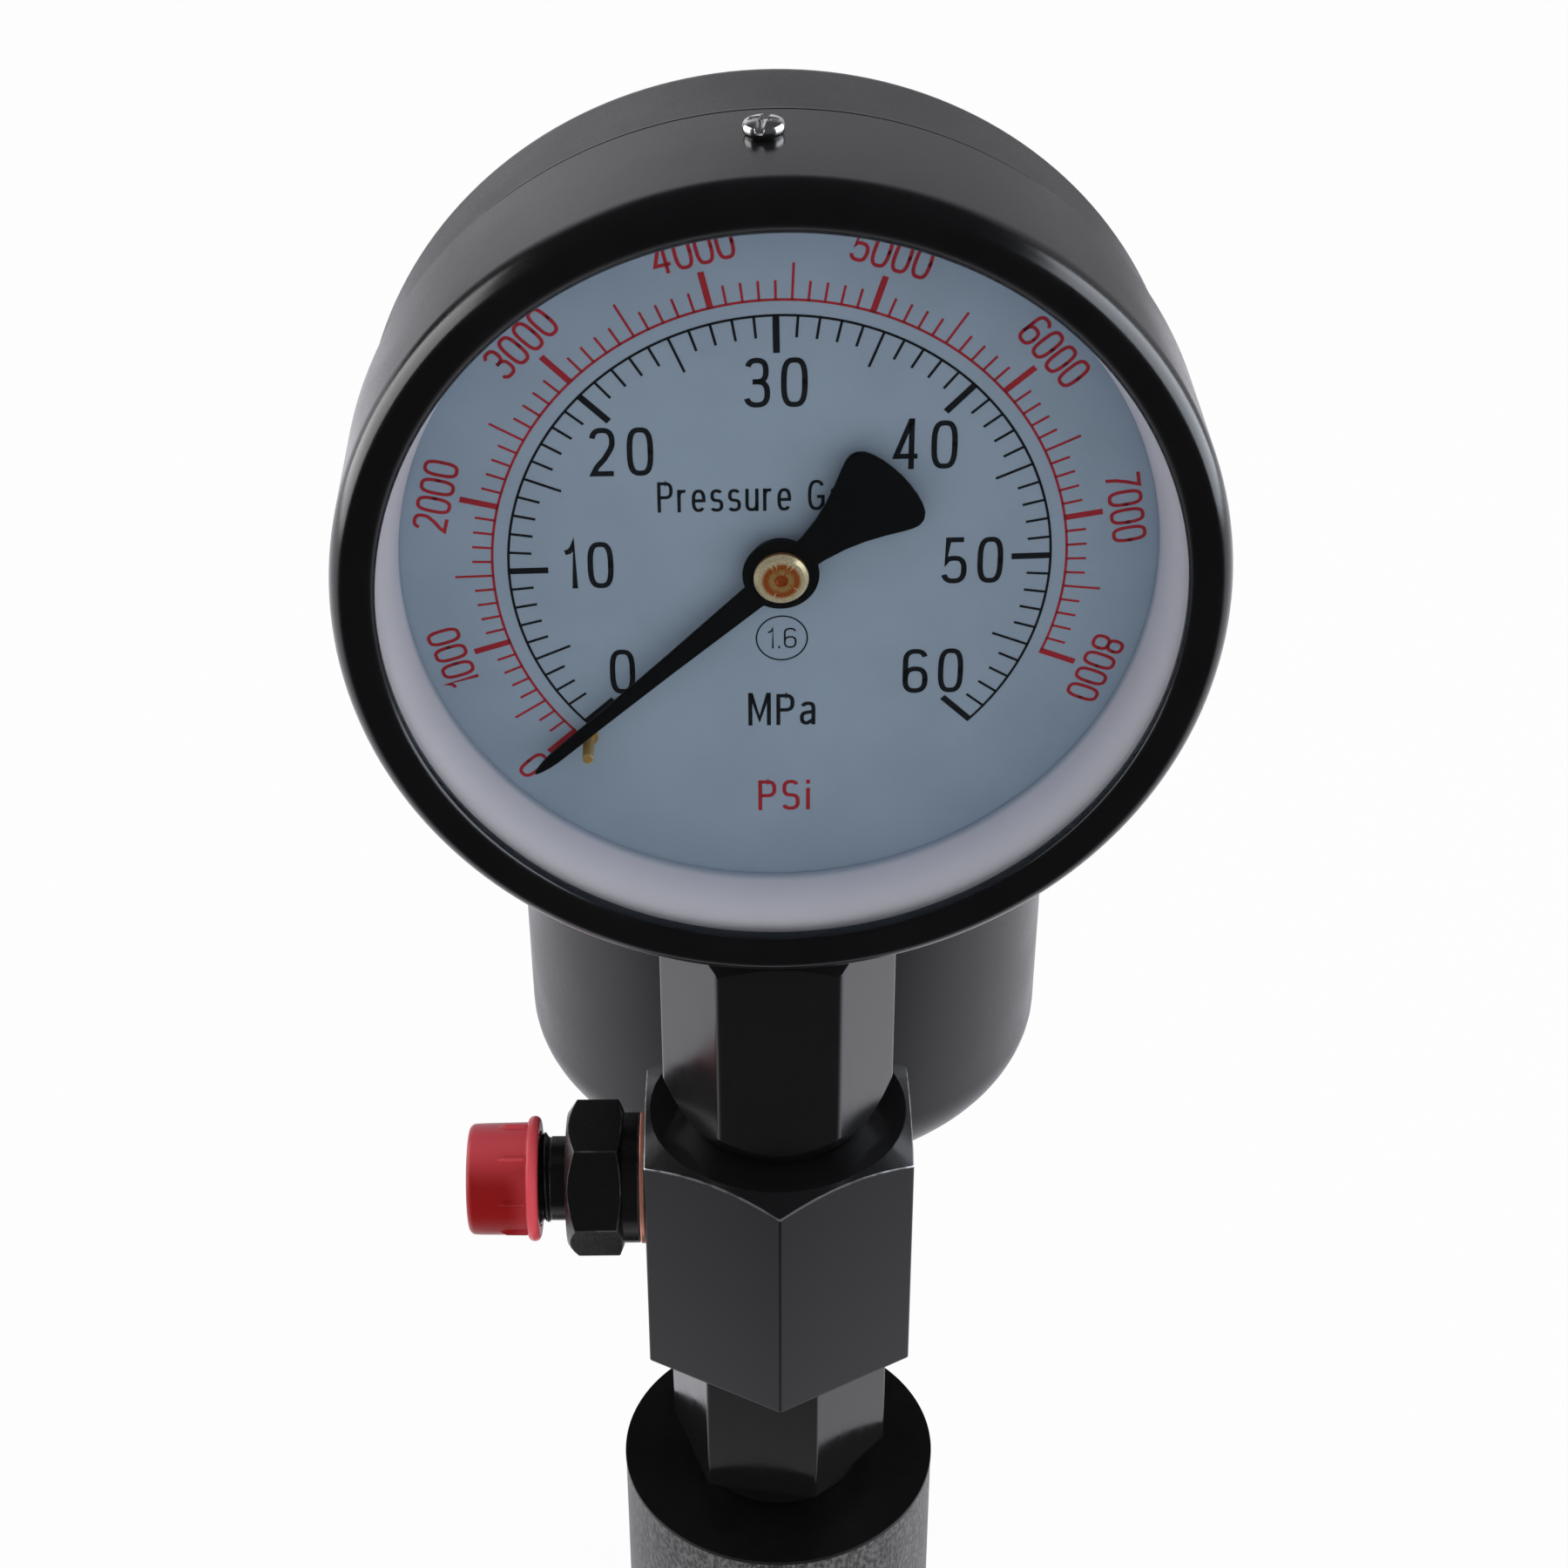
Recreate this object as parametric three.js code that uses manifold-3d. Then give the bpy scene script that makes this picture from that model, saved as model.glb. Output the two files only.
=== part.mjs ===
// Hand pump for testing diesel injectors: a cast pump body with its lever, a pressure gauge on a column of
// hexagonal fittings, a side outlet under a push-on cap, and a fuel reservoir behind the gauge.
// Millimetres, +Z up. The origin is on the pump axis at the foot's underside. The dial faces -Y, the
// reservoir and the lever lie towards +Y, and the outlet points to -X.
import * as THREE from 'three';
import { mergeVertices } from 'three/addons/utils/BufferGeometryUtils.js';
import Module from 'manifold-3d';

const wasm = await Module();
wasm.setup();

// Clearances and counts that all pieces share
const seatGap = 0.1;
const fitGap = 0.3;
const overrun = 2;
const weldDistance = 1e-4;
const ringSides = 40;
const roundSides = 24;
const smallSides = 16;
const tinySides = 10;

// Foot and column of the pump housing
const footHalfWidth = 55;
const footFront = 60;
const footRear = 74;
const footThickness = 14;
const footCornerRadius = 16;
const footBoltRadius = 5.5;
const footBoltInset = 14;
const columnRadius = 25;
const columnFillet = 7;
const columnEdge = 0.8;

// Slot and cheeks that carry the lever
const slotAboveFoot = 4;
const slotStep = 0.4;
const slotFrontShare = 0.6;
const slotAbovePivot = 14;
const cheekBehindPivot = 19;
const cheekAbovePivot = 24;
const cheekFillet = 9;

// Rear arm and reservoir boss
const armHalfWidth = 11;
const armBelowTop = 17;
const armDepthAtColumn = 48;
const armDepthAtBoss = 30;
const bossFlangeOverlap = 0.5;
const bossFlangeStep = 2.5;
const bossFlangeHeight = 7;
const bossAboveTop = 20.8;
const passageRadius = 1.5;
const passageAboveShoulder = 3;

// Pump element in the stepped bore under the holder's thread
const holderThreadRadius = 12;
const holderThreadLength = 20.2;
const holderBore = 5.5;
const barrelShoulderWidth = 1.2;
const barrelHeadLength = 11;
const barrelWall = 2.6;
const stemClearance = 1.52;
const pumpSpringWire = 1.2;
const pumpSpringCurls = 5;
const pumpSpringInnerGap = 0.5;
const pumpSpringRoom = 27.876;
const tappetStep = 1.8;
const tappetLength = 24.8;
const tappetGuideLength = 10;
const plungerFootStep = 1.8;
const plungerFootHeight = 2.5;
const springPlateThickness = 2.5;
const valveSeatHeight = 9;
const valveSeatBore = 3.3;
const gasketThickness = 1.5;
const gasketStep = 1.7;
const valveHeadGap = 0.7;
const valveHeadHeight = 3;
const valveSpringWire = 0.6;
const valveSpringGap = 1.3;
const valveSpringCurls = 6;
const valveSpringLength = 17;
const valveLift = 1.5;

// Delivery valve holder: the hexagonal neck on the column
const holderCollarStep = 1;
const holderCollarHeight = 4.7;
const holderHexStep = 2;
const holderHexHeight = 25.8;
const holderTurn = THREE.MathUtils.degToRad(-9);
const nippleRadius = 9;
const nippleLength = 12;
const drillRadius = 1.6;

// Junction block and gauge adapter
const blockFlats = 40;
const blockHeight = 41.3;
const blockTopChamfer = 0.7;
const hexChamferSlope = Math.tan(THREE.MathUtils.degToRad(30));
const fittingsTurn = THREE.MathUtils.degToRad(1.5);
const adapterWall = 5;
const adapterHeight = 37.2;
const adapterSpigotLength = 10;
const adapterConeHeight = 6.2;
const adapterConeInset = 2;
const adapterTopChamfer = 0.5;
const shankThreadRadius = 10;
const shankThreadLength = 18;
const shankWasherThickness = 1.5;
const shankShoulder = 2;
const shankLength = 8.3;

// Outlet union on the block's left flat, and its push-on cap
const outletHeightShare = 0.66344;
const unionThreadRadius = 7;
const unionSpigotWall = 1.6;
const outletWasherThickness = 1.4;
const unionCollarInset = 0.5;
const unionCollarHeight = 1.9;
const unionHexStep = 3.5;
const unionHexHeight = 8.5;
const unionChamfer = 0.3;
const unionNeckStep = 0.6;
const unionNeckLength = 3;
const unionThreadLength = 10.3;
const unionConeRadius = 4;
const unionConeDepth = 3.4;
const capWall = 1.2;
const capFlangeStep = 1;
const capFlangeThickness = 1.8;
const capBackset = 1.2;
const capLength = 10.8;
const capEndStep = 0.85;
const capEndRound = 1;
const capRibLength = 4;
const capRibHeight = 0.5;
const capRibHalfWidth = 0.45;
const capRibCount = 8;

// Pressure gauge: the dial's face is at y = 0 in its own frame, with its centre at the origin
const dialAhead = 12.87;
const gaugeTurn = THREE.MathUtils.degToRad(2.6);
const caseRadius = 55;
const caseWall = 1.2;
const caseBack = 30.6;
const caseFront = -2;
const caseBackRound = 3;
const lugWidth = 8;
const lugDepth = 2;
const lugInset = 4;
const lugCount = 3;
const bezelFit = 0.4;
const bezelWall = 1;
const bezelSkirtEnd = 12.5;
const bezelRollDepth = 4.5;
const bezelFront = -13.5;
const bezelLipWidth = 6.2;
const bezelLipSetback = 2;
const bezelRollSteps = 5;
const glassThickness = 2;
const glassSideGap = 1.6;
const glassSealThickness = 1.2;
const glassSealWidth = 2.4;
const spacerWidth = 3.5;
const dialSideGap = 0.7;
const dialThickness = 0.8;
const dialHoleRadius = 3.2;
const bezelScrewHeadRadius = 2.6;
const bezelScrewHeadHeight = 2;
const bezelScrewShankRadius = 1.3;
const bezelScrewShankLength = 5;
const bezelScrewAtY = 3.6;
const bezelScrewTurns = [-1.8, 118.2, 238.2].map(THREE.MathUtils.degToRad);
const crossSlotHalfWidth = 0.35;
const crossSlotHalfLength = 1.5;
const crossSlotDepth = 0.9;

// Gauge works behind the dial, as shares of the case's radius where they fill it
const socketHalfWidth = 11;
const socketHeightShare = 0.3818;
const socketFrontDepth = 8;
const socketScrewShare = 0.6;
const tubeRadiusShare = 0.6909;
const tubeHalfThickness = 2;
const tubeHalfWidth = 5;
const tubeEndGap = 0.9;
const tubeEndAngle = THREE.MathUtils.degToRad(-33);
const tubeTipLength = 7;
const tubeTipWall = 1;
const tipPinRadius = 1;
const linkHalfHeight = 1.6;
const linkThickness = 1;
const linkSlack = 0.5;
const platePitch = 12;
const plateThickness = 1.2;
const platesAhead = 7.87;
const plateHalfWidth = 8;
const plateTop = 8;
const pillarRadius = 1.5;
const pinionTeeth = 12;
const sectorTeethPerTurn = 108;
const gearModuleShare = 0.007274;
const gearBacklash = 0.1;
const gearWidth = 2;
const toothFillShare = 0.34;
const toothTipShare = 0.16;
const toothRootDepthShare = 1.15;
const toothTipHeightShare = 0.85;
const sectorRimDepthShare = 6;
const sectorSpokeDepthShare = 4;
const sectorArcTeeth = 14;
const sectorTailShare = 0.1636;
const sectorSwing = THREE.MathUtils.degToRad(29.58);
const sectorHubRadius = 2.6;
const arborRadius = 1;

// Pointer, its cap and its stop pin, with their reach as shares of the dial's radius
const pointerRestAngle = THREE.MathUtils.degToRad(222.3);
const pointerBack = -2.4;
const pointerThickness = 0.6;
const pointerTipShare = 0.8365;
const pointerTaperShare = 0.7605;
const pointerTailShare = 0.3897;
const pointerHubRadius = 4.9;
const pointerBladeRootHalfWidth = 1.8;
const pointerBladeEndHalfWidth = 0.85;
const pointerPointShare = 0.6;
const pointerTailHalfAngle = THREE.MathUtils.degToRad(17.5);
const pointerTailRoundShare = 0.6;
const pointerTailNeckHalfWidth = 2.1;
const pointerTailNeckStep = 0.6;
const pointerBossRadius = 3.5;
const pointerBossGap = 0.6;
const pointerCapHeight = 1.2;
const pointerCapBevel = 0.5;
const stopPinRadius = 0.75;
const stopPinLength = 5.8;
const stopPinShare = 0.6844;
const stopCollarRadius = 1.3;
const stopCollarHeight = 0.6;

// Fuel reservoir behind the gauge, with z = 0 at the cup's underside in its own frame
const reservoirGap = 9.07;
const cupRadius = 44;
const cupFlare = 1;
const cupHeight = 128;
const cupWall = 1.5;
const cupFootRadius = 18;
const cupFootRise = 17;
const cupFootSteps = 6;
const cupBeadRadius = 1.5;
const cupSealThickness = 2;
const lidThickness = 1.5;
const lidRimDepth = 9;
const lidDome = 5;
const lidShoulderWidth = 5;
const lidShoulderShare = 0.5;
const lidCrownShare = 0.5;
const knobRadius = 9;
const knobHeight = 14;
const knobFootShare = 0.6;
const knobWaistShare = 0.5;
const knobWaistHeightShare = 0.35;
const knobBellyHeightShare = 0.6;
const knobTopShare = 0.75;
const knobTopRoundShare = 0.25;
const hollowBoltRadius = 6;
const hollowBoltLength = 34;
const hollowBoltFlats = 17;
const hollowBoltHeadHeight = 6;
const boltSealThickness = 1.5;
const strainerGap = 3.2;
const strainerHeight = 26;
const strainerWall = 0.8;
const strainerWindows = 8;
const strainerWindowHalfWidth = 2;
const strainerWindowMargin = 5;

// Lever: y runs along the rod in its own frame, with the pivot at the origin
const pivotShare = 0.8;
const pivotAboveSlot = 16;
const leverRest = THREE.MathUtils.degToRad(30);
const leverSwing = THREE.MathUtils.degToRad(30);
const noseBend = THREE.MathUtils.degToRad(15);
const noseSetback = 0.8;
const noseOverLine = 3.5;
const leverHubWall = 4.5;
const leverSideGap = 1.4;
const forkWall = 4.8;
const rollerRadius = 6;
const rollerPinRadius = 2.5;
const pivotPinRadius = 5;
const pivotPinOverhang = 3;
const clipGrooveDepth = 0.8;
const clipThickness = 1;
const clipWidth = 2;
const clipClearance = 0.65;
const clipMouthHalfWidth = 2.5;
const rodRadius = 7;
const rodSocketWall = 4;
const rodSocketClearance = 8.5;
const rodSocketLength = 30.5;
const rodDepth = 24;
const rodExposedLength = 114;
const rodEndGap = 3;
const gripWall = 6;
const gripLength = 116;
const gripEndRound = 5;
const gripEndWall = 9;
const rodScrewRadius = 2.5;
const rodScrewFlats = 8;
const rodScrewHeadHeight = 3.5;
const rodScrewInset = 12;

// Widths of the pump element and of the lever in its slot
const chamberRadius = holderThreadRadius - barrelShoulderWidth;
const tappetRadius = chamberRadius - tappetStep;
const springPlateRadius = chamberRadius - seatGap - fitGap;
const pumpSpringRadius = chamberRadius - fitGap - pumpSpringWire;
const barrelStemRadius = pumpSpringRadius - pumpSpringWire - pumpSpringInnerGap;
const plungerRadius = barrelStemRadius - barrelWall;
const plungerFootRadius = plungerRadius + plungerFootStep;
const upperBore = holderThreadRadius + fitGap;
const gasketBore = holderBore + gasketStep;
const valveStemRadius = valveSeatBore - fitGap;
const valveHeadRadius = holderBore - valveHeadGap;
const valveSpringRadius = holderBore - valveSpringGap - valveSpringWire;
const slotHalfWidth = tappetRadius + fitGap + slotStep;
const leverHalfWidth = slotHalfWidth - leverSideGap;
const rollerHalfWidth = leverHalfWidth - forkWall;

// Places of the pivot, and the lever's lengths from it
const slotFloor = footThickness + slotAboveFoot;
const pivotY = pivotShare * columnRadius;
const pivotZ = slotFloor + pivotAboveSlot;
const slotRoof = pivotZ + slotAbovePivot;
const clipRadius = pivotPinRadius + clipWidth;
const cheekHalfWidth = Math.sqrt(columnRadius ** 2 - (pivotY - clipRadius) ** 2) + clipClearance;
const cheekRear = pivotY + cheekBehindPivot;
const cheekTop = pivotZ + cheekAbovePivot;
const noseReach = pivotY;
const noseTipRadius = rollerRadius - noseSetback;
const leverHubRadius = pivotPinRadius + leverHubWall;
const rodSocketRadius = rodRadius + rodSocketWall;
const rodSocketStart = cheekBehindPivot + rodSocketClearance;
const rodSocketEnd = rodSocketStart + rodSocketLength;
const rodScrewAt = rodSocketEnd - rodScrewInset;
const gripRadius = rodRadius + gripWall;
const gripStart = rodSocketEnd + rodExposedLength;
const gripEnd = gripStart + gripLength;
const rodEnd = gripEnd - gripEndWall - rodEndGap;

// Heights up the column, from the lever's nose to its top
const noseAngle = Math.PI - noseBend;
const leverStroke = noseReach * (Math.sin(noseAngle) - Math.sin(noseAngle + leverSwing));
const tappetBottom = pivotZ + noseReach * Math.sin(noseAngle + leverRest) + rollerRadius + fitGap;
const tappetTop = tappetBottom + tappetLength;
const tappetGuideTop = slotRoof + tappetGuideLength;
const plungerFootTop = tappetTop + seatGap + plungerFootHeight;
const springPlateBottom = plungerFootTop + seatGap;
const springPlateTop = springPlateBottom + springPlateThickness;
const barrelBottom = springPlateTop + leverStroke + stemClearance;
const barrelShoulder = springPlateTop + pumpSpringRoom;
const barrelTop = barrelShoulder + barrelHeadLength;
const plungerTop = barrelTop - leverStroke - fitGap;
const valveSeatBottom = barrelTop + seatGap;
const gasketBottom = valveSeatBottom + valveSeatHeight + seatGap;
const holderBottom = gasketBottom + gasketThickness + seatGap;
const columnTop = holderBottom + holderThreadLength;
const passageZ = barrelShoulder + passageAboveShoulder;
const armTop = columnTop - armBelowTop;
const armUnderColumn = armTop - armDepthAtColumn;
const armUnderBoss = armTop - armDepthAtBoss;
const bossTop = columnTop + bossAboveTop;
const cupBottom = bossTop + seatGap + cupSealThickness + seatGap;

// Fittings from the column's top up to the gauge
const holderCollarRadius = holderThreadRadius + holderCollarStep;
const holderFlats = 2 * (holderCollarRadius + holderHexStep);
const holderHexBottom = columnTop + seatGap + holderCollarHeight;
const holderHexTop = holderHexBottom + holderHexHeight;
const blockBottom = holderHexTop + seatGap;
const blockTop = blockBottom + blockHeight;
const outletZ = blockBottom + outletHeightShare * blockHeight;
const adapterFlats = 2 * (shankThreadRadius + adapterWall);
const adapterBottom = blockTop + seatGap;
const adapterTop = adapterBottom + adapterHeight;
const shankHalfWidth = shankThreadRadius - shankShoulder;
const shankBottom = adapterTop + seatGap;
const gaugeZ = shankBottom + shankLength + caseRadius;

// Outlet and cap
const unionSpigotLength = blockFlats / 2 - nippleRadius - unionSpigotWall;
const unionFlats = 2 * (unionThreadRadius + unionHexStep);
const unionCollarRadius = unionFlats / 2 - unionCollarInset;
const unionNeckRadius = unionThreadRadius - unionNeckStep;
const capRadius = unionThreadRadius + fitGap + capWall;

// Gauge widths, from the case's radius outwards and inwards
const caseInner = caseRadius - caseWall;
const bezelRadius = caseRadius + bezelFit + bezelWall;
const bezelLipRadius = bezelRadius - bezelLipWidth;
const bezelRollStart = bezelFront + bezelRollDepth;
const glassRadius = bezelRadius - bezelWall - glassSideGap;
const dialRadius = caseInner - dialSideGap;
const socketHeight = socketHeightShare * caseRadius;
const socketTop = socketHeight - caseInner;
const tubeRadius = tubeRadiusShare * caseRadius;
const gearModule = gearModuleShare * caseRadius;
const sectorTailLength = sectorTailShare * caseRadius;
const frontPlateY = dialAhead - platesAhead;
const backPlateY = frontPlateY + platePitch;
const gearY = (frontPlateY + backPlateY) / 2;
const pointerTip = pointerTipShare * dialRadius;
const pointerTaperEnd = pointerTaperShare * dialRadius;
const pointerTailRadius = pointerTailShare * dialRadius;
const pointerTailNeckAt = pointerHubRadius + pointerTailNeckStep;
const stopPinReach = stopPinShare * dialRadius;

// Reservoir widths
const cupTopRadius = cupRadius + cupFlare;
const reservoirY = caseBack - dialAhead + reservoirGap + cupTopRadius;
const bossFlangeRadius = cupFootRadius + bossFlangeOverlap;
const bossRadius = bossFlangeRadius - bossFlangeStep;
const strainerRadius = hexRadius(hollowBoltFlats) + strainerGap;

// Finishes
const finishes = {
  castPaint: { color: 0x2b2c2f, roughness: 0.8, metalness: 0.1 },
  blackSteel: { color: 0x1c1c1e, roughness: 0.35, metalness: 0.8 },
  darkPaint: { color: 0x17181a, roughness: 0.4, metalness: 0.2 },
  brightSteel: { color: 0xb4b6b8, roughness: 0.3, metalness: 1 },
  nickel: { color: 0xd2d0cc, roughness: 0.2, metalness: 1 },
  springSteel: { color: 0x77797c, roughness: 0.4, metalness: 1 },
  copper: { color: 0xb4653c, roughness: 0.35, metalness: 1 },
  brass: { color: 0xb98a3c, roughness: 0.3, metalness: 1 },
  redCap: { color: 0xc8202c, roughness: 0.4, metalness: 0 },
  dialWhite: { color: 0xb9cbd6, roughness: 0.6, metalness: 0 },
  spacerWhite: { color: 0xcfccd0, roughness: 0.6, metalness: 0 },
  pointerBlack: { color: 0x101214, roughness: 0.5, metalness: 0 },
  sealRubber: { color: 0x151515, roughness: 0.9, metalness: 0 },
  gripRubber: { color: 0x1d1d1f, roughness: 0.85, metalness: 0 },
  clearGlass: { color: 0xf2f8f8, roughness: 0.05, metalness: 0, transparent: true, opacity: 0.25 },
};
const materials = Object.fromEntries(
  Object.entries(finishes).map(([name, finish]) => [name, new THREE.MeshStandardMaterial(finish)]),
);

// Solid helpers

// A closed geometry as a solid: shared corners are welded, slivers dropped and the faces turned outwards
function solidOf(geometry) {
  const bare = new THREE.BufferGeometry();
  bare.setAttribute('position', geometry.getAttribute('position'));
  bare.setIndex(geometry.getIndex());
  const welded = mergeVertices(bare, weldDistance);
  const corners = welded.getAttribute('position').array;
  const index = welded.getIndex().array;
  const [a, b, c] = [new THREE.Vector3(), new THREE.Vector3(), new THREE.Vector3()];
  const triangles = [];
  let volume = 0;
  for (let i = 0; i < index.length; i += 3) {
    const [p, q, r] = index.subarray(i, i + 3);
    if (p !== q && q !== r && r !== p) {
      triangles.push(p, q, r);
      a.fromArray(corners, 3 * p);
      b.fromArray(corners, 3 * q);
      c.fromArray(corners, 3 * r);
      volume += a.dot(b.cross(c));
    }
  }
  if (volume < 0) {
    triangles.reverse();
  }
  const [vertProperties, triVerts] = [new Float32Array(corners), new Uint32Array(triangles)];
  return new wasm.Manifold(new wasm.Mesh({ numProp: 3, vertProperties, triVerts }));
}

// The solid's surface as a three.js geometry
function surfaceOf(solid) {
  const mesh = solid.getMesh();
  const geometry = new THREE.BufferGeometry();
  geometry.setAttribute('position', new THREE.BufferAttribute(mesh.vertProperties, 3));
  geometry.setIndex(new THREE.BufferAttribute(mesh.triVerts, 1));
  geometry.computeVertexNormals();
  return geometry;
}

// A named sub-part in its group
function addPiece(group, name, solid, material) {
  const piece = new THREE.Mesh(surfaceOf(solid), material);
  piece.name = name;
  group.add(piece);
  return piece;
}

function latheOf(profile, sides) {
  return new THREE.LatheGeometry(profile.map(([r, h]) => new THREE.Vector2(r, h)), sides);
}

// A profile of [radius, height] turned about Z, about Y or about X
function turned(profile, sides = smallSides) {
  return solidOf(latheOf(profile, sides).rotateX(Math.PI / 2));
}

function turnedAboutY(profile, sides = smallSides) {
  return solidOf(latheOf(profile, sides));
}

function turnedAboutX(profile, sides = smallSides) {
  return solidOf(latheOf(profile, sides).rotateZ(-Math.PI / 2));
}

// The corners of a cylinder's or a ring's profile
function barProfile(radius, low, high) {
  return [[0, low], [radius, low], [radius, high], [0, high]];
}

function ringProfile(inner, outer, low, high) {
  return [[inner, low], [outer, low], [outer, high], [inner, high], [inner, low]];
}

function rod(radius, low, high, sides = smallSides) {
  return turned(barProfile(radius, low, high), sides);
}

function rodAlongY(radius, low, high, sides = smallSides) {
  return turnedAboutY(barProfile(radius, low, high), sides);
}

function rodAlongX(radius, low, high, sides = smallSides) {
  return turnedAboutX(barProfile(radius, low, high), sides);
}

// An outline of [x, y] points drawn out along Z between two heights
function prism(outline, low, high, holes = []) {
  const shape = outline instanceof THREE.Shape ? outline : outlineShape(outline);
  shape.holes.push(...holes.map((hole) => outlineShape(hole)));
  const geometry = new THREE.ExtrudeGeometry(shape, { depth: high - low, bevelEnabled: false });
  return solidOf(geometry.translate(0, 0, low));
}

function outlineShape(outline) {
  return new THREE.Shape(outline.map(([x, y]) => new THREE.Vector2(x, y)));
}

// An outline of [y, z] points drawn out along X, and one of [x, z] points drawn out along Y
function prismAlongX(outline, low, high) {
  const shape = outlineShape(outline);
  const geometry = new THREE.ExtrudeGeometry(shape, { depth: high - low, bevelEnabled: false });
  geometry.translate(0, 0, low);
  const [x, y, z] = [new THREE.Vector3(1, 0, 0), new THREE.Vector3(0, 1, 0), new THREE.Vector3(0, 0, 1)];
  return solidOf(geometry.applyMatrix4(new THREE.Matrix4().makeBasis(y, z, x)));
}

function prismAlongY(outline, low, high) {
  const shape = outlineShape(outline);
  const geometry = new THREE.ExtrudeGeometry(shape, { depth: high - low, bevelEnabled: false });
  return solidOf(geometry.translate(0, 0, -high).rotateX(Math.PI / 2));
}

function slab(x0, x1, y0, y1, z0, z1) {
  const geometry = new THREE.BoxGeometry(x1 - x0, y1 - y0, z1 - z0);
  return solidOf(geometry.translate((x0 + x1) / 2, (y0 + y1) / 2, (z0 + z1) / 2));
}

// A point at an angle round the origin
function polar(radius, angle) {
  return [radius * Math.cos(angle), radius * Math.sin(angle)];
}

// Points of an arc round a centre, from one angle to another
function arc(centre, radius, from, to, steps) {
  const points = [];
  for (let i = 0; i <= steps; i++) {
    const [x, y] = polar(radius, from + ((to - from) * i) / steps);
    points.push([centre[0] + x, centre[1] + y]);
  }
  return points;
}

function hexRadius(flats) {
  return flats / Math.sqrt(3);
}

// A hexagonal bar along Z, its first corner turned from +X
function hexBar(flats, low, high, turn = 0) {
  const corners = arc([0, 0], hexRadius(flats), turn, turn + (5 * Math.PI) / 3, 5);
  return prism(corners, low, high);
}

// The cone that takes the corners off a hexagon's upper end, and off both ends
function chamferedTop(bar, flats, flatRadius, low, high) {
  const corner = hexRadius(flats) + overrun;
  const fall = (corner - flatRadius) * hexChamferSlope;
  const foot = low - overrun;
  const profile = [[0, foot], [corner, foot], [corner, high - fall], [flatRadius, high], [0, high]];
  return bar.intersect(turned(profile, ringSides));
}

function chamferedEnds(bar, flats, flatRadius, low, high) {
  const corner = hexRadius(flats) + overrun;
  const fall = (corner - flatRadius) * hexChamferSlope;
  const rim = [[flatRadius, low], [corner, low + fall], [corner, high - fall], [flatRadius, high]];
  const profile = [[0, low], ...rim, [0, high]];
  return bar.intersect(turned(profile, ringSides));
}

// A coil spring standing on Z: one unbroken tube, eight steps to a curl and five sides, its ends cut flat
function coilSpring(radius, wire, curls, low, high) {
  const sides = 5;
  const stepsPerCurl = 8;
  const steps = stepsPerCurl * curls;
  const rise = high - low - 2 * wire;
  const corners = [];
  for (let i = 0; i <= steps; i++) {
    const turn = (2 * Math.PI * i) / stepsPerCurl;
    for (let j = 0; j < sides; j++) {
      const [out, up] = polar(wire, (2 * Math.PI * j) / sides);
      const [x, y] = polar(radius + out, turn);
      corners.push(x, y, low + wire + (rise * i) / steps + up);
    }
  }
  const index = [];
  for (let i = 0; i < steps; i++) {
    for (let j = 0; j < sides; j++) {
      const [a, b] = [i * sides + j, i * sides + ((j + 1) % sides)];
      index.push(a, b, b + sides, a, b + sides, a + sides);
    }
  }
  for (let j = 2; j < sides; j++) {
    const last = steps * sides;
    index.push(0, j, j - 1, last, last + j - 1, last + j);
  }
  const geometry = new THREE.BufferGeometry();
  geometry.setAttribute('position', new THREE.Float32BufferAttribute(corners, 3));
  geometry.setIndex(index);
  return solidOf(geometry);
}

// Pump housing

function footPlate() {
  const side = footHalfWidth - footCornerRadius;
  const front = footCornerRadius - footFront;
  const rear = footRear - footCornerRadius;
  const outline = [
    ...arc([side, rear], footCornerRadius, 0, Math.PI / 2, 6),
    ...arc([-side, rear], footCornerRadius, Math.PI / 2, Math.PI, 6),
    ...arc([-side, front], footCornerRadius, Math.PI, 1.5 * Math.PI, 6),
    ...arc([side, front], footCornerRadius, 1.5 * Math.PI, 2 * Math.PI, 6),
  ];
  const boltHole = rod(footBoltRadius, -overrun, footThickness + overrun, tinySides);
  let plate = prism(outline, 0, footThickness);
  for (const x of [footBoltInset - footHalfWidth, footHalfWidth - footBoltInset]) {
    for (const y of [footBoltInset - footFront, footRear - footBoltInset]) {
      plate = plate.subtract(boltHole.translate([x, y, 0]));
    }
  }
  return plate;
}

function columnBody() {
  const filletCentre = [columnRadius + columnFillet, footThickness + columnFillet];
  const fillet = arc(filletCentre, columnFillet, 1.5 * Math.PI, Math.PI, 5);
  const profile = [
    [0, footThickness / 2],
    [columnRadius + columnFillet, footThickness / 2],
    ...fillet,
    [columnRadius, columnTop - columnEdge],
    [columnRadius - columnEdge, columnTop],
    [0, columnTop],
  ];
  return turned(profile, ringSides);
}

function leverCheeks() {
  const round = arc([cheekRear - cheekFillet, cheekTop - cheekFillet], cheekFillet, 0, Math.PI / 2, 5);
  const outline = [[0, footThickness / 2], [cheekRear, footThickness / 2], ...round, [0, cheekTop]];
  return prismAlongX(outline, -cheekHalfWidth, cheekHalfWidth);
}

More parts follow.
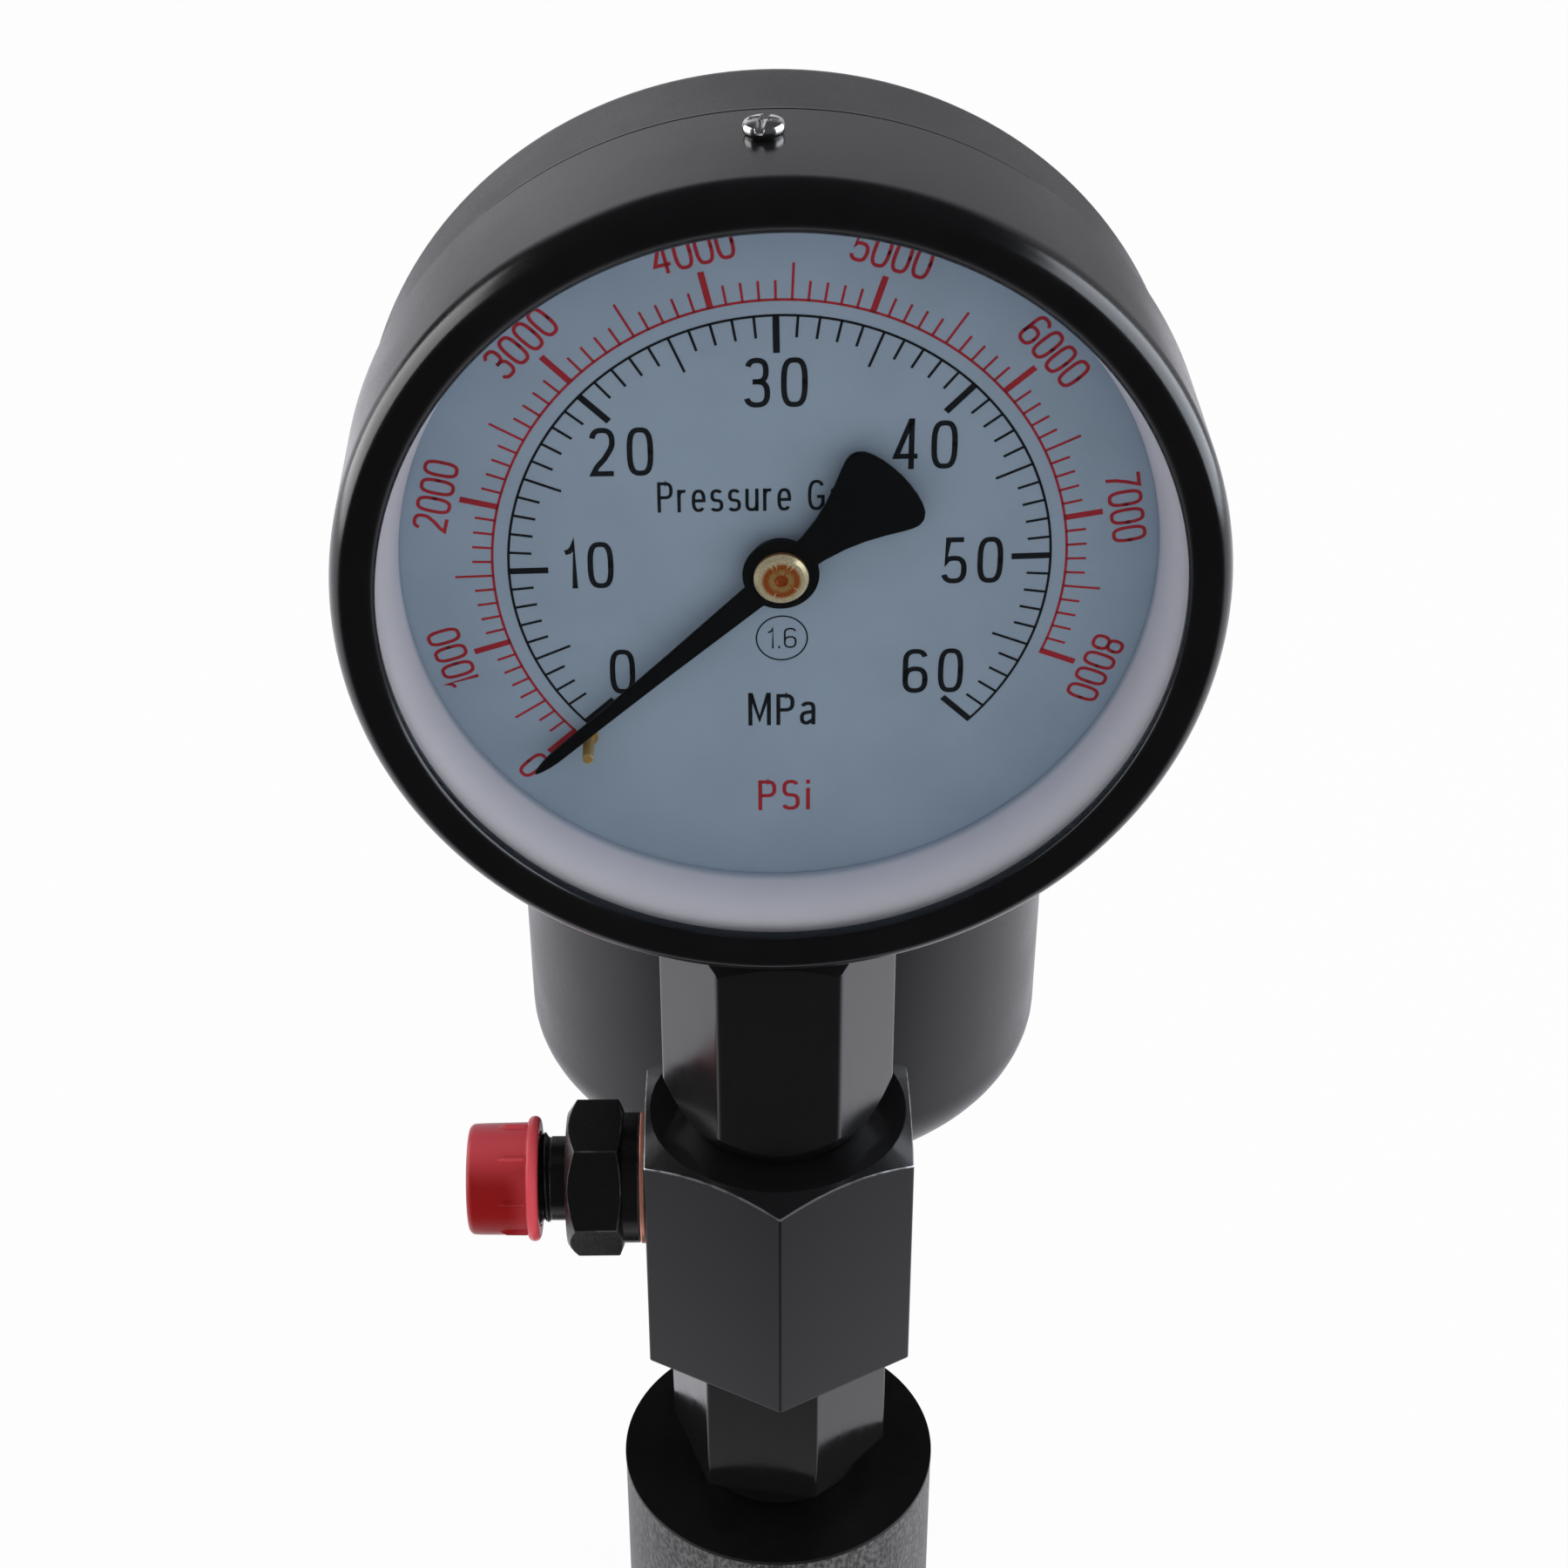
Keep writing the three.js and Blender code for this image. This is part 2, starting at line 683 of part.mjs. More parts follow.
function reservoirArm() {
  const outline = [
    [0, armUnderColumn],
    [columnRadius, armUnderColumn],
    [reservoirY - bossRadius, armUnderBoss],
    [reservoirY, armUnderBoss],
    [reservoirY, armTop],
    [0, armTop],
  ];
  const boss = turned([
    [0, armUnderBoss],
    [bossRadius - columnEdge, armUnderBoss],
    [bossRadius, armUnderBoss + columnEdge],
    [bossRadius, bossTop - bossFlangeHeight - (bossFlangeRadius - bossRadius)],
    [bossFlangeRadius, bossTop - bossFlangeHeight],
    [bossFlangeRadius, bossTop],
    [0, bossTop],
  ], roundSides).translate([0, reservoirY, 0]);
  return prismAlongX(outline, -armHalfWidth, armHalfWidth).add(boss);
}

// The stepped bore for the pump element, the lever's slot and the fuel passage
function housingBores() {
  const bore = turned([
    [0, slotFloor],
    [tappetRadius + fitGap, slotFloor],
    [tappetRadius + fitGap, tappetGuideTop],
    [chamberRadius, tappetGuideTop],
    [chamberRadius, barrelShoulder - seatGap],
    [upperBore, barrelShoulder - seatGap],
    [upperBore, columnTop + overrun],
    [0, columnTop + overrun],
  ], roundSides);
  const slotFront = -slotFrontShare * columnRadius;
  const slotRear = cheekRear + overrun;
  const slot = slab(-slotHalfWidth, slotHalfWidth, slotFront, slotRear, slotFloor, slotRoof);
  const top = slab(-slotHalfWidth, slotHalfWidth, columnRadius, slotRear, slotFloor, cheekTop + overrun);
  const pinHole = rodAlongX(pivotPinRadius + seatGap, -cheekHalfWidth - overrun, cheekHalfWidth + overrun);
  const boltHole = rod(hollowBoltRadius + fitGap, passageZ - 2 * passageRadius, bossTop + overrun);
  return bore.add(slot).add(top)
    .add(pinHole.translate([0, pivotY, pivotZ]))
    .add(boltHole.translate([0, reservoirY, 0]))
    .add(rodAlongY(passageRadius, 0, reservoirY, tinySides).translate([0, 0, passageZ]));
}

function pumpHousing() {
  return footPlate().add(columnBody()).add(leverCheeks()).add(reservoirArm()).subtract(housingBores());
}

// Pump element

function barrel() {
  const body = turned([
    [0, barrelBottom],
    [barrelStemRadius, barrelBottom],
    [barrelStemRadius, barrelShoulder],
    [holderThreadRadius, barrelShoulder],
    [holderThreadRadius, barrelTop],
    [0, barrelTop],
  ], roundSides);
  const port = rodAlongY(passageRadius, 0, upperBore, tinySides).translate([0, 0, passageZ]);
  const bore = rod(plungerRadius + fitGap, barrelBottom - overrun, barrelTop + overrun);
  return body.subtract(bore).subtract(port);
}

function plunger() {
  return turned([
    [0, tappetTop + seatGap],
    [plungerFootRadius, tappetTop + seatGap],
    [plungerFootRadius, plungerFootTop],
    [plungerRadius, plungerFootTop],
    [plungerRadius, plungerTop],
    [0, plungerTop],
  ]);
}

function deliveryValve() {
  const seatTop = valveSeatBottom + valveSeatHeight;
  return turned([
    [0, valveSeatBottom + valveLift],
    [valveStemRadius, valveSeatBottom + valveLift],
    [valveStemRadius, seatTop + seatGap],
    [valveHeadRadius, seatTop + seatGap],
    [valveHeadRadius, seatTop + valveHeadHeight],
    [0, seatTop + valveHeadHeight],
  ]);
}

function addPumpElement(group) {
  const seatTop = valveSeatBottom + valveSeatHeight;
  const seat = ringProfile(valveSeatBore, holderThreadRadius, valveSeatBottom, seatTop);
  const gasket = ringProfile(gasketBore, holderThreadRadius, gasketBottom, gasketBottom + gasketThickness);
  const plate = ringProfile(plungerRadius + fitGap, springPlateRadius, springPlateBottom, springPlateTop);
  const springFoot = seatTop + valveHeadHeight + seatGap;
  const pumpSpring = coilSpring(pumpSpringRadius, pumpSpringWire, pumpSpringCurls,
    springPlateTop + seatGap, barrelShoulder - seatGap);
  addPiece(group, 'barrel', barrel(), materials.brightSteel);
  addPiece(group, 'plunger', plunger(), materials.brightSteel);
  addPiece(group, 'tappet', rod(tappetRadius, tappetBottom, tappetTop, roundSides), materials.brightSteel);
  addPiece(group, 'spring_plate', turned(plate), materials.springSteel);
  addPiece(group, 'plunger_spring', pumpSpring, materials.springSteel);
  addPiece(group, 'valve_seat', turned(seat), materials.brightSteel);
  addPiece(group, 'valve_gasket', turned(gasket), materials.copper);
  addPiece(group, 'delivery_valve', deliveryValve(), materials.brightSteel);
  addPiece(group, 'valve_spring', coilSpring(valveSpringRadius, valveSpringWire, valveSpringCurls,
    springFoot, springFoot + valveSpringLength), materials.springSteel);
}

// Hexagonal fittings between the column and the gauge

function valveHolder() {
  const thread = rod(holderThreadRadius, holderBottom, columnTop + seatGap, roundSides);
  const collar = rod(holderCollarRadius, columnTop + seatGap, holderHexBottom, roundSides);
  const neck = hexBar(holderFlats, holderHexBottom, holderHexTop, holderTurn);
  const nipple = rod(nippleRadius, holderHexTop, holderHexTop + nippleLength);
  const springTop = valveSeatBottom + valveSeatHeight + valveHeadHeight + valveSpringLength + 2 * seatGap;
  const chamber = rod(holderBore, holderBottom - overrun, springTop);
  const drill = rod(drillRadius, springTop - overrun, holderHexTop + nippleLength + overrun, tinySides);
  return thread.add(collar).add(neck).add(nipple).subtract(chamber.add(drill));
}

function junctionBlock() {
  const bar = hexBar(blockFlats, blockBottom, blockTop, Math.PI / 6);
  const hex = chamferedTop(bar, blockFlats, blockFlats / 2 - blockTopChamfer, blockBottom, blockTop);
  const hole = nippleRadius + fitGap;
  const lower = rod(hole, blockBottom - overrun, holderHexTop + nippleLength + fitGap);
  const upper = rod(hole, adapterBottom - adapterSpigotLength - fitGap, blockTop + overrun);
  const drill = rod(drillRadius, blockBottom, blockTop, tinySides);
  const sideEnd = unionSpigotLength + fitGap - blockFlats / 2;
  const side = rodAlongX(unionThreadRadius + fitGap, -blockFlats, sideEnd);
  const crossDrill = rodAlongX(drillRadius, -blockFlats / 2, 0, tinySides);
  const outlet = side.add(crossDrill).translate([0, 0, outletZ]);
  return hex.subtract(lower).subtract(upper).subtract(drill).subtract(outlet);
}

function gaugeAdapter() {
  const bar = hexBar(adapterFlats, adapterBottom, adapterTop);
  const corner = hexRadius(adapterFlats) + overrun;
  const coneFootRadius = adapterFlats / 2 - adapterConeInset;
  const topFlatRadius = adapterFlats / 2 - adapterTopChamfer;
  const coneSlope = adapterConeHeight / (hexRadius(adapterFlats) - coneFootRadius);
  const fall = (corner - topFlatRadius) * hexChamferSlope;
  const envelope = turned([
    [0, adapterBottom],
    [coneFootRadius, adapterBottom],
    [corner, adapterBottom + (corner - coneFootRadius) * coneSlope],
    [corner, adapterTop - fall],
    [topFlatRadius, adapterTop],
    [0, adapterTop],
  ], ringSides);
  const spigot = rod(nippleRadius, adapterBottom - adapterSpigotLength, adapterBottom);
  const socketFloor = shankBottom - shankThreadLength - shankWasherThickness - 2 * seatGap;
  const socket = rod(shankThreadRadius + fitGap, socketFloor, adapterTop + overrun);
  const drill = rod(drillRadius, adapterBottom - adapterSpigotLength - overrun, adapterTop, tinySides);
  return bar.intersect(envelope).add(spigot).subtract(socket).subtract(drill);
}

// The block, its outlet and the adapter come to rest a little turned when they are tight
function tightenedGroup(group) {
  const tightened = new THREE.Group();
  tightened.rotation.z = fittingsTurn;
  group.add(tightened);
  return tightened;
}

function addFittings(group) {
  const tightened = tightenedGroup(group);
  const washerTop = shankBottom - shankThreadLength - seatGap;
  const washer = ringProfile(2 * drillRadius, shankThreadRadius, washerTop - shankWasherThickness, washerTop);
  addPiece(group, 'valve_holder', valveHolder(), materials.blackSteel);
  addPiece(tightened, 'junction_block', junctionBlock(), materials.blackSteel);
  addPiece(tightened, 'gauge_adapter', gaugeAdapter(), materials.blackSteel);
  addPiece(group, 'gauge_washer', turned(washer), materials.copper);
}

// Outlet: z runs outwards from the block's flat

function outletUnion() {
  const collarTop = outletWasherThickness + 2 * seatGap + unionCollarHeight;
  const hexTop = collarTop + unionHexHeight;
  const neckTop = hexTop + unionNeckLength;
  const end = neckTop + unionThreadLength;
  const spigot = rod(unionThreadRadius, -unionSpigotLength, collarTop);
  const collar = rod(unionCollarRadius, outletWasherThickness + 2 * seatGap, collarTop, roundSides);
  const bar = hexBar(unionFlats, collarTop, hexTop, Math.PI / 6);
  const hex = chamferedEnds(bar, unionFlats, unionFlats / 2 - unionChamfer, collarTop, hexTop);
  const neck = rod(unionNeckRadius, hexTop, neckTop);
  const thread = rod(unionThreadRadius, neckTop, end);
  const drill = rod(drillRadius, -unionSpigotLength - overrun, end, tinySides);
  const cone = turned([
    [0, end - unionConeDepth],
    [unionConeRadius, end],
    [unionConeRadius, end + overrun],
    [0, end + overrun],
  ]);
  return spigot.add(collar).add(hex).add(neck).add(thread).subtract(drill).subtract(cone);
}

function outletCap() {
  const hexTop = outletWasherThickness + 2 * seatGap + unionCollarHeight + unionHexHeight;
  const start = hexTop + unionNeckLength + capBackset;
  const end = start + capLength;
  const inner = capRadius - capWall;
  const flangeRadius = capRadius + capFlangeStep;
  const endRadius = capRadius - capEndStep;
  let cap = turned([
    [inner, start],
    [flangeRadius, start],
    [flangeRadius, start + capFlangeThickness],
    [capRadius, start + capFlangeThickness],
    [capRadius, end - capEndRound],
    [endRadius, end],
    [0, end],
    [0, end - capWall],
    [inner, end - capWall],
    [inner, start],
  ], roundSides);
  const ribFoot = start + capFlangeThickness;
  for (let i = 0; i < capRibCount; i++) {
    const rib = slab(capRadius - capRibHeight, capRadius + capRibHeight, -capRibHalfWidth, capRibHalfWidth,
      ribFoot - capRibHeight, ribFoot + capRibLength);
    cap = cap.add(rib.rotate([0, 0, (360 * i) / capRibCount]));
  }
  return cap;
}

function addOutlet(group) {
  const outlet = new THREE.Group();
  outlet.position.set(-blockFlats / 2, 0, outletZ);
  outlet.rotation.y = -Math.PI / 2;
  tightenedGroup(group).add(outlet);
  const washerTop = seatGap + outletWasherThickness;
  const washer = ringProfile(unionThreadRadius + fitGap, unionCollarRadius, seatGap, washerTop);
  addPiece(outlet, 'outlet_washer', turned(washer, roundSides), materials.copper);
  addPiece(outlet, 'outlet_union', outletUnion(), materials.blackSteel);
  addPiece(outlet, 'outlet_cap', outletCap(), materials.redCap);
}

// Gauge case and its front

function gaugeCase() {
  const roundCentre = [caseRadius - caseBackRound, caseBack - caseBackRound];
  const shell = turnedAboutY([
    [caseInner, caseFront],
    [caseRadius, caseFront],
    ...arc(roundCentre, caseBackRound, 0, Math.PI / 2, 3),
    [0, caseBack],
    [0, caseBack - caseWall],
    ...arc(roundCentre, caseBackRound - caseWall, Math.PI / 2, 0, 3),
    [caseInner, caseFront],
  ], ringSides);
  const half = shankHalfWidth + fitGap;
  const footLow = -caseRadius - overrun;
  const hole = slab(-half, half, dialAhead - half, dialAhead + half, footLow, overrun - caseInner);
  const lugFront = dialThickness + seatGap;
  const lug = slab(-lugWidth / 2, lugWidth / 2, lugFront, lugFront + lugDepth,
    caseInner - lugInset, caseInner + caseWall / 2);
  let body = shell.subtract(hole);
  for (let i = 0; i < lugCount; i++) {
    body = body.add(lug.rotate([0, (360 * i) / lugCount, 0]));
  }
  const screwRadius = bezelScrewShankRadius + seatGap;
  const screwHole = rodAlongY(screwRadius, backFace() - overrun, caseBack + overrun, tinySides);
  const screwHoles = screwPlaces().map(([x, z]) => screwHole.translate([x, 0, z]));
  for (const cut of [...screwHoles, ...bezelScrewHoles()]) {
    body = body.subtract(cut);
  }
  return body;
}

// The case's inner back face, less the gap to the socket
function backFace() {
  return caseBack - caseWall - fitGap;
}

// Where the two screws through the case's back enter the socket
function screwPlaces() {
  const x = socketScrewShare * socketHalfWidth;
  const z = (socketTop - caseRadius) / 2;
  return [[-x, z], [x, z]];
}

function bezelScrewHoles() {
  const hole = rod(bezelScrewShankRadius + seatGap, caseRadius - lugInset, bezelRadius + overrun, tinySides);
  const degrees = bezelScrewTurns.map(THREE.MathUtils.radToDeg);
  return degrees.map((turn) => hole.translate([0, bezelScrewAtY, 0]).rotate([0, turn, 0]));
}

// The rolled front ring: its skirt slides over the case and is notched round the gauge's shank
function bezel() {
  const crown = (bezelRadius + bezelLipRadius + bezelWall) / 2;
  const roll = (radius, depth) => {
    const points = [];
    for (let i = 0; i <= bezelRollSteps; i++) {
      const [across, ahead] = polar(1, (Math.PI / 2) * (1 - i / bezelRollSteps));
      points.push([crown + (radius - crown) * across, bezelRollStart - depth * ahead]);
    }
    return points;
  };
  const lipY = bezelFront + bezelLipSetback;
  const inner = bezelRadius - bezelWall;
  const profile = [
    [bezelLipRadius, lipY],
    ...roll(bezelRadius, bezelRollDepth),
    [bezelRadius, bezelSkirtEnd],
    [inner, bezelSkirtEnd],
    ...roll(inner, bezelRollDepth - bezelWall).reverse(),
    [bezelLipRadius, lipY + bezelWall],
    [bezelLipRadius, lipY],
  ];
  const half = shankHalfWidth + 2 * fitGap;
  const notch = slab(-half, half, dialAhead - half, bezelSkirtEnd + overrun, -bezelRadius - overrun, 0);
  let ring = turnedAboutY(profile, ringSides).subtract(notch);
  for (const hole of bezelScrewHoles()) {
    ring = ring.subtract(hole);
  }
  return ring;
}

function panHeadScrew() {
  const quarter = arc([0, 0], 1, 0, Math.PI / 2, 4);
  const profile = [
    [0, -bezelScrewShankLength],
    [bezelScrewShankRadius, -bezelScrewShankLength],
    [bezelScrewShankRadius, 0],
    ...quarter.map(([x, y]) => [bezelScrewHeadRadius * x, bezelScrewHeadHeight * y]),
  ];
  const floor = bezelScrewHeadHeight - crossSlotDepth;
  const top = bezelScrewHeadHeight + overrun;
  const [w, l] = [crossSlotHalfWidth, crossSlotHalfLength];
  const slot = slab(-w, w, -l, l, floor, top);
  return turned(profile, tinySides).subtract(slot).subtract(slot.rotate([0, 0, 90]));
}

function addGaugeShell(gauge) {
  const lipBack = bezelFront + bezelLipSetback + bezelWall;
  const glassFront = lipBack + seatGap;
  const sealFront = glassFront + glassThickness + seatGap;
  const spacerFront = sealFront + glassSealThickness + seatGap;
  const spacerOuter = caseInner - fitGap;
  const disc = ringProfile(dialHoleRadius, dialRadius, 0, dialThickness);
  const pane = barProfile(glassRadius, glassFront, glassFront + glassThickness);
  const sealBore = glassRadius - glassSealWidth;
  const seal = ringProfile(sealBore, glassRadius, sealFront, sealFront + glassSealThickness);
  const spacer = ringProfile(spacerOuter - spacerWidth, spacerOuter, spacerFront, -seatGap);
  const pinHole = rodAlongY(stopPinRadius + seatGap, -overrun, overrun, tinySides);
  const dial = turnedAboutY(disc, ringSides).subtract(pinHole.translate(stopPinPlace()));
  addPiece(gauge, 'gauge_case', gaugeCase(), materials.darkPaint);
  addPiece(gauge, 'gauge_bezel', bezel(), materials.darkPaint);
  addPiece(gauge, 'gauge_glass', turnedAboutY(pane, ringSides), materials.clearGlass);
  addPiece(gauge, 'glass_seal', turnedAboutY(seal, ringSides), materials.sealRubber);
  addPiece(gauge, 'spacer_ring', turnedAboutY(spacer, ringSides), materials.spacerWhite);
  addPiece(gauge, 'dial', dial, materials.dialWhite);
  const screw = panHeadScrew();
  bezelScrewTurns.forEach((turn, i) => {
    const place = new THREE.Group();
    place.rotation.y = turn;
    gauge.add(place);
    const piece = addPiece(place, `bezel_screw_${i + 1}`, screw, materials.nickel);
    piece.position.set(0, bezelScrewAtY, bezelRadius + seatGap);
  });
  screwPlaces().forEach(([x, z], i) => {
    const piece = addPiece(gauge, `case_screw_${i + 1}`, screw, materials.nickel);
    piece.position.set(x, caseBack + seatGap, z);
    piece.rotation.x = -Math.PI / 2;
  });
}

// Gauge works

function gaugeSocket() {
  const front = dialAhead - socketFrontDepth;
  const foot = fitGap - caseInner;
  const shankFoot = -caseRadius - shankLength;
  const threadFoot = shankFoot - shankThreadLength;
  const body = slab(-socketHalfWidth, socketHalfWidth, front, backFace(), foot, socketTop);
  const half = shankHalfWidth;
  const shank = slab(-half, half, -half, half, shankFoot, foot + overrun)
    .add(rod(shankThreadRadius, threadFoot, shankFoot, roundSides))
    .translate([0, dialAhead, 0]);
  const drill = rod(drillRadius, threadFoot - overrun, -tubeRadius, tinySides).translate([0, dialAhead, 0]);
  let socket = body.intersect(socketFootCut()).add(shank).subtract(drill);
  const holeEnd = backFace() - bezelScrewShankLength;
  const hole = rodAlongY(bezelScrewShankRadius + seatGap, holeEnd, caseBack, tinySides);
  for (const [x, z] of screwPlaces()) {
    socket = socket.subtract(hole.translate([x, 0, z]));
  }
  const seat = turnedAboutY(tubeSection(tubeHalfThickness + fitGap, tubeHalfWidth + fitGap), ringSides);
  const leftPart = slab(-caseRadius, -socketHalfWidth / 2, 0, caseBack, -caseRadius, 0);
  return socket.subtract(seat.translate([0, dialAhead, 0]).intersect(leftPart));
}

// The inside of the case, less a gap, which the socket's foot stays within
function socketFootCut() {
  const round = caseBackRound - caseWall - fitGap;
  return turnedAboutY([
    [0, 0],
    [caseInner - fitGap, 0],
    ...arc([caseRadius - caseBackRound, caseBack - caseBackRound], round, 0, Math.PI / 2, 3),
    [0, backFace()],
  ], ringSides);
}

// The flattened section of the gauge tube, as [radius, y] points of an eight-sided ring
function tubeSection(halfThickness, halfWidth) {
  const points = [];
  for (let i = 0; i <= 8; i++) {
    const [out, along] = polar(1, (Math.PI * (i + 0.5)) / 4);
    points.push([tubeRadius + halfThickness * out, halfWidth * along]);
  }
  points[8] = points[0];
  return points;
}

// The tube rises from the socket's left side, round the works, down to its tip on the right
function bourdonTube() {
  const ring = turnedAboutY(tubeSection(tubeHalfThickness, tubeHalfWidth), ringSides);
  const start = Math.PI + Math.acos((socketHalfWidth / 2 + tubeEndGap) / tubeRadius);
  const reach = 2 * tubeRadius;
  const opening = [[0, 0], polar(reach, tubeEndAngle), [0, -reach], polar(reach, start)];
  const cut = prismAlongY(opening, -tubeHalfWidth - overrun, tubeHalfWidth + overrun);
  return ring.subtract(cut).translate([0, dialAhead, 0]);
}

function tubeTip() {
  const [x, z] = polar(tubeRadius, tubeEndAngle);
  const half = tubeHalfThickness + fitGap + tubeTipWall;
  const clamp = slab(-half, half, -tubeHalfWidth, tubeHalfWidth, -tubeTipLength, -seatGap);
  const pinFront = -tubeHalfWidth - linkThickness - fitGap;
  const pin = rodAlongY(tipPinRadius, pinFront, 0, tinySides).translate([0, 0, -tubeTipLength / 2]);
  const turn = THREE.MathUtils.radToDeg(-tubeEndAngle);
  return clamp.add(pin).rotate([0, turn, 0]).translate([x, dialAhead, z]);
}

// Where the link's two pins sit: on the tube's tip and on the sector's tail
function linkPins() {
  const [tx, tz] = polar(tubeRadius, tubeEndAngle);
  const half = tubeTipLength / 2;
  const tip = [tx + half * Math.sin(tubeEndAngle), tz - half * Math.cos(tubeEndAngle)];
  const [sx, sz] = polar(sectorTailLength, -sectorSwing / 2);
  return [tip, [sx, sz - gearCentres()]];
}

function link() {
  const [tip, tail] = linkPins();
  const angle = Math.atan2(tail[1] - tip[1], tail[0] - tip[0]);
  const outline = [
    ...arc(tip, linkHalfHeight, angle + Math.PI / 2, angle + 1.5 * Math.PI, 6),
    ...arc(tail, linkHalfHeight, angle - Math.PI / 2, angle + Math.PI / 2, 6),
  ];
  const back = dialAhead - tubeHalfWidth - fitGap;
  const bar = prismAlongY(outline, back - linkThickness, back);
  const tipHole = rodAlongY(tipPinRadius + fitGap, 0, dialAhead, tinySides).translate([tip[0], 0, tip[1]]);
  const tailRadius = tipPinRadius + linkSlack;
  const tailHole = rodAlongY(tailRadius, 0, dialAhead, tinySides).translate([tail[0], 0, tail[1]]);
  return bar.subtract(tipHole).subtract(tailHole);
}

function gearCentres() {
  return ((pinionTeeth + sectorTeethPerTurn) * gearModule) / 2 + gearBacklash;
}

// Teeth round a gear as [x, z] points: each tooth rises from its root to a narrower tip
function toothPoints(teethPerTurn, centreAngle, count) {
  const pitch = (2 * Math.PI) / teethPerTurn;
  const root = gearModule * (teethPerTurn / 2 - toothRootDepthShare);
  const tip = gearModule * (teethPerTurn / 2 + toothTipHeightShare);
  const points = [];
  for (let i = 0; i < count; i++) {
    const middle = centreAngle + (i - (count - 1) / 2) * pitch;
    points.push(polar(root, middle - pitch * toothFillShare));
    points.push(polar(tip, middle - pitch * toothTipShare));
    points.push(polar(tip, middle + pitch * toothTipShare));
    points.push(polar(root, middle + pitch * toothFillShare));
  }
  return points;
}

// The pinion on its arbor, which carries the pointer through the dial
function spindle() {
  const halfTooth = Math.PI / pinionTeeth;
  const teeth = toothPoints(pinionTeeth, halfTooth - Math.PI / 2, pinionTeeth);
  const arborFront = pointerBack - pointerThickness - seatGap;
  const arbor = rodAlongY(arborRadius, arborFront, backPlateY + plateThickness, tinySides);
  return prismAlongY(teeth, gearY - gearWidth, gearY + gearWidth).add(arbor);
}

function sectorGear() {
  const radius = (sectorTeethPerTurn * gearModule) / 2;
  const [front, back] = [gearY - gearWidth / 2, gearY + gearWidth / 2];
  const middle = Math.PI / 2 - sectorSwing / 2 + sectorMeshPhase();
  const halfArc = (Math.PI * sectorArcTeeth) / sectorTeethPerTurn;
  const rimInner = radius - gearModule * sectorRimDepthShare;
  const spokeEnd = radius - gearModule * sectorSpokeDepthShare;
  const rim = [
    ...toothPoints(sectorTeethPerTurn, middle, sectorArcTeeth),
    ...arc([0, 0], rimInner, middle + halfArc, middle - halfArc, 6),
  ];
  const spoke = [
    polar(sectorHubRadius, middle - Math.PI / 2),
    polar(spokeEnd, middle - halfArc / 2),
    polar(spokeEnd, middle + halfArc / 2),
    polar(sectorHubRadius, middle + Math.PI / 2),
  ];
  const hub = rodAlongY(sectorHubRadius, gearY - gearWidth, gearY + gearWidth, tinySides);
  const arbor = rodAlongY(arborRadius, frontPlateY - plateThickness, backPlateY + plateThickness, tinySides);
  const tailTurn = -sectorSwing / 2;
  const [tx, tz] = polar(sectorTailLength, tailTurn);
  const tail = [
    polar(sectorHubRadius, tailTurn - Math.PI / 2),
    ...arc([tx, tz], linkHalfHeight, tailTurn - Math.PI / 2, tailTurn + Math.PI / 2, 6),
    polar(sectorHubRadius, tailTurn + Math.PI / 2),
  ];
  const pinFront = dialAhead - tubeHalfWidth - fitGap - linkThickness - fitGap;
  const pin = rodAlongY(tipPinRadius, pinFront, gearY, tinySides).translate([tx, 0, tz]);
  let sector = hub.add(arbor).add(pin);
  for (const outline of [rim, spoke, tail]) {
    sector = sector.add(prismAlongY(outline, front, back));
  }
  return sector.translate([0, 0, -gearCentres()]);
}

// Turns the sector so that one of its gaps faces the pinion's lowest tooth at rest
function sectorMeshPhase() {
  const pitch = (2 * Math.PI) / sectorTeethPerTurn;
  const offset = ((sectorSwing / 2) / pitch) % 1;
  const half = sectorArcTeeth % 2 === 0 ? 0 : 0.5;
  return (offset - half) * pitch;
}

function movementPlate(nearY, bottom) {
  const plate = slab(-plateHalfWidth, plateHalfWidth, nearY, nearY + plateThickness, bottom, plateTop);
  const hole = rodAlongY(arborRadius + fitGap, 0, caseBack, tinySides);
  return plate.subtract(hole).subtract(hole.translate([0, 0, -gearCentres()]));
}

function addGaugeWorks(gauge) {
  const plateFoot = socketTop + seatGap;
  addPiece(gauge, 'gauge_socket', gaugeSocket(), materials.brightSteel);
  addPiece(gauge, 'bourdon_tube', bourdonTube(), materials.brass);
  addPiece(gauge, 'tube_tip', tubeTip(), materials.brass);
  addPiece(gauge, 'link', link(), materials.brass);
  const frontPlate = movementPlate(frontPlateY - plateThickness, plateFoot);
  addPiece(gauge, 'movement_front_plate', frontPlate, materials.brass);
  addPiece(gauge, 'movement_back_plate', movementPlate(backPlateY, plateFoot), materials.brass);
  const pillarX = plateHalfWidth - 2 * pillarRadius;
  const pillarTop = plateTop - 2 * pillarRadius;
  const pillarFoot = plateFoot + 2 * pillarRadius;
  const pillar = rodAlongY(pillarRadius, frontPlateY + seatGap, backPlateY - seatGap, tinySides);
  const pillarPlaces = [[-pillarX, pillarTop], [pillarX, pillarTop], [-pillarX, pillarFoot]];
  pillarPlaces.forEach(([x, z], i) => {
    addPiece(gauge, `movement_pillar_${i + 1}`, pillar.translate([x, 0, z]), materials.brass);
  });
  addPiece(gauge, 'sector_gear', sectorGear(), materials.brass);
  addPiece(gauge, 'spindle', spindle(), materials.brass);
}

// Pointer: drawn pointing along +X, then turned to its rest angle

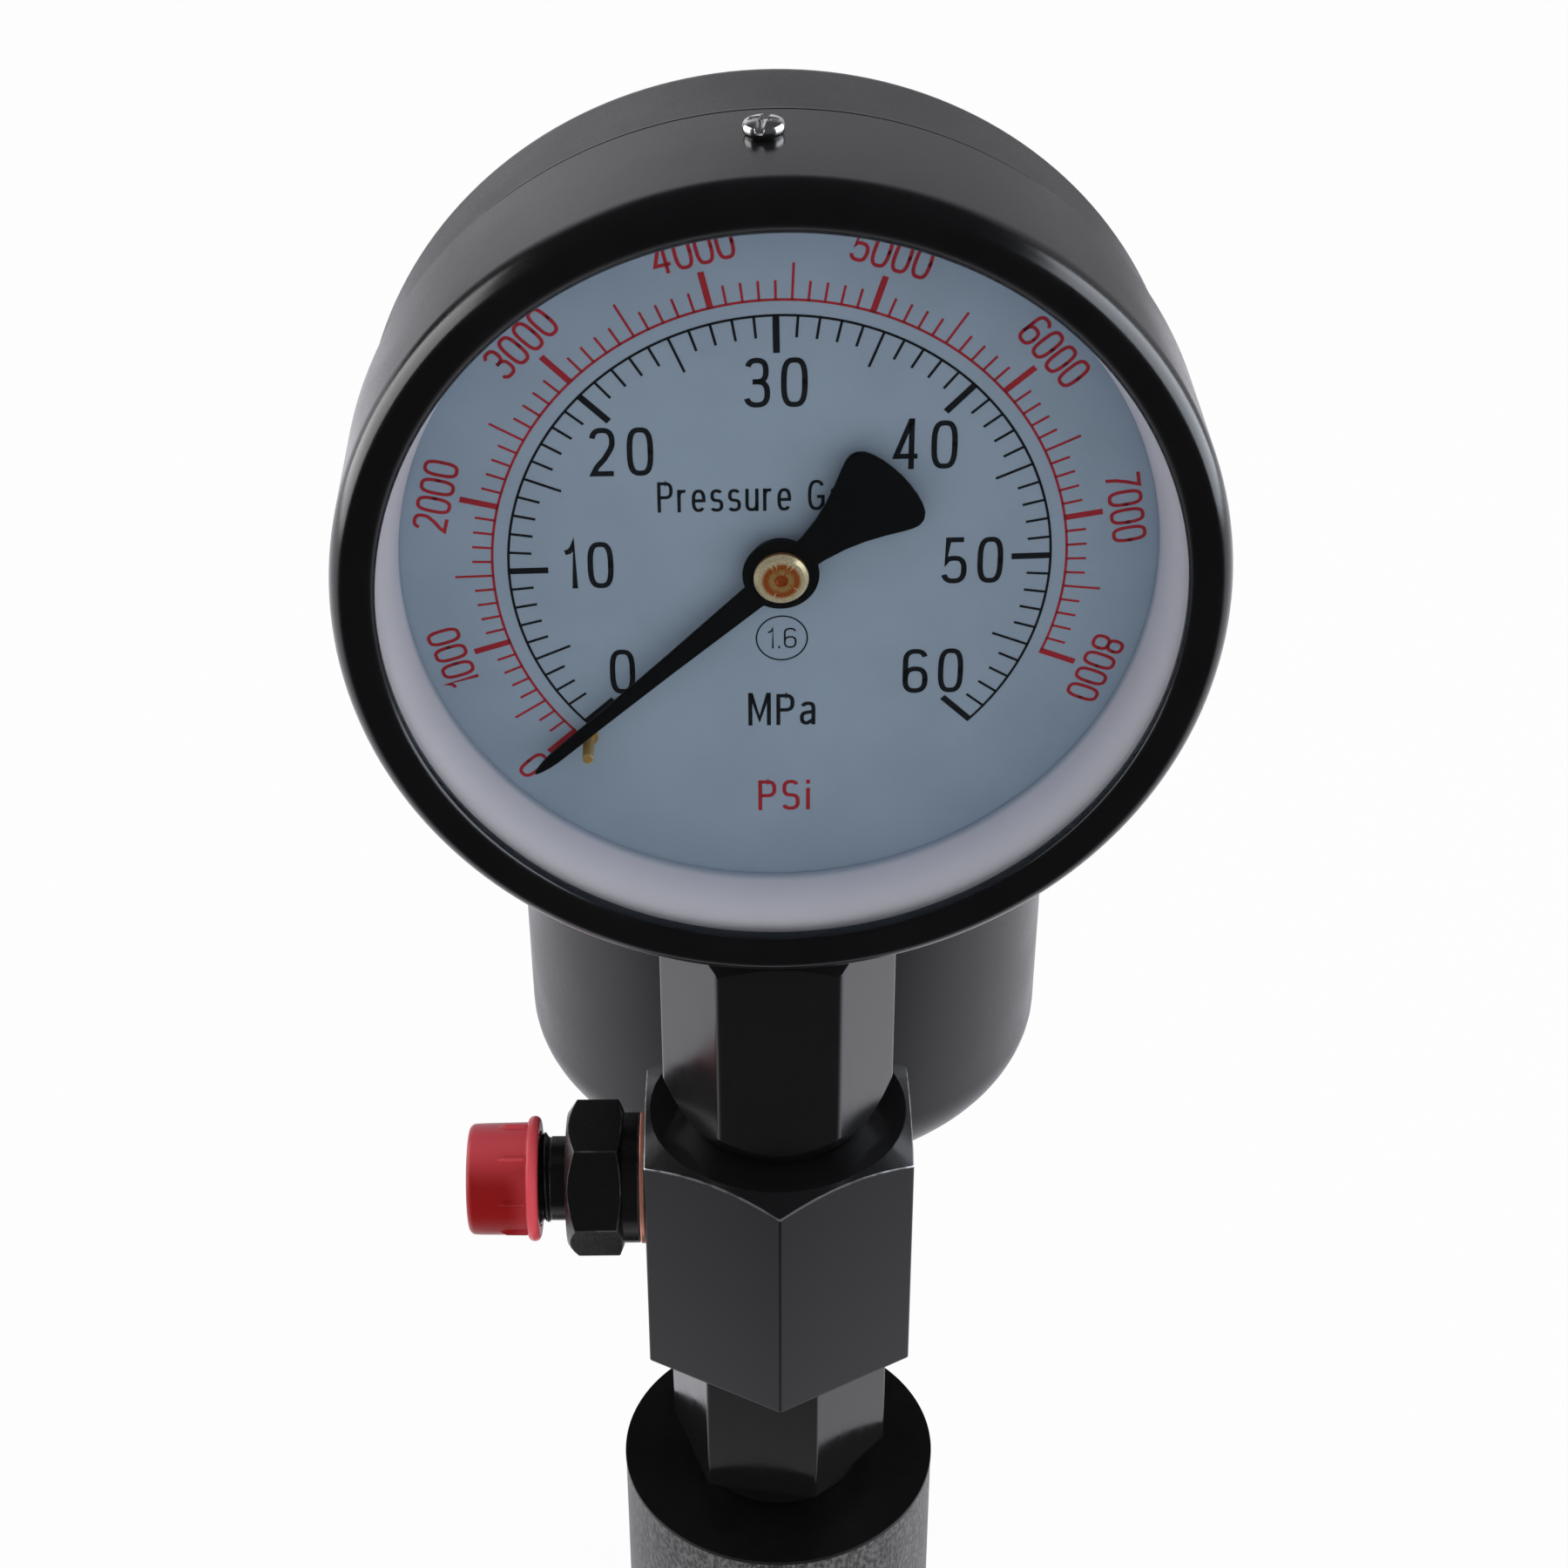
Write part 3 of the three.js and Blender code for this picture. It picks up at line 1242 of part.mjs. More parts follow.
function pointerOutline() {
  const [cornerX, cornerY] = polar(pointerTailRadius, Math.PI - pointerTailHalfAngle);
  const flankSteps = 5;
  const flank = [];
  for (let i = 1; i <= flankSteps; i++) {
    const t = i / flankSteps;
    const x = -pointerTailNeckAt + (cornerX + pointerTailNeckAt) * t;
    flank.push([x, pointerTailNeckHalfWidth + (cornerY - pointerTailNeckHalfWidth) * t * t]);
  }
  const hubFrom = Math.asin(pointerBladeRootHalfWidth / pointerHubRadius);
  const hubTo = Math.PI - Math.asin(pointerTailNeckHalfWidth / pointerHubRadius);
  const tailFrom = Math.PI - pointerTailRoundShare * pointerTailHalfAngle;
  const upper = [
    [pointerTip, 0],
    [pointerTip - pointerBladeEndHalfWidth, pointerPointShare * pointerBladeEndHalfWidth],
    [pointerTaperEnd, pointerBladeEndHalfWidth],
    ...arc([0, 0], pointerHubRadius, hubFrom, hubTo, 8),
    ...flank,
    ...arc([0, 0], pointerTailRadius, tailFrom, Math.PI, 3),
  ];
  const lower = upper.slice(1, -1).reverse().map(([x, y]) => [x, -y]);
  return [...upper, ...lower];
}

function stopPinPlace() {
  const taper = (pointerBladeEndHalfWidth - pointerBladeRootHalfWidth) / pointerTaperEnd;
  const bladeHalf = pointerBladeRootHalfWidth + taper * stopPinReach;
  const aside = Math.asin((bladeHalf + stopPinRadius + seatGap) / stopPinReach);
  const [x, z] = polar(stopPinReach, pointerRestAngle + aside);
  return [x, 0, z];
}

function addPointer(gauge) {
  const turning = new THREE.Group();
  turning.rotation.y = -pointerRestAngle;
  gauge.add(turning);
  const front = pointerBack - pointerThickness;
  const blade = prismAlongY(pointerOutline(), front, pointerBack);
  const boss = rodAlongY(pointerBossRadius, pointerBack, -pointerBossGap, smallSides);
  const hole = rodAlongY(arborRadius + fitGap, front - overrun, 0, tinySides);
  addPiece(turning, 'pointer', blade.add(boss).subtract(hole), materials.pointerBlack);
  const capBack = front - 2 * seatGap;
  const capFront = capBack - pointerCapHeight;
  const cap = turnedAboutY([
    [0, capBack],
    [pointerBossRadius, capBack],
    [pointerBossRadius, capFront + pointerCapBevel],
    [pointerBossRadius - pointerCapBevel, capFront],
    [0, capFront],
  ], smallSides);
  addPiece(turning, 'pointer_cap', cap, materials.brass);
  const pin = turnedAboutY([
    [0, dialThickness],
    [stopPinRadius, dialThickness],
    [stopPinRadius, -seatGap],
    [stopCollarRadius, -seatGap],
    [stopCollarRadius, -stopCollarHeight],
    [stopPinRadius, -stopCollarHeight],
    [stopPinRadius, -stopPinLength],
    [0, -stopPinLength],
  ], tinySides);
  const piece = addPiece(gauge, 'stop_pin', pin, materials.brass);
  piece.position.set(...stopPinPlace());
}

// Screwed up tight, the gauge comes to rest with its dial turned a little past the lever's plane
function addGauge(group) {
  const screwedUp = new THREE.Group();
  screwedUp.rotation.z = gaugeTurn;
  group.add(screwedUp);
  const gauge = new THREE.Group();
  gauge.position.set(0, -dialAhead, gaugeZ);
  screwedUp.add(gauge);
  addGaugeShell(gauge);
  addGaugeWorks(gauge);
  addPointer(gauge);
}

// Reservoir: z = 0 at the cup's underside

function cupProfile(wall) {
  const outline = [];
  for (let i = 0; i <= cupFootSteps; i++) {
    const [across, down] = polar(1, (Math.PI / 2) * (1 - i / cupFootSteps));
    const radius = cupFootRadius + (cupRadius - wall - cupFootRadius) * across;
    outline.push([radius, cupFootRise - (cupFootRise - wall) * down]);
  }
  outline.push([cupTopRadius - wall, cupHeight]);
  return outline;
}

function reservoirCup() {
  const outer = cupProfile(0);
  const inner = cupProfile(cupWall).reverse();
  const bead = arc([cupTopRadius, cupHeight - cupBeadRadius], cupBeadRadius, -Math.PI / 2, Math.PI / 2, 3);
  const profile = [[0, 0], ...outer.slice(0, -1), ...bead, ...inner, [0, cupWall], [0, 0]];
  return turned(profile, ringSides).subtract(rod(hollowBoltRadius + fitGap, -overrun, cupWall + overrun));
}

function reservoirLid() {
  const inner = cupTopRadius + cupBeadRadius + fitGap;
  const outer = inner + lidThickness;
  const low = cupHeight + seatGap;
  const edge = low + lidThickness;
  return turned([
    [0, low],
    [inner, low],
    [inner, edge - lidRimDepth],
    [outer, edge - lidRimDepth],
    [outer, edge],
    [outer - lidShoulderWidth, edge + lidShoulderShare * lidDome],
    [lidCrownShare * outer, edge + lidDome],
    [0, edge + lidDome],
  ], ringSides);
}

function lidKnob() {
  const low = cupHeight + lidThickness + lidDome + 2 * seatGap;
  const high = low + knobHeight;
  return turned([
    [0, low],
    [knobFootShare * knobRadius, low],
    [knobWaistShare * knobRadius, low + knobWaistHeightShare * knobHeight],
    [knobRadius, low + knobBellyHeightShare * knobHeight],
    [knobRadius, high - knobTopRoundShare * knobRadius],
    [knobTopShare * knobRadius, high],
    [0, high],
  ], smallSides);
}

function hollowBolt() {
  const headLow = cupWall + boltSealThickness + 2 * seatGap;
  const head = hexBar(hollowBoltFlats, headLow, headLow + hollowBoltHeadHeight);
  const shank = rod(hollowBoltRadius, headLow - hollowBoltLength, headLow);
  const drillEnd = headLow + hollowBoltHeadHeight + overrun;
  const drill = rod(drillRadius, headLow - hollowBoltLength - overrun, drillEnd, tinySides);
  return shank.add(head).subtract(drill);
}

function strainer() {
  const low = cupWall + seatGap;
  const high = low + strainerHeight;
  let basket = turned([
    [strainerRadius - strainerWall, low],
    [strainerRadius, low],
    [strainerRadius, high],
    [0, high],
    [0, high - strainerWall],
    [strainerRadius - strainerWall, high - strainerWall],
    [strainerRadius - strainerWall, low],
  ], smallSides);
  const window = slab(0, strainerRadius + overrun, -strainerWindowHalfWidth, strainerWindowHalfWidth,
    low + strainerWindowMargin, high - strainerWindowMargin);
  for (let i = 0; i < strainerWindows; i++) {
    basket = basket.subtract(window.rotate([0, 0, (360 * i) / strainerWindows]));
  }
  return basket;
}

function addReservoir(group) {
  const reservoir = new THREE.Group();
  reservoir.position.set(0, reservoirY, cupBottom);
  group.add(reservoir);
  const sealHigh = -seatGap;
  const sealBore = hollowBoltRadius + fitGap;
  const cupSeal = ringProfile(sealBore, cupFootRadius, sealHigh - cupSealThickness, sealHigh);
  const boltSealLow = cupWall + seatGap;
  const boltSealHigh = boltSealLow + boltSealThickness;
  const boltSeal = ringProfile(sealBore, hollowBoltFlats / 2, boltSealLow, boltSealHigh);
  addPiece(reservoir, 'reservoir_cup', reservoirCup(), materials.darkPaint);
  addPiece(reservoir, 'reservoir_seal', turned(cupSeal), materials.sealRubber);
  addPiece(reservoir, 'reservoir_bolt', hollowBolt(), materials.brightSteel);
  addPiece(reservoir, 'bolt_seal', turned(boltSeal), materials.copper);
  addPiece(reservoir, 'strainer', strainer(), materials.brass);
  addPiece(reservoir, 'reservoir_lid', reservoirLid(), materials.darkPaint);
  addPiece(reservoir, 'lid_knob', lidKnob(), materials.gripRubber);
}

// Lever: y runs along the rod, and the nose under the tappet points the other way

function leverArm() {
  const [ny, nz] = polar(noseReach, noseAngle);
  const [cos, sin] = polar(1, noseAngle);
  const at = (along, up) => [cos * along + sin * up, sin * along - cos * up];
  const web = prismAlongX([
    at(0, -leverHubRadius),
    at(noseReach, -noseTipRadius),
    at(noseReach, noseOverLine),
    at(0, noseOverLine),
  ], -leverHalfWidth, leverHalfWidth);
  const tip = rodAlongX(noseTipRadius, -leverHalfWidth, leverHalfWidth).translate([0, ny, nz]);
  const hub = rodAlongX(leverHubRadius, -leverHalfWidth, leverHalfWidth, roundSides);
  const socketFloor = rodSocketEnd - rodDepth;
  const neck = slab(-leverHalfWidth, leverHalfWidth, 0, socketFloor, -leverHalfWidth, leverHalfWidth);
  const sleeve = rodAlongY(rodSocketRadius, rodSocketStart, rodSocketEnd);
  const forkHalf = rollerHalfWidth + fitGap;
  const fork = rodAlongX(rollerRadius + 2 * fitGap, -forkHalf, forkHalf).translate([0, ny, nz]);
  const socket = rodAlongY(rodRadius + fitGap, socketFloor, rodSocketEnd + overrun);
  const screwHole = rod(rodScrewRadius + fitGap, rodRadius - fitGap, rodSocketRadius + overrun, tinySides);
  const reach = leverHalfWidth + overrun;
  return hub.add(web).add(tip).add(neck).add(sleeve)
    .subtract(fork)
    .subtract(socket)
    .subtract(screwHole.translate([0, rodScrewAt, 0]))
    .subtract(rodAlongX(pivotPinRadius + fitGap, -reach, reach))
    .subtract(rodAlongX(rollerPinRadius + seatGap, -reach, reach, tinySides).translate([0, ny, nz]));
}

function leverGrip() {
  const bore = rodRadius + fitGap;
  return turnedAboutY([
    [bore, gripStart],
    [gripRadius - gripEndRound / 2, gripStart],
    [gripRadius, gripStart + gripEndRound],
    ...arc([gripRadius - gripEndRound, gripEnd - gripEndRound], gripEndRound, 0, Math.PI / 2, 3),
    [0, gripEnd],
    [0, gripEnd - gripEndWall],
    [bore, gripEnd - gripEndWall],
    [bore, gripStart],
  ], roundSides);
}

function rodScrew() {
  const headLow = rodSocketRadius + seatGap;
  const head = hexBar(rodScrewFlats, headLow, headLow + rodScrewHeadHeight);
  const shank = rod(rodScrewRadius, rodRadius + seatGap, headLow, tinySides);
  return head.add(shank).translate([0, rodScrewAt, 0]);
}

function addLever(group) {
  const lever = new THREE.Group();
  lever.position.set(0, pivotY, pivotZ);
  lever.rotation.x = leverRest;
  group.add(lever);
  const [ny, nz] = polar(noseReach, noseAngle);
  const tread = ringProfile(rollerPinRadius + fitGap, rollerRadius, -rollerHalfWidth, rollerHalfWidth);
  const roller = turnedAboutX(tread);
  const leverRod = rodAlongY(rodRadius, rodSocketEnd - rodDepth + seatGap, rodEnd);
  const pin = rodAlongX(rollerPinRadius, -leverHalfWidth, leverHalfWidth, tinySides);
  addPiece(lever, 'lever_arm', leverArm(), materials.blackSteel);
  addPiece(lever, 'nose_roller', roller.translate([0, ny, nz]), materials.brightSteel);
  addPiece(lever, 'roller_pin', pin.translate([0, ny, nz]), materials.brightSteel);
  addPiece(lever, 'lever_rod', leverRod, materials.nickel);
  addPiece(lever, 'lever_grip', leverGrip(), materials.gripRubber);
  addPiece(lever, 'rod_screw', rodScrew(), materials.nickel);
}

// Pivot pin through the cheeks, with a clip in a groove at each end
function addPivot(group) {
  const pivot = new THREE.Group();
  pivot.position.set(0, pivotY, pivotZ);
  group.add(pivot);
  const grooveNear = cheekHalfWidth + seatGap;
  const grooveFar = grooveNear + clipThickness + 2 * seatGap;
  const end = cheekHalfWidth + pivotPinOverhang;
  const core = pivotPinRadius - clipGrooveDepth;
  const pin = turnedAboutX([
    [0, -end], [pivotPinRadius, -end], [pivotPinRadius, -grooveFar], [core, -grooveFar], [core, -grooveNear],
    [pivotPinRadius, -grooveNear], [pivotPinRadius, grooveNear], [core, grooveNear], [core, grooveFar],
    [pivotPinRadius, grooveFar], [pivotPinRadius, end], [0, end],
  ]);
  addPiece(pivot, 'pivot_pin', pin, materials.brightSteel);
  const mouth = slab(-overrun, 2 * overrun, -clipMouthHalfWidth, clipMouthHalfWidth, 0, clipRadius + overrun);
  const ring = turnedAboutX(ringProfile(core + seatGap, clipRadius, seatGap, seatGap + clipThickness));
  const clip = ring.subtract(mouth);
  addPiece(pivot, 'pivot_clip_right', clip, materials.springSteel).position.set(grooveNear, 0, 0);
  addPiece(pivot, 'pivot_clip_left', clip, materials.springSteel).position.set(-grooveFar, 0, 0);
}

const tester = new THREE.Group();
addPiece(tester, 'pump_housing', pumpHousing(), materials.castPaint);
addPumpElement(tester);
addPivot(tester);
addLever(tester);
addFittings(tester);
addOutlet(tester);
addGauge(tester);
addReservoir(tester);

export default tester;
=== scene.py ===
"""Dressed model of a hand-operated diesel injector tester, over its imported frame."""

import logging
import math
from collections.abc import Callable, Sequence
from dataclasses import dataclass, field, replace
from enum import Enum

import bmesh
import bpy
import numpy as np
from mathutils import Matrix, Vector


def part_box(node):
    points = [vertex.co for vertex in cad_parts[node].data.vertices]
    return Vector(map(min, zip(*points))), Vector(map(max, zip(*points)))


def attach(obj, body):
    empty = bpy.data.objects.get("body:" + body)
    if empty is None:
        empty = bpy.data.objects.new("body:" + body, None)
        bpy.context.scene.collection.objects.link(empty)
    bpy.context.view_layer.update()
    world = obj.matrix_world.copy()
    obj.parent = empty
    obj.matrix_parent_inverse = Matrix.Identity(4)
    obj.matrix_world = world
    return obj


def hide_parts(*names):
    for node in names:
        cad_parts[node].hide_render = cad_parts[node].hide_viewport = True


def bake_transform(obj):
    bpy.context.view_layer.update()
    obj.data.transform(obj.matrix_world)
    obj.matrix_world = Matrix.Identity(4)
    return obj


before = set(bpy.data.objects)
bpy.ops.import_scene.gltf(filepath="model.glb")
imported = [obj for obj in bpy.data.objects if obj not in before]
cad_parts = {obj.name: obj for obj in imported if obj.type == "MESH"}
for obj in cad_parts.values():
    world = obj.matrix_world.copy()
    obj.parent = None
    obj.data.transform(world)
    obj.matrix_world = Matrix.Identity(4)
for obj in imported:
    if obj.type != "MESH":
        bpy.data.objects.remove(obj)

LOG = logging.getLogger("tester")
MM = 0.001
FULL_TURN = 2.0 * math.pi
ROD_TILT = math.radians(30.0)
PRINT_THICK = 0.03

Row = tuple
Tone = tuple[float, float, float]
Colour = tuple[float, float, float, float]
WHITE: Colour = (1.0, 1.0, 1.0, 1.0)


class Along(Enum):
    """The way a piece's length points, as the directions that its x, y and z take."""

    FRONT = ((1, 0, 0), (0, 0, 1), (0, -1, 0))
    BACK = ((1, 0, 0), (0, 0, -1), (0, 1, 0))
    REAR_SCREW = ((-1, 0, 0), (0, 0, 1), (0, 1, 0))
    LEFT = ((0, -1, 0), (0, 0, 1), (-1, 0, 0))
    RIGHT = ((0, 1, 0), (0, 0, 1), (1, 0, 0))
    ROD = (
        (1, 0, 0),
        (0, math.sin(ROD_TILT), -math.cos(ROD_TILT)),
        (0, math.cos(ROD_TILT), math.sin(ROD_TILT)),
    )

    def turn(self) -> np.ndarray:
        """Give the turn whose columns are the three directions."""
        return np.array(self.value, float).T


# Shader sheets


class Signal:
    """One output of a shader sheet; arithmetic on it adds Math nodes."""

    def __init__(self, sheet: "Sheet", socket: bpy.types.NodeSocket) -> None:
        """Keep the sheet and the socket that carries the value."""
        self.sheet = sheet
        self.socket = socket

    def _maths(self, operation: str, first: object, second: object) -> "Signal":
        """Add one Math node that works on two values or signals."""
        settings = {"operation": operation}
        return self.sheet.node("ShaderNodeMath", settings, {0: first, 1: second})

    def __add__(self, other: object) -> "Signal":
        """Sum."""
        return self._maths("ADD", self, other)

    def __radd__(self, other: object) -> "Signal":
        """Sum, the number first."""
        return self._maths("ADD", other, self)

    def __sub__(self, other: object) -> "Signal":
        """Difference."""
        return self._maths("SUBTRACT", self, other)

    def __rsub__(self, other: object) -> "Signal":
        """Difference, the number first."""
        return self._maths("SUBTRACT", other, self)

    def __mul__(self, other: object) -> "Signal":
        """Product."""
        return self._maths("MULTIPLY", self, other)

    def __rmul__(self, other: object) -> "Signal":
        """Product, the number first."""
        return self._maths("MULTIPLY", other, self)

    def at_least(self, other: object) -> "Signal":
        """The larger of the two."""
        return self._maths("MAXIMUM", self, other)

    def ramp(self, low: float, high: float) -> "Signal":
        """Run smoothly from 0 at the low value to 1 at the high one."""
        settings = {"interpolation_type": "SMOOTHSTEP"}
        return self.sheet.node("ShaderNodeMapRange", settings, {0: self, 1: low, 2: high})


class Sheet:
    """The node sheet of one material, or of the surroundings."""

    def __init__(self, name: str, world: bpy.types.World | None = None) -> None:
        """Start an empty sheet.

        Args:
            name: name of the new material.
            world: the surroundings, where the sheet belongs to them.
        """
        self.owner = world or bpy.data.materials.new(name)
        self.owner.use_nodes = True
        self.tree = self.owner.node_tree
        self.tree.nodes.clear()

    def node(
        self,
        kind: str,
        settings: dict | None = None,
        sockets: dict | None = None,
        out: int | str | None = 0,
    ) -> Signal | None:
        """Add any node, with its settings first and its sockets after them.

        Args:
            kind: Blender's name of the node type.
            settings: the node's own settings.
            sockets: values or signals, by socket name or number.
            out: name or number of the output that is wanted, or nothing.

        Returns:
            The signal of that output, or nothing.
        """
        made = self.tree.nodes.new(kind)
        for name, value in (settings or {}).items():
            setattr(made, name, value)
        for name, value in (sockets or {}).items():
            if isinstance(value, Signal):
                self.tree.links.new(value.socket, made.inputs[name])
            else:
                made.inputs[name].default_value = value
        return None if out is None else Signal(self, made.outputs[out])

    def place(self, stretch: Tone = (1.0, 1.0, 1.0)) -> Signal:
        """Give Object coordinates in millimetres.

        Args:
            stretch: how much faster a pattern runs along x, y and z.

        Returns:
            The vector signal.
        """
        coordinates = self.node("ShaderNodeTexCoord", out="Object")
        scale = tuple(1.0 / MM * share for share in stretch)
        return self.node("ShaderNodeMapping", None, {"Vector": coordinates, "Scale": scale})

    def part(self, vector: Signal, axis: int) -> Signal:
        """Give one coordinate of a vector: 0 for x, 1 for y and 2 for z."""
        return self.node("ShaderNodeSeparateXYZ", None, {0: vector}, axis)

    def edge(self) -> Signal:
        """Give the share of edge that the points of a piece carry; on the brass cap, the red cap and the
        white spacer it is a share of painted light.
        """
        return self.node("ShaderNodeAttribute", {"attribute_name": "edge"}, None, "Fac")

    def ray(self, kind: str) -> Signal:
        """Tell whether a ray is of a kind: 1 if it is and 0 if not."""
        return self.node("ShaderNodeLightPath", out=f"Is {kind} Ray")

    def noise(self, where: Signal, scale: float, detail: float) -> Signal:
        """Add a noise pattern, about 0.3 to 0.7, of a number of lumps in a millimetre."""
        values = {"Vector": where, "Scale": scale, "Detail": detail}
        return self.node("ShaderNodeTexNoise", None, values)

    def blend(self, share: object, first: object, second: object) -> Signal:
        """Mix two colours by the share of the second."""
        settings = {"data_type": "RGBA"}
        return self.node("ShaderNodeMix", settings, {0: share, 6: first, 7: second}, 2)

    def clouded(self, clouds: Signal, colour: Colour, spread: float) -> Signal:
        """Make a colour darker and lighter by a spread, as the clouds go from 0 to 1."""
        return self.blend(clouds, shaded(colour, 1.0 - spread), shaded(colour, 1.0 + spread))

    def dent(self, height: Signal, depth: float, strength: float) -> Signal:
        """Turn a height pattern, as deep in millimetres as given, into a bent normal."""
        values = {"Height": height, "Distance": depth * MM, "Strength": strength}
        return self.node("ShaderNodeBump", None, values)

    def close(self, shader: Signal, kind: str = "Material") -> None:
        """Send a shader to the output of the sheet."""
        self.node(f"ShaderNodeOutput{kind}", None, {"Surface": shader}, None)

    def surface(self, sockets: dict) -> bpy.types.Material:
        """Close the sheet with a surface shader that has these sockets."""
        self.close(self.node("ShaderNodeBsdfPrincipled", None, sockets))
        return self.owner


def tone(red: float, green: float, blue: float) -> Colour:
    """Turn a colour as a screen shows it into the light that it gives.

    The light is the 0 to 1 value bent by the screen's own curve.

    Args:
        red: 0 to 255.
        green: 0 to 255.
        blue: 0 to 255.

    Returns:
        Red, green, blue and a full alpha.
    """
    value = np.array([red, green, blue]) / 255.0
    light = np.where(value <= 0.04045, value / 12.92, ((value + 0.055) / 1.055) ** 2.4)
    return (float(light[0]), float(light[1]), float(light[2]), 1.0)


def shaded(colour: Sequence[float], share: float) -> Colour:
    """Make a colour lighter or darker by a share."""
    return (colour[0] * share, colour[1] * share, colour[2] * share, 1.0)


# Finishes


@dataclass(frozen=True)
class Coated:
    """A smooth coat of paint, plastic or rubber with faint clouds and fine grain."""

    name: str
    colour: Colour
    roughness: float = 0.4
    gloss: float = 0.5
    cloud: float = 0.12
    grain: float = 0.5
    depth: float = 0.004
    grain_scale: float = 2.5

    def make(self) -> bpy.types.Material:
        """Build the node sheet of the finish.

        Returns:
            The material.
        """
        sheet = Sheet(self.name)
        where = sheet.place()
        clouds = sheet.noise(where, 0.09, 3.0).ramp(0.3, 0.7)
        fine = sheet.noise(where, self.grain_scale, 3.0)
        values = {
            "Base Color": sheet.clouded(clouds, self.colour, self.cloud),
            "Roughness": self.roughness + (fine - 0.5) * 0.16 + (clouds - 0.5) * 0.05,
            "Specular IOR Level": self.gloss,
            "Normal": sheet.dent(fine, self.depth, self.grain),
        }
        return sheet.surface(values)


@dataclass(frozen=True)
class Steel:
    """Steel with a ground grain, a darkened skin and bright worn edges."""

    name: str
    colour: Colour
    roughness: float = 0.38
    gloss: float = 0.3
    metal: float = 0.0
    stretch: Tone = (1.0, 1.0, 0.05)
    grain_scale: float = 1.6
    depth: float = 0.002
    wear: float = 0.5
    bright: Colour = (0.42, 0.42, 0.43, 1.0)
    cloud: float = 0.12

    def make(self) -> bpy.types.Material:
        """Build the node sheet of the finish.

        Returns:
            The material.
        """
        sheet = Sheet(self.name)
        where = sheet.place()
        lines = sheet.noise(sheet.place(self.stretch), self.grain_scale, 4.0)
        clouds = sheet.noise(where, 0.12, 4.0).ramp(0.3, 0.7)
        skin = clouds * 0.6 + lines.ramp(0.35, 0.65) * 0.4
        base = sheet.clouded(skin, self.colour, self.cloud)
        patch = sheet.noise(where, 0.35, 5.0).ramp(0.38, 0.58)
        rub = sheet.edge().ramp(0.35, 0.95) * (patch * 0.75 + 0.25) * self.wear
        values = {
            "Base Color": sheet.blend(rub, base, self.bright),
            "Roughness": self.roughness + (lines - 0.5) * 0.12 + (clouds - 0.5) * 0.05,
            "Metallic": self.metal + rub * (1.0 - self.metal),
            "Specular IOR Level": self.gloss,
            "Normal": sheet.dent(lines, self.depth, 0.6),
        }
        return sheet.surface(values)


@dataclass(frozen=True)
class WrinklePaint:
    """Thick stove paint on a casting, drawn up in short wrinkles, its crests painted lighter as a painted
    highlight and its pits darker as painted shade.
    """

    name: str
    colour: Colour
    crest_highlight: Colour
    roughness: float = 0.42
    gloss: float = 0.5
    wrinkle: float = 1.7

    def make(self) -> bpy.types.Material:
        """Build the node sheet of the finish.

        Returns:
            The material.
        """
        sheet = Sheet(self.name)
        where = sheet.place()
        lumps = sheet.noise(sheet.place((1.0, 1.0, 0.55)), self.wrinkle, 5.0)
        ridges = lumps.ramp(0.38, 0.64)
        clouds = sheet.noise(where, 0.1, 3.0).ramp(0.3, 0.7)
        cast = sheet.noise(where, 0.25, 3.0)
        values = {
            # painted highlight on the wrinkles' crests and painted shade in their pits, over a little random
            # cloud
            "Base Color": sheet.blend(ridges * 0.8 + clouds * 0.2, self.colour, self.crest_highlight),
            "Roughness": self.roughness + (lumps - 0.5) * 0.3,
            "Specular IOR Level": self.gloss,
            "Normal": sheet.dent(ridges * 0.7 + cast * 0.9, 0.16, 0.8),
        }
        return sheet.surface(values)


@dataclass(frozen=True)
class Moulded:
    """Moulded plastic whose colour is blended towards a second colour by its share of edge, which carries
    painted light: painted shade on the white spacer, painted highlight on the red cap.
    """

    name: str
    colour: Colour
    painted_light_colour: Colour
    roughness: float = 0.5
    gloss: float = 0.3

    def make(self) -> bpy.types.Material:
        """Build the node sheet of the finish.

        Returns:
            The material.
        """
        sheet = Sheet(self.name)
        clouds = sheet.noise(sheet.place(), 0.12, 3.0)
        plain = sheet.clouded(clouds, self.colour, 0.03)
        values = {
            # painted light by the share of edge: painted shade on the spacer, painted highlight on the red
            # cap
            "Base Color": sheet.blend(sheet.edge().ramp(0.0, 1.0), plain, self.painted_light_colour),
            "Roughness": self.roughness + (clouds - 0.5) * 0.1,
            "Specular IOR Level": self.gloss,
        }
        return sheet.surface(values)


@dataclass(frozen=True)
class Lathed:
    """Turned brass: fine grain on the face, a bevel painted bright as a painted highlight and a centre
    dimple painted warm orange as a painted reflection.
    """

    name: str
    face: Colour
    bevel: Colour
    dimple: Colour

    def make(self) -> bpy.types.Material:
        """Build the node sheet of the finish.

        Returns:
            The material.
        """
        sheet = Sheet(self.name)
        mark = sheet.edge()
        fine = sheet.noise(sheet.place(), 6.0, 3.0)
        # painted warm reflection in the dimple, then a painted highlight on the bevel, both by the share of
        # edge
        warm = sheet.blend(mark.ramp(0.2, 0.45), self.face, self.dimple)
        values = {
            "Base Color": sheet.blend(mark.ramp(0.6, 0.9), warm, self.bevel),
            "Roughness": 0.3 + (fine - 0.5) * 0.3,
            "Metallic": 0.6,
            "Normal": sheet.dent(fine, 0.006, 0.8),
        }
        return sheet.surface(values)


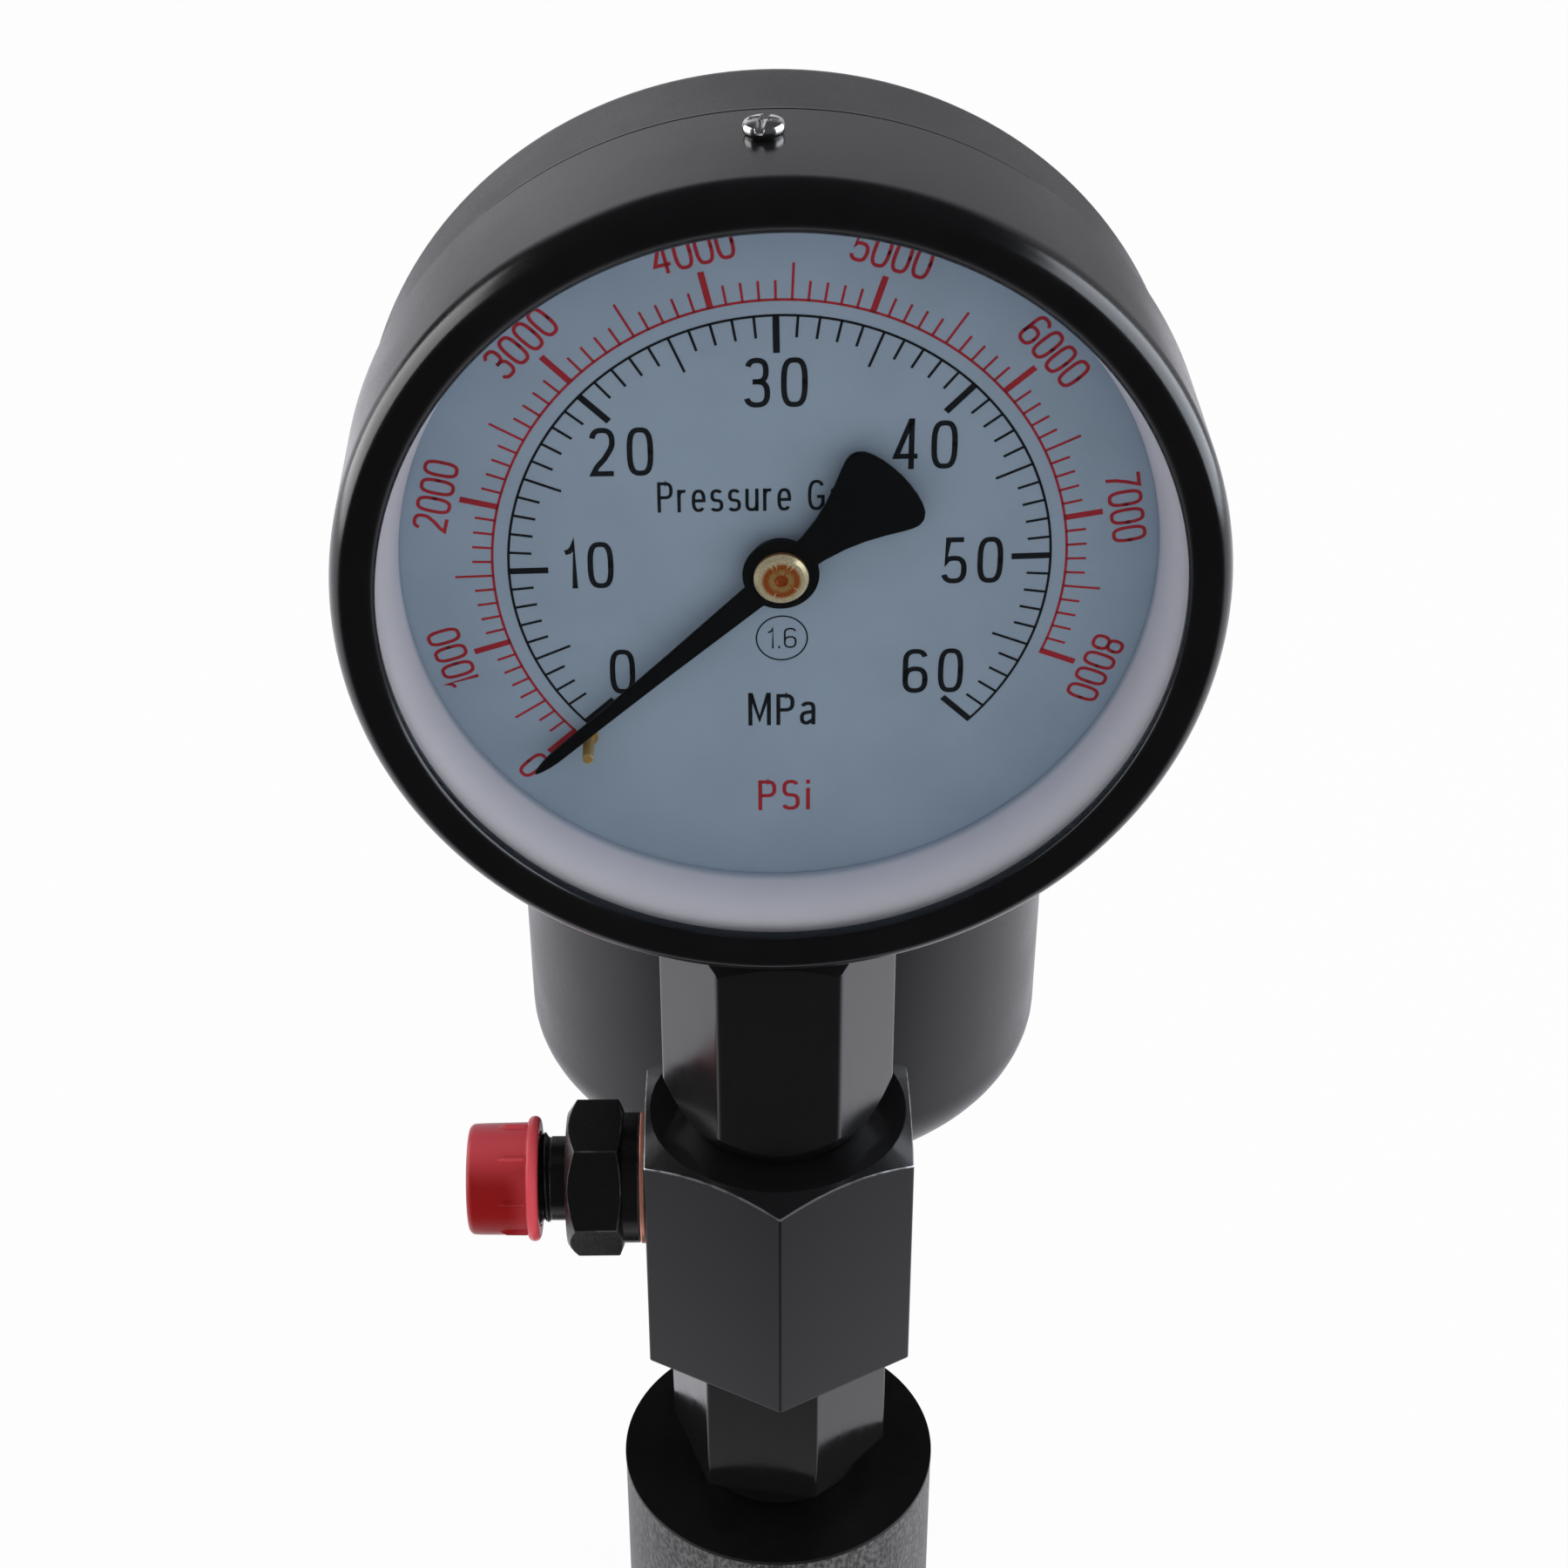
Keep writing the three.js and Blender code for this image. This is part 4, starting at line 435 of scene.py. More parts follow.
@dataclass(frozen=True)
class Pane:
    """Clear flat glass, thin enough to show what lies behind as it is."""

    name: str
    film: float = 0.1

    def make(self) -> bpy.types.Material:
        """Build the node sheet of the finish.

        Returns:
            The material.
        """
        sheet = Sheet(self.name)
        haze = sheet.noise(sheet.place(), 0.2, 3.0)
        values = {
            "Base Color": (0.01, 0.012, 0.014, 1.0),
            "Roughness": 0.03 + haze * 0.04,
            "Alpha": self.film,
            "Specular IOR Level": 0.5,
        }
        return sheet.surface(values)


class Finishes:
    """All the finishes of the tester, each made once and kept by name."""

    def __init__(self) -> None:
        """Make every material."""
        kinds = [
            # cast paint: the second colour is a painted highlight on the wrinkles' crests
            WrinklePaint("cast_paint", tone(30, 30, 31), tone(112, 110, 110)),
            Steel("machined_black", tone(14, 14, 15), 0.4, 0.2, stretch=(0.2, 0.2, 1.0), wear=0.0),
            Steel("block_black", tone(22, 22, 24), 0.2, 0.5, wear=0.75, bright=(0.5, 0.5, 0.53, 1.0),
                  cloud=0.06),
            Steel("adapter_black", tone(20, 20, 21), 0.2, 0.5, wear=0.0, cloud=0.06),
            Steel("neck_black", tone(22, 22, 22), 0.12, 0.5, depth=0.001, wear=0.0, cloud=0.06),
            Steel("union_black", tone(14, 14, 15), 0.26, 0.5, depth=0.0008, wear=0.2, cloud=0.06),
            Steel("bright_steel", tone(190, 188, 184), 0.28, 0.5, 1.0, wear=0.2),
            Steel("ground_rod", tone(196, 195, 192), 0.2, 0.5, 1.0, (0.05, 1.0, 1.0), wear=0.1),
            Steel("spring_steel", tone(120, 118, 116), 0.35, 0.5, 1.0, wear=0.2),
            Steel("nickel", tone(222, 220, 220), 0.16, 0.5, 1.0, depth=0.002, wear=0.0, cloud=0.06),
            Steel("copper", tone(248, 172, 150), 0.34, 0.5, 0.7, wear=0.0, cloud=0.1),
            Steel("brass", tone(205, 170, 100), 0.42, 0.5, 0.55, depth=0.003, wear=0.9,
                  bright=tone(250, 232, 180), cloud=0.12),
            Coated("case_paint", tone(26, 26, 28), 0.3, 0.5, depth=0.002),
            Coated("bezel_paint", tone(10, 10, 12), 0.2, 0.5, depth=0.001),
            Coated("cup_paint", tone(14, 13, 14), 0.3, 0.45, depth=0.003),
            Coated("dial_paint", tone(153, 172, 192), 0.5, 0.2, 0.03, 0.25, 0.004, 3.0),
            # the bevel's colour is a painted highlight and the dimple's a painted warm reflection
            Lathed("cap_brass", tone(206, 166, 100), tone(255, 240, 196), tone(200, 104, 40)),
            # the second colour is painted shade at the ring's foot on the dial
            Moulded("spacer_white", tone(226, 226, 238), tone(160, 176, 196)),
            Coated("ink_black", tone(24, 28, 33), 0.55, 0.2, 0.1),
            Coated("ink_red", tone(168, 38, 50), 0.55, 0.2, 0.1),
            Coated("pointer_black", tone(12, 12, 13), 0.5, 0.12, depth=0.003),
            Coated("seal_rubber", tone(24, 24, 25), 0.7, 0.25, 0.2, 0.8, 0.02),
            # the second colour is a painted highlight on the flange and the end rim, and painted light from
            # above on the upper side
            Moulded("red_cap", tone(144, 8, 11), tone(248, 94, 106), 0.32, 0.22),
            Coated("grip_rubber", tone(26, 26, 27), 0.62, 0.3, 0.2, 0.8, 0.02),
            Coated("knob_black", tone(18, 18, 19), 0.3, 0.4, 0.1),
            Pane("glass"),
        ]
        self.kept = {kind.name: kind.make() for kind in kinds}

    def __getitem__(self, name: str) -> bpy.types.Material:
        """Give the material of a name."""
        return self.kept[name]


# Shapes


@dataclass
class Surface:
    """Points in millimetres, faces that join them and how far each lies on an edge, which on the caps and
    the spacer is a share of painted light.
    """

    points: np.ndarray
    quads: np.ndarray
    edge: np.ndarray
    sheets: list = field(default_factory=list)

    def __add__(self, other: "Surface") -> "Surface":
        """Put two surfaces together in one.

        Args:
            other: the other surface.

        Returns:
            Both, without merging their points.
        """
        shift = len(self.points)
        return Surface(
            np.concatenate([self.points, other.points]),
            np.concatenate([self.quads, other.quads + shift]),
            np.concatenate([self.edge, other.edge]),
            self.sheets + [sheet + shift for sheet in other.sheets],
        )

    def placed(self, origin: Sequence[float], turn: np.ndarray | None = None) -> "Surface":
        """Turn the surface and move it to its place.

        Args:
            origin: where the old origin goes.
            turn: three by three array whose columns are the new x, y and z, or nothing.

        Returns:
            The surface in its new place.
        """
        points = self.points if turn is None else self.points @ turn.T
        return replace(self, points=points + np.asarray(origin, float))


@dataclass(frozen=True)
class Outline:
    """A closed outline round an axis: directions, distances and share of edge."""

    direction: np.ndarray
    reach: np.ndarray
    edge: np.ndarray


def rounded(line: np.ndarray, soft: np.ndarray, steps: int, closed: bool) -> tuple:
    """Swap each corner of a line for a small arc with a held point at each side.

    A corner of half angle a is swapped for the arc of radius r that touches both
    sides at r divided by tan a from it, so its middle lies r divided by sin a away
    along the bisector, and the arc runs evenly between the two touching points.

    Args:
        line: points, shaped (columns, rows, 2).
        soft: radius at each row.
        steps: number of steps in each arc.
        closed: whether the last point joins the first.

    Returns:
        The new points and their share of edge.
    """
    before = np.roll(line, 1, axis=1) - line
    after = np.roll(line, -1, axis=1) - line
    length_before = np.maximum(np.linalg.norm(before, axis=2, keepdims=True), 1e-9)
    length_after = np.maximum(np.linalg.norm(after, axis=2, keepdims=True), 1e-9)
    unit_before = before / length_before
    unit_after = after / length_after
    cosine = np.clip((unit_before * unit_after).sum(axis=2, keepdims=True), -1.0, 0.999999)
    half = np.arccos(cosine) / 2.0
    room = 0.44 * np.minimum(length_before, length_after)
    touch = np.minimum(soft.reshape(1, -1, 1) / np.tan(half), room)
    if not closed:
        touch[:, [0, -1]] = 0.0
    radius = touch * np.tan(half)
    middle_way = unit_before + unit_after
    middle_way /= np.maximum(np.linalg.norm(middle_way, axis=2, keepdims=True), 1e-9)
    centre = line + middle_way * radius / np.sin(half)
    start = line + unit_before * touch
    end = line + unit_after * touch
    sweep = np.pi - 2.0 * half
    share = np.linspace(0.0, 1.0, steps + 1).reshape(1, 1, -1, 1)
    bend = sweep[:, :, None]
    round_enough = bend > 0.02
    divide = np.where(round_enough, np.sin(bend), 1.0)
    first = np.where(round_enough, np.sin((1.0 - share) * bend) / divide, 1.0 - share)
    second = np.where(round_enough, np.sin(share * bend) / divide, share)
    arc = centre[:, :, None]
    arc = arc + first * (start - centre)[:, :, None] + second * (end - centre)[:, :, None]
    flat = ~round_enough[..., 0]
    straight = (1.0 - share) * start[:, :, None] + share * end[:, :, None]
    arc = np.where(flat[..., None], straight, arc)
    hold = np.minimum(0.5 * touch, room * 0.1)
    points = np.concatenate(
        [(start + unit_before * hold)[:, :, None], arc, (end + unit_after * hold)[:, :, None]],
        axis=2,
    )
    turning = unit_before[..., 1] * unit_after[..., 0] - unit_before[..., 0] * unit_after[..., 1]
    convex = (turning > 0.05) & (touch[..., 0] > 1e-6)
    hill = np.concatenate([[0.0], 0.55 + 0.45 * np.sin(np.pi * share.ravel()), [0.0]])
    edge = convex[:, :, None] * hill.reshape(1, 1, -1)
    columns = line.shape[0]
    return points.reshape(columns, -1, 2), edge.reshape(columns, -1)


def ways(angle: np.ndarray) -> np.ndarray:
    """Give the direction of each angle, its cosine and its sine."""
    return np.stack([np.cos(angle), np.sin(angle)], axis=-1)


def spin(degrees: float) -> np.ndarray:
    """Give the turn about z by an angle, anticlockwise.

    Args:
        degrees: the angle.

    Returns:
        Three by three array whose columns are the new x, y and z.
    """
    cosine = math.cos(math.radians(degrees))
    sine = math.sin(math.radians(degrees))
    return np.array([(cosine, -sine, 0.0), (sine, cosine, 0.0), (0.0, 0.0, 1.0)])


def round_at(angle: np.ndarray) -> Outline:
    """Give a round outline with a point at each angle."""
    return Outline(ways(angle), np.ones(len(angle)), np.zeros(len(angle)))


def circle(count: int) -> Outline:
    """Give a round outline of a number of even steps."""
    return round_at(np.arange(count) * FULL_TURN / count)


def polygon(sides: int, across: float, first: float, soft: float, fill: int = 6) -> Outline:
    """Give a regular outline with softened corners.

    The corners lie at half the width over flats divided by the cosine of half a
    side's angle; each is swapped for a small arc and the flats are cut evenly.

    Args:
        sides: number of flats.
        across: width over the flats.
        first: angle of the first corner in degrees.
        soft: radius at the corners.
        fill: number of steps along each flat.

    Returns:
        The outline.
    """
    angle = np.radians(first) + np.arange(sides) * FULL_TURN / sides
    far = across / 2.0 / math.cos(math.pi / sides)
    corners = far * ways(angle)
    points, edge = rounded(corners[None], np.full(sides, soft), 4, True)
    points, edge = points[0], edge[0]
    after = np.roll(points, -1, axis=0)
    gap = np.linalg.norm(after - points, axis=1)
    long_gap = gap > across * 0.2
    share = np.linspace(0.0, 1.0, fill + 1)[:-1]
    cuts = points[:, None] + share[None, :, None] * (after - points)[:, None]
    keep = np.ones((len(points), fill), bool)
    keep[~long_gap, 1:] = False
    full_edge = np.zeros((len(points), fill))
    full_edge[:, 0] = edge
    points = cuts[keep]
    edge = full_edge[keep]
    reach = np.linalg.norm(points, axis=1)
    return Outline(points / reach[:, None], reach, edge)


def bow(centre: Row, radii: Row, start: float, stop: float, count: int = 10) -> list:
    """Give rows along part of an ellipse.

    Each row is the centre plus the radii times the cosine and sine of an angle
    that runs evenly from start to stop.

    Args:
        centre: radius and height of the ellipse's middle.
        radii: half width and half height.
        start: first angle in degrees.
        stop: last angle in degrees.
        count: number of steps.

    Returns:
        The rows, with no softening.
    """
    angle = np.radians(np.linspace(start, stop, count + 1))
    across = centre[0] + radii[0] * np.cos(angle)
    high = centre[1] + radii[1] * np.sin(angle)
    return [(a, h, 0.0) for a, h in zip(across.tolist(), high.tolist())]


def woven(
    points: np.ndarray,
    closed: tuple[bool, bool],
    edge: np.ndarray | None = None,
    flip: bool = False,
    capped: bool = False,
) -> Surface:
    """Join a sheet of points by a face between each point and its next neighbours.

    Args:
        points: the points, shaped (rows, columns, 3).
        closed: whether the last row, and the last column, join the first.
        edge: share of edge of each point, or nothing.
        flip: whether the faces are walked the other way round.
        capped: whether the first and the last row are filled by a flat face.

    Returns:
        The surface.
    """
    rows, columns = points.shape[:2]
    index = np.arange(rows * columns).reshape(rows, columns)
    beside = np.roll(index, -1, axis=0)
    corners = [index, beside, np.roll(beside, -1, axis=1), np.roll(index, -1, axis=1)]
    if flip:
        corners = [corners[0], *corners[:0:-1]]
    last_row = rows if closed[0] else rows - 1
    last_column = columns if closed[1] else columns - 1
    quads = np.stack(corners, axis=2)[:last_row, :last_column]
    caps = [index[0, ::-1], index[-1]] if flip else [index[0], index[-1, ::-1]]
    shares = np.zeros(rows * columns) if edge is None else edge.ravel()
    return Surface(points.reshape(-1, 3), quads.reshape(-1, 4), shares, caps if capped else [])


def column(
    outline: Outline,
    rows: Sequence[Row],
    soft: float = 0.25,
    steps: int = 3,
    ring: bool = False,
) -> Surface:
    """Carry a profile round an outline.

    A point is the outline's direction times the row's radius, at the row's height,
    where the radius and the height may differ from one direction to the next.

    Args:
        outline: the way round.
        rows: radius, height and, where it isn't the usual one, the softness.
        soft: usual radius at the rows' corners.
        steps: number of steps in each softened corner.
        ring: whether the profile closes on itself.

    Returns:
        The surface, its length along z.
    """
    count = len(outline.reach)
    radius = np.stack([np.broadcast_to(row[0], count) for row in rows], axis=1)
    height = np.stack([np.broadcast_to(row[1], count) for row in rows], axis=1)
    softness = np.array([row[2] if len(row) > 2 else soft for row in rows], float)
    line = np.stack([radius, height], axis=2).astype(float)
    line, edge = rounded(line, softness, steps, ring)
    points = np.empty((count, line.shape[1], 3))
    points[..., :2] = outline.direction[:, None] * line[..., :1]
    points[..., 2] = line[..., 1]
    full = np.abs(line[..., 0] - outline.reach[:, None]) < 0.02 * outline.reach[:, None]
    edge = np.maximum(edge, full * outline.edge[:, None])
    return woven(points, (True, ring), edge)


def hexed(outline: Outline, flat: float, end: float, slope: float, upwards: bool) -> list:
    """Give the two rows where a cone takes the corners off a hexagonal end.

    Outside the flat's radius the end falls by the slope times the distance, which
    draws a curved line on every facet.

    Args:
        outline: outline of the hexagon.
        flat: radius of the flat that is left.
        end: height of the end.
        slope: fall of the cone for each millimetre outwards.
        upwards: whether the end looks up.

    Returns:
        The rows, in the order in which the profile meets them.
    """
    fall = np.maximum(outline.reach - flat, 0.0) * slope
    side = (outline.reach, end - fall if upwards else end + fall)
    top = (np.minimum(outline.reach, flat), end)
    return [side, top] if upwards else [top, side]


def plate(shape: np.ndarray, low: float, high: float, soft: float) -> Surface:
    """Make a flat plate from the outline of its face.

    Every ring is the outline moved inwards along its own normals, a quarter round
    at each face, and the two faces are single flat sheets.

    Args:
        shape: points of the outline, anticlockwise, shaped (points, 2).
        low: height of one face.
        high: height of the other face.
        soft: radius of the rounded rims.

    Returns:
        The plate, its thickness along z.
    """
    ahead = np.roll(shape, -1, axis=0) - np.roll(shape, 1, axis=0)
    ahead /= np.maximum(np.linalg.norm(ahead, axis=1, keepdims=True), 1e-9)
    inwards = np.stack([-ahead[:, 1], ahead[:, 0]], axis=1)
    angle = np.linspace(0.0, np.pi / 2.0, 4)
    inset = soft * np.concatenate([1.0 - np.sin(angle), 1.0 - np.cos(angle)])
    height = np.concatenate([low + soft * (1.0 - np.cos(angle)), high - soft * (1.0 - np.sin(angle))])
    rings = len(inset)
    count = len(shape)
    points = np.empty((rings, count, 3))
    points[..., :2] = shape[None] + inwards[None] * inset[:, None, None]
    points[..., 2] = height[:, None]
    edge = np.zeros((rings, count))
    edge[1:-1] = 1.0
    return woven(points, (False, True), edge, flip=True, capped=True)


def bars(first: np.ndarray, last: np.ndarray, half: np.ndarray, low: float, high: float) -> Surface:
    """Make many straight bars at once.

    A bar's corners are its two ends moved half its width to either side.

    Args:
        first: one end of each bar, shaped (bars, 2).
        last: the other end of each bar.
        half: half the width of each bar.
        low: height of the lower faces.
        high: height of the upper faces.

    Returns:
        The bars, closed, their thickness along z.
    """
    run = last - first
    run = run / np.linalg.norm(run, axis=1, keepdims=True)
    side = np.stack([-run[:, 1], run[:, 0]], axis=1) * half[:, None]
    ring = np.stack([first - side, last - side, last + side, first + side], axis=1)
    points = np.empty((len(first), 2, 4, 3))
    points[..., :2] = ring[:, None]
    points[:, 0, :, 2] = low
    points[:, 1, :, 2] = high
    corner = np.array([
        [3, 2, 1, 0], [4, 5, 6, 7], [0, 1, 5, 4], [1, 2, 6, 5], [2, 3, 7, 6], [3, 0, 4, 7],
    ])
    quads = (np.arange(len(first)) * 8)[:, None, None] + corner[None]
    return Surface(points.reshape(-1, 3), quads.reshape(-1, 4), np.zeros(points.size // 3))


def arc_line(radius: float, width: float, start: float, stop: float, low: float, high: float) -> Surface:
    """Make a thin line along an arc.

    Its points lie at the radius plus or minus half the width, at even angles.

    Args:
        radius: radius of the line's middle.
        width: width of the line.
        start: first angle in degrees.
        stop: last angle in degrees.
        low: height of the lower face.
        high: height of the upper face.

    Returns:
        The line, closed, its thickness along z.
    """
    count = max(int(abs(stop - start) / 1.5), 8)
    angle = np.radians(np.linspace(start, stop, count + 1))
    across = radius + width / 2.0 * np.array([-1.0, 1.0, 1.0, -1.0])
    points = np.empty((count + 1, 4, 3))
    points[..., :2] = ways(angle)[:, None] * across[None, :, None]
    points[..., 2] = np.array([low, low, high, high])
    return woven(points, (False, True), flip=True, capped=True)


def worm(radius: float, depth: float, pitch: float, low: float, high: float) -> Surface:
    """Make a closed bar with a screw thread.

    The radius falls from the crest by the depth times a triangle wave of the
    height, which moves by one pitch in a full turn.

    Args:
        radius: radius over the crests.
        depth: depth of the grooves.
        pitch: height of one groove.
        low: height of the lower end.
        high: height of the upper end.

    Returns:
        The threaded bar, its length along z.
    """
    around, rows = 72, max(int((high - low) / pitch * 10), 12)
    turn = np.arange(around)[:, None] / around
    height = np.linspace(low, high, rows + 1)[None]
    wave = np.abs(((height / pitch - turn) % 1.0) * 2.0 - 1.0)
    fade = np.clip(np.minimum(height - low, high - height) / (0.6 * pitch), 0.0, 1.0)
    reach = radius - depth + depth * np.clip(wave * 1.35 - 0.15, 0.0, 1.0) * fade
    reach = np.pad(reach, ((0, 0), (1, 1)))
    height = np.pad(height, ((0, 0), (1, 1)), mode="edge")
    points = np.empty((around, rows + 3, 3))
    points[..., :2] = reach[..., None] * ways(FULL_TURN * turn)
    points[..., 2] = height
    edge = np.pad(np.clip(wave * 2.0 - 1.2, 0.0, 1.0), ((0, 0), (1, 1)))
    return woven(points, (True, False), edge)


def bend(centre: Row, radii: Row, start: float, stop: float, full: float = 2.6) -> list:
    """Give the points of a squarish bow, part of a letter.

    Both coordinates follow the cosine and sine of an even angle, raised to two
    divided by the fullness, which fills out the corners of an ellipse.

    Args:
        centre: x and y of the middle.
        radii: half width and half height.
        start: first angle in degrees.
        stop: last angle in degrees.
        full: 2 for an ellipse, more for fuller corners.

    Returns:
        The points.
    """
    angle = np.radians(np.linspace(start, stop, max(int(abs(stop - start) / 9.0), 4) + 1))
    x = np.sign(np.cos(angle)) * np.abs(np.cos(angle)) ** (2.0 / full)
    y = np.sign(np.sin(angle)) * np.abs(np.sin(angle)) ** (2.0 / full)
    return list(zip((centre[0] + radii[0] * x).tolist(), (centre[1] + radii[1] * y).tolist()))


LETTERS = {
    "0": [bend((0.23, 0.5), (0.23, 0.45), 0, 360, 3.0)],
    "1": [[(0.0, 0.78), (0.1, 0.81), (0.17, 0.88), (0.2, 1.0), (0.2, 0.0)]],
    "2": [bend((0.23, 0.715), (0.22, 0.235), 168, -12)
          + [(0.41, 0.56), (0.28, 0.37), (0.1, 0.19), (0.02, 0.05), (0.47, 0.05)]],
    "3": [bend((0.21, 0.735), (0.2, 0.215), 160, -90) + [(0.12, 0.52)],
          [(0.12, 0.52)] + bend((0.21, 0.285), (0.23, 0.235), 90, -160)],
    "4": [[(0.36, 0.0), (0.36, 1.0), (0.34, 1.0), (0.02, 0.27), (0.5, 0.27)]],
    "5": [[(0.43, 0.95), (0.08, 0.95), (0.04, 0.47)]
          + bend((0.22, 0.3), (0.23, 0.25), 128, -160)],
    "6": [bend((0.23, 0.3), (0.23, 0.25), 0, 360),
          bend((0.23, 0.715), (0.23, 0.235), 22, 180) + [(0.0, 0.3)]],
    "7": [[(0.0, 0.95), (0.45, 0.95), (0.3, 0.6), (0.2, 0.3), (0.16, 0.0)]],
    "8": [bend((0.23, 0.735), (0.2, 0.215), 0, 360), bend((0.23, 0.285), (0.23, 0.235), 0, 360)],
    ".": [[(0.03, 0.0), (0.03, 0.12)]],
    "P": [[(0.0, 0.0), (0.0, 0.95), (0.22, 0.95)] + bend((0.22, 0.72), (0.22, 0.23), 90, -90)
          + [(0.0, 0.49)]],
    "G": [bend((0.25, 0.5), (0.25, 0.45), 38, 318) + [(0.49, 0.2), (0.49, 0.45), (0.27, 0.45)]],
    "M": [[(0.0, 0.0), (0.0, 1.0), (0.03, 1.0), (0.29, 0.2), (0.55, 1.0), (0.58, 1.0), (0.58, 0.0)]],
    "S": [bend((0.22, 0.725), (0.2, 0.225), 28, 250) + bend((0.22, 0.275), (0.22, 0.225), 70, -155)],
    "a": [bend((0.19, 0.52), (0.17, 0.17), 158, 0) + [(0.36, 0.0)],
          [(0.36, 0.42), (0.2, 0.4)] + bend((0.17, 0.22), (0.17, 0.17), 100, 270) + [(0.36, 0.16)]],
    "e": [[(0.0, 0.37), (0.38, 0.37)] + bend((0.19, 0.37), (0.19, 0.32), 4, 318)],
    "g": [bend((0.19, 0.39), (0.19, 0.3), 0, 360),
          [(0.38, 0.74), (0.38, 0.0)] + bend((0.19, -0.03), (0.19, 0.17), -10, -150)],
    "i": [[(0.03, 0.0), (0.03, 0.73)], [(0.03, 0.87), (0.03, 1.0)]],
    "r": [[(0.0, 0.0), (0.0, 0.74)], bend((0.17, 0.47), (0.17, 0.22), 180, 72)],
    "s": [bend((0.18, 0.53), (0.16, 0.16), 30, 250) + bend((0.18, 0.21), (0.18, 0.16), 70, -150)],
    "u": [[(0.0, 0.74), (0.0, 0.25)] + bend((0.18, 0.25), (0.18, 0.2), 190, 350) + [(0.36, 0.3)],
          [(0.36, 0.74), (0.36, 0.0)]],
}


def ribbon(path: np.ndarray, width: float, low: float, high: float) -> Surface:
    """Carry a flat bar along a path.

    At each point the bar's two sides lie half the width away along the bisector of
    the path's two normals, lengthened at corners so that the width stays.

    Args:
        path: points of the middle line, shaped (points, 2).
        width: width of the bar.
        low: height of the lower face.
        high: height of the upper face.

    Returns:
        The bar, closed, its thickness along z.
    """
    run = np.diff(path, axis=0)
    run /= np.maximum(np.linalg.norm(run, axis=1, keepdims=True), 1e-9)
    first = np.concatenate([run[:1], run])
    second = np.concatenate([run, run[-1:]])
    if np.linalg.norm(path[0] - path[-1]) < 1e-6:
        first[0], second[-1] = run[-1], run[0]
    middle = first + second
    middle /= np.maximum(np.linalg.norm(middle, axis=1, keepdims=True), 1e-9)
    reach = 1.0 / np.clip((middle * first).sum(axis=1, keepdims=True), 0.45, 1.0)
    side = np.stack([-middle[:, 1], middle[:, 0]], axis=1) * reach * width / 2.0
    points = np.empty((len(path), 4, 3))
    points[:, [0, 3], :2] = (path - side)[:, None]
    points[:, [1, 2], :2] = (path + side)[:, None]
    points[..., 2] = np.array([low, low, high, high])
    return woven(points, (False, True), capped=True)


@dataclass(frozen=True)
class Type:
    """One size of the dial's narrow letters."""

    high: float
    squeeze: float
    gap: float
    weight: float = 0.105

    def set(self, text: str) -> Surface:
        """Set a line of letters with its middle on the origin.

        Each letter's middle lines are squeezed, scaled and set one after another
        with the same gap between their inked sides.

        Args:
            text: what the letters say.

        Returns:
            The letters, facing along z.
        """
        at = 0.0
        total = None
        for letter in text:
            if letter == " ":
                at += 0.36
                continue
            strokes = [np.array(stroke) * (self.squeeze, 1.0) for stroke in LETTERS[letter]]
            right = max(float(stroke[:, 0].max()) for stroke in strokes)
            for stroke in strokes:
                path = (stroke + (at, 0.0)) * self.high
                bar = ribbon(path, self.weight * self.high, 0.0, PRINT_THICK)
                total = bar if total is None else total + bar
            at += right + self.weight + self.gap
        wide = (at - self.gap - self.weight) * self.high
        return total.placed((-wide / 2.0, -self.high / 2.0, 0.0))


def swung(shape: Surface, degrees: float) -> Surface:
    """Turn a shape about the column's axis, anticlockwise from above."""
    return shape.placed((0.0, 0.0, 0.0), spin(degrees))


# Pieces


@dataclass(frozen=True)
class Home:
    """Where a new piece belongs: its body, its slot and the node it stands for."""

    body: str
    slot: str
    node: str | None = None


def linked(name: str, data: bpy.types.ID) -> bpy.types.Object:
    """Put a new object in the scene, at the origin.

    Args:
        name: name of the object.
        data: its mesh, light or camera.

    Returns:
        The object.
    """
    made = bpy.data.objects.new(name, data)
    bpy.context.scene.collection.objects.link(made)
    return made


def smoothed(mesh: bpy.types.Mesh, sharp: float = 180.0) -> None:
    """Shade a mesh smoothly.

    Args:
        mesh: the mesh.
        sharp: angle in degrees past which an edge stays sharp.
    """
    mesh.polygons.foreach_set("use_smooth", np.ones(len(mesh.polygons), bool))
    if sharp < 180.0:
        mesh.set_sharp_from_angle(angle=math.radians(sharp))


def house(name: str, mesh: bpy.types.Mesh, home: Home, material: bpy.types.Material) -> bpy.types.Object:
    """Dress a mesh, make its object and hide the node that it stands for.

    Args:
        name: name of the piece.
        mesh: its mesh, in metres.
        home: its body, slot and node.
        material: its finish.

    Returns:
        The object, which still has to ride on its body.
    """
    mesh.materials.clear()
    mesh.materials.append(material)
    piece = linked(name, mesh)
    if home.node:
        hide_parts(home.node)
    LOG.info("%s: %d faces, rides on %s", name, len(mesh.polygons), home.body)
    return piece


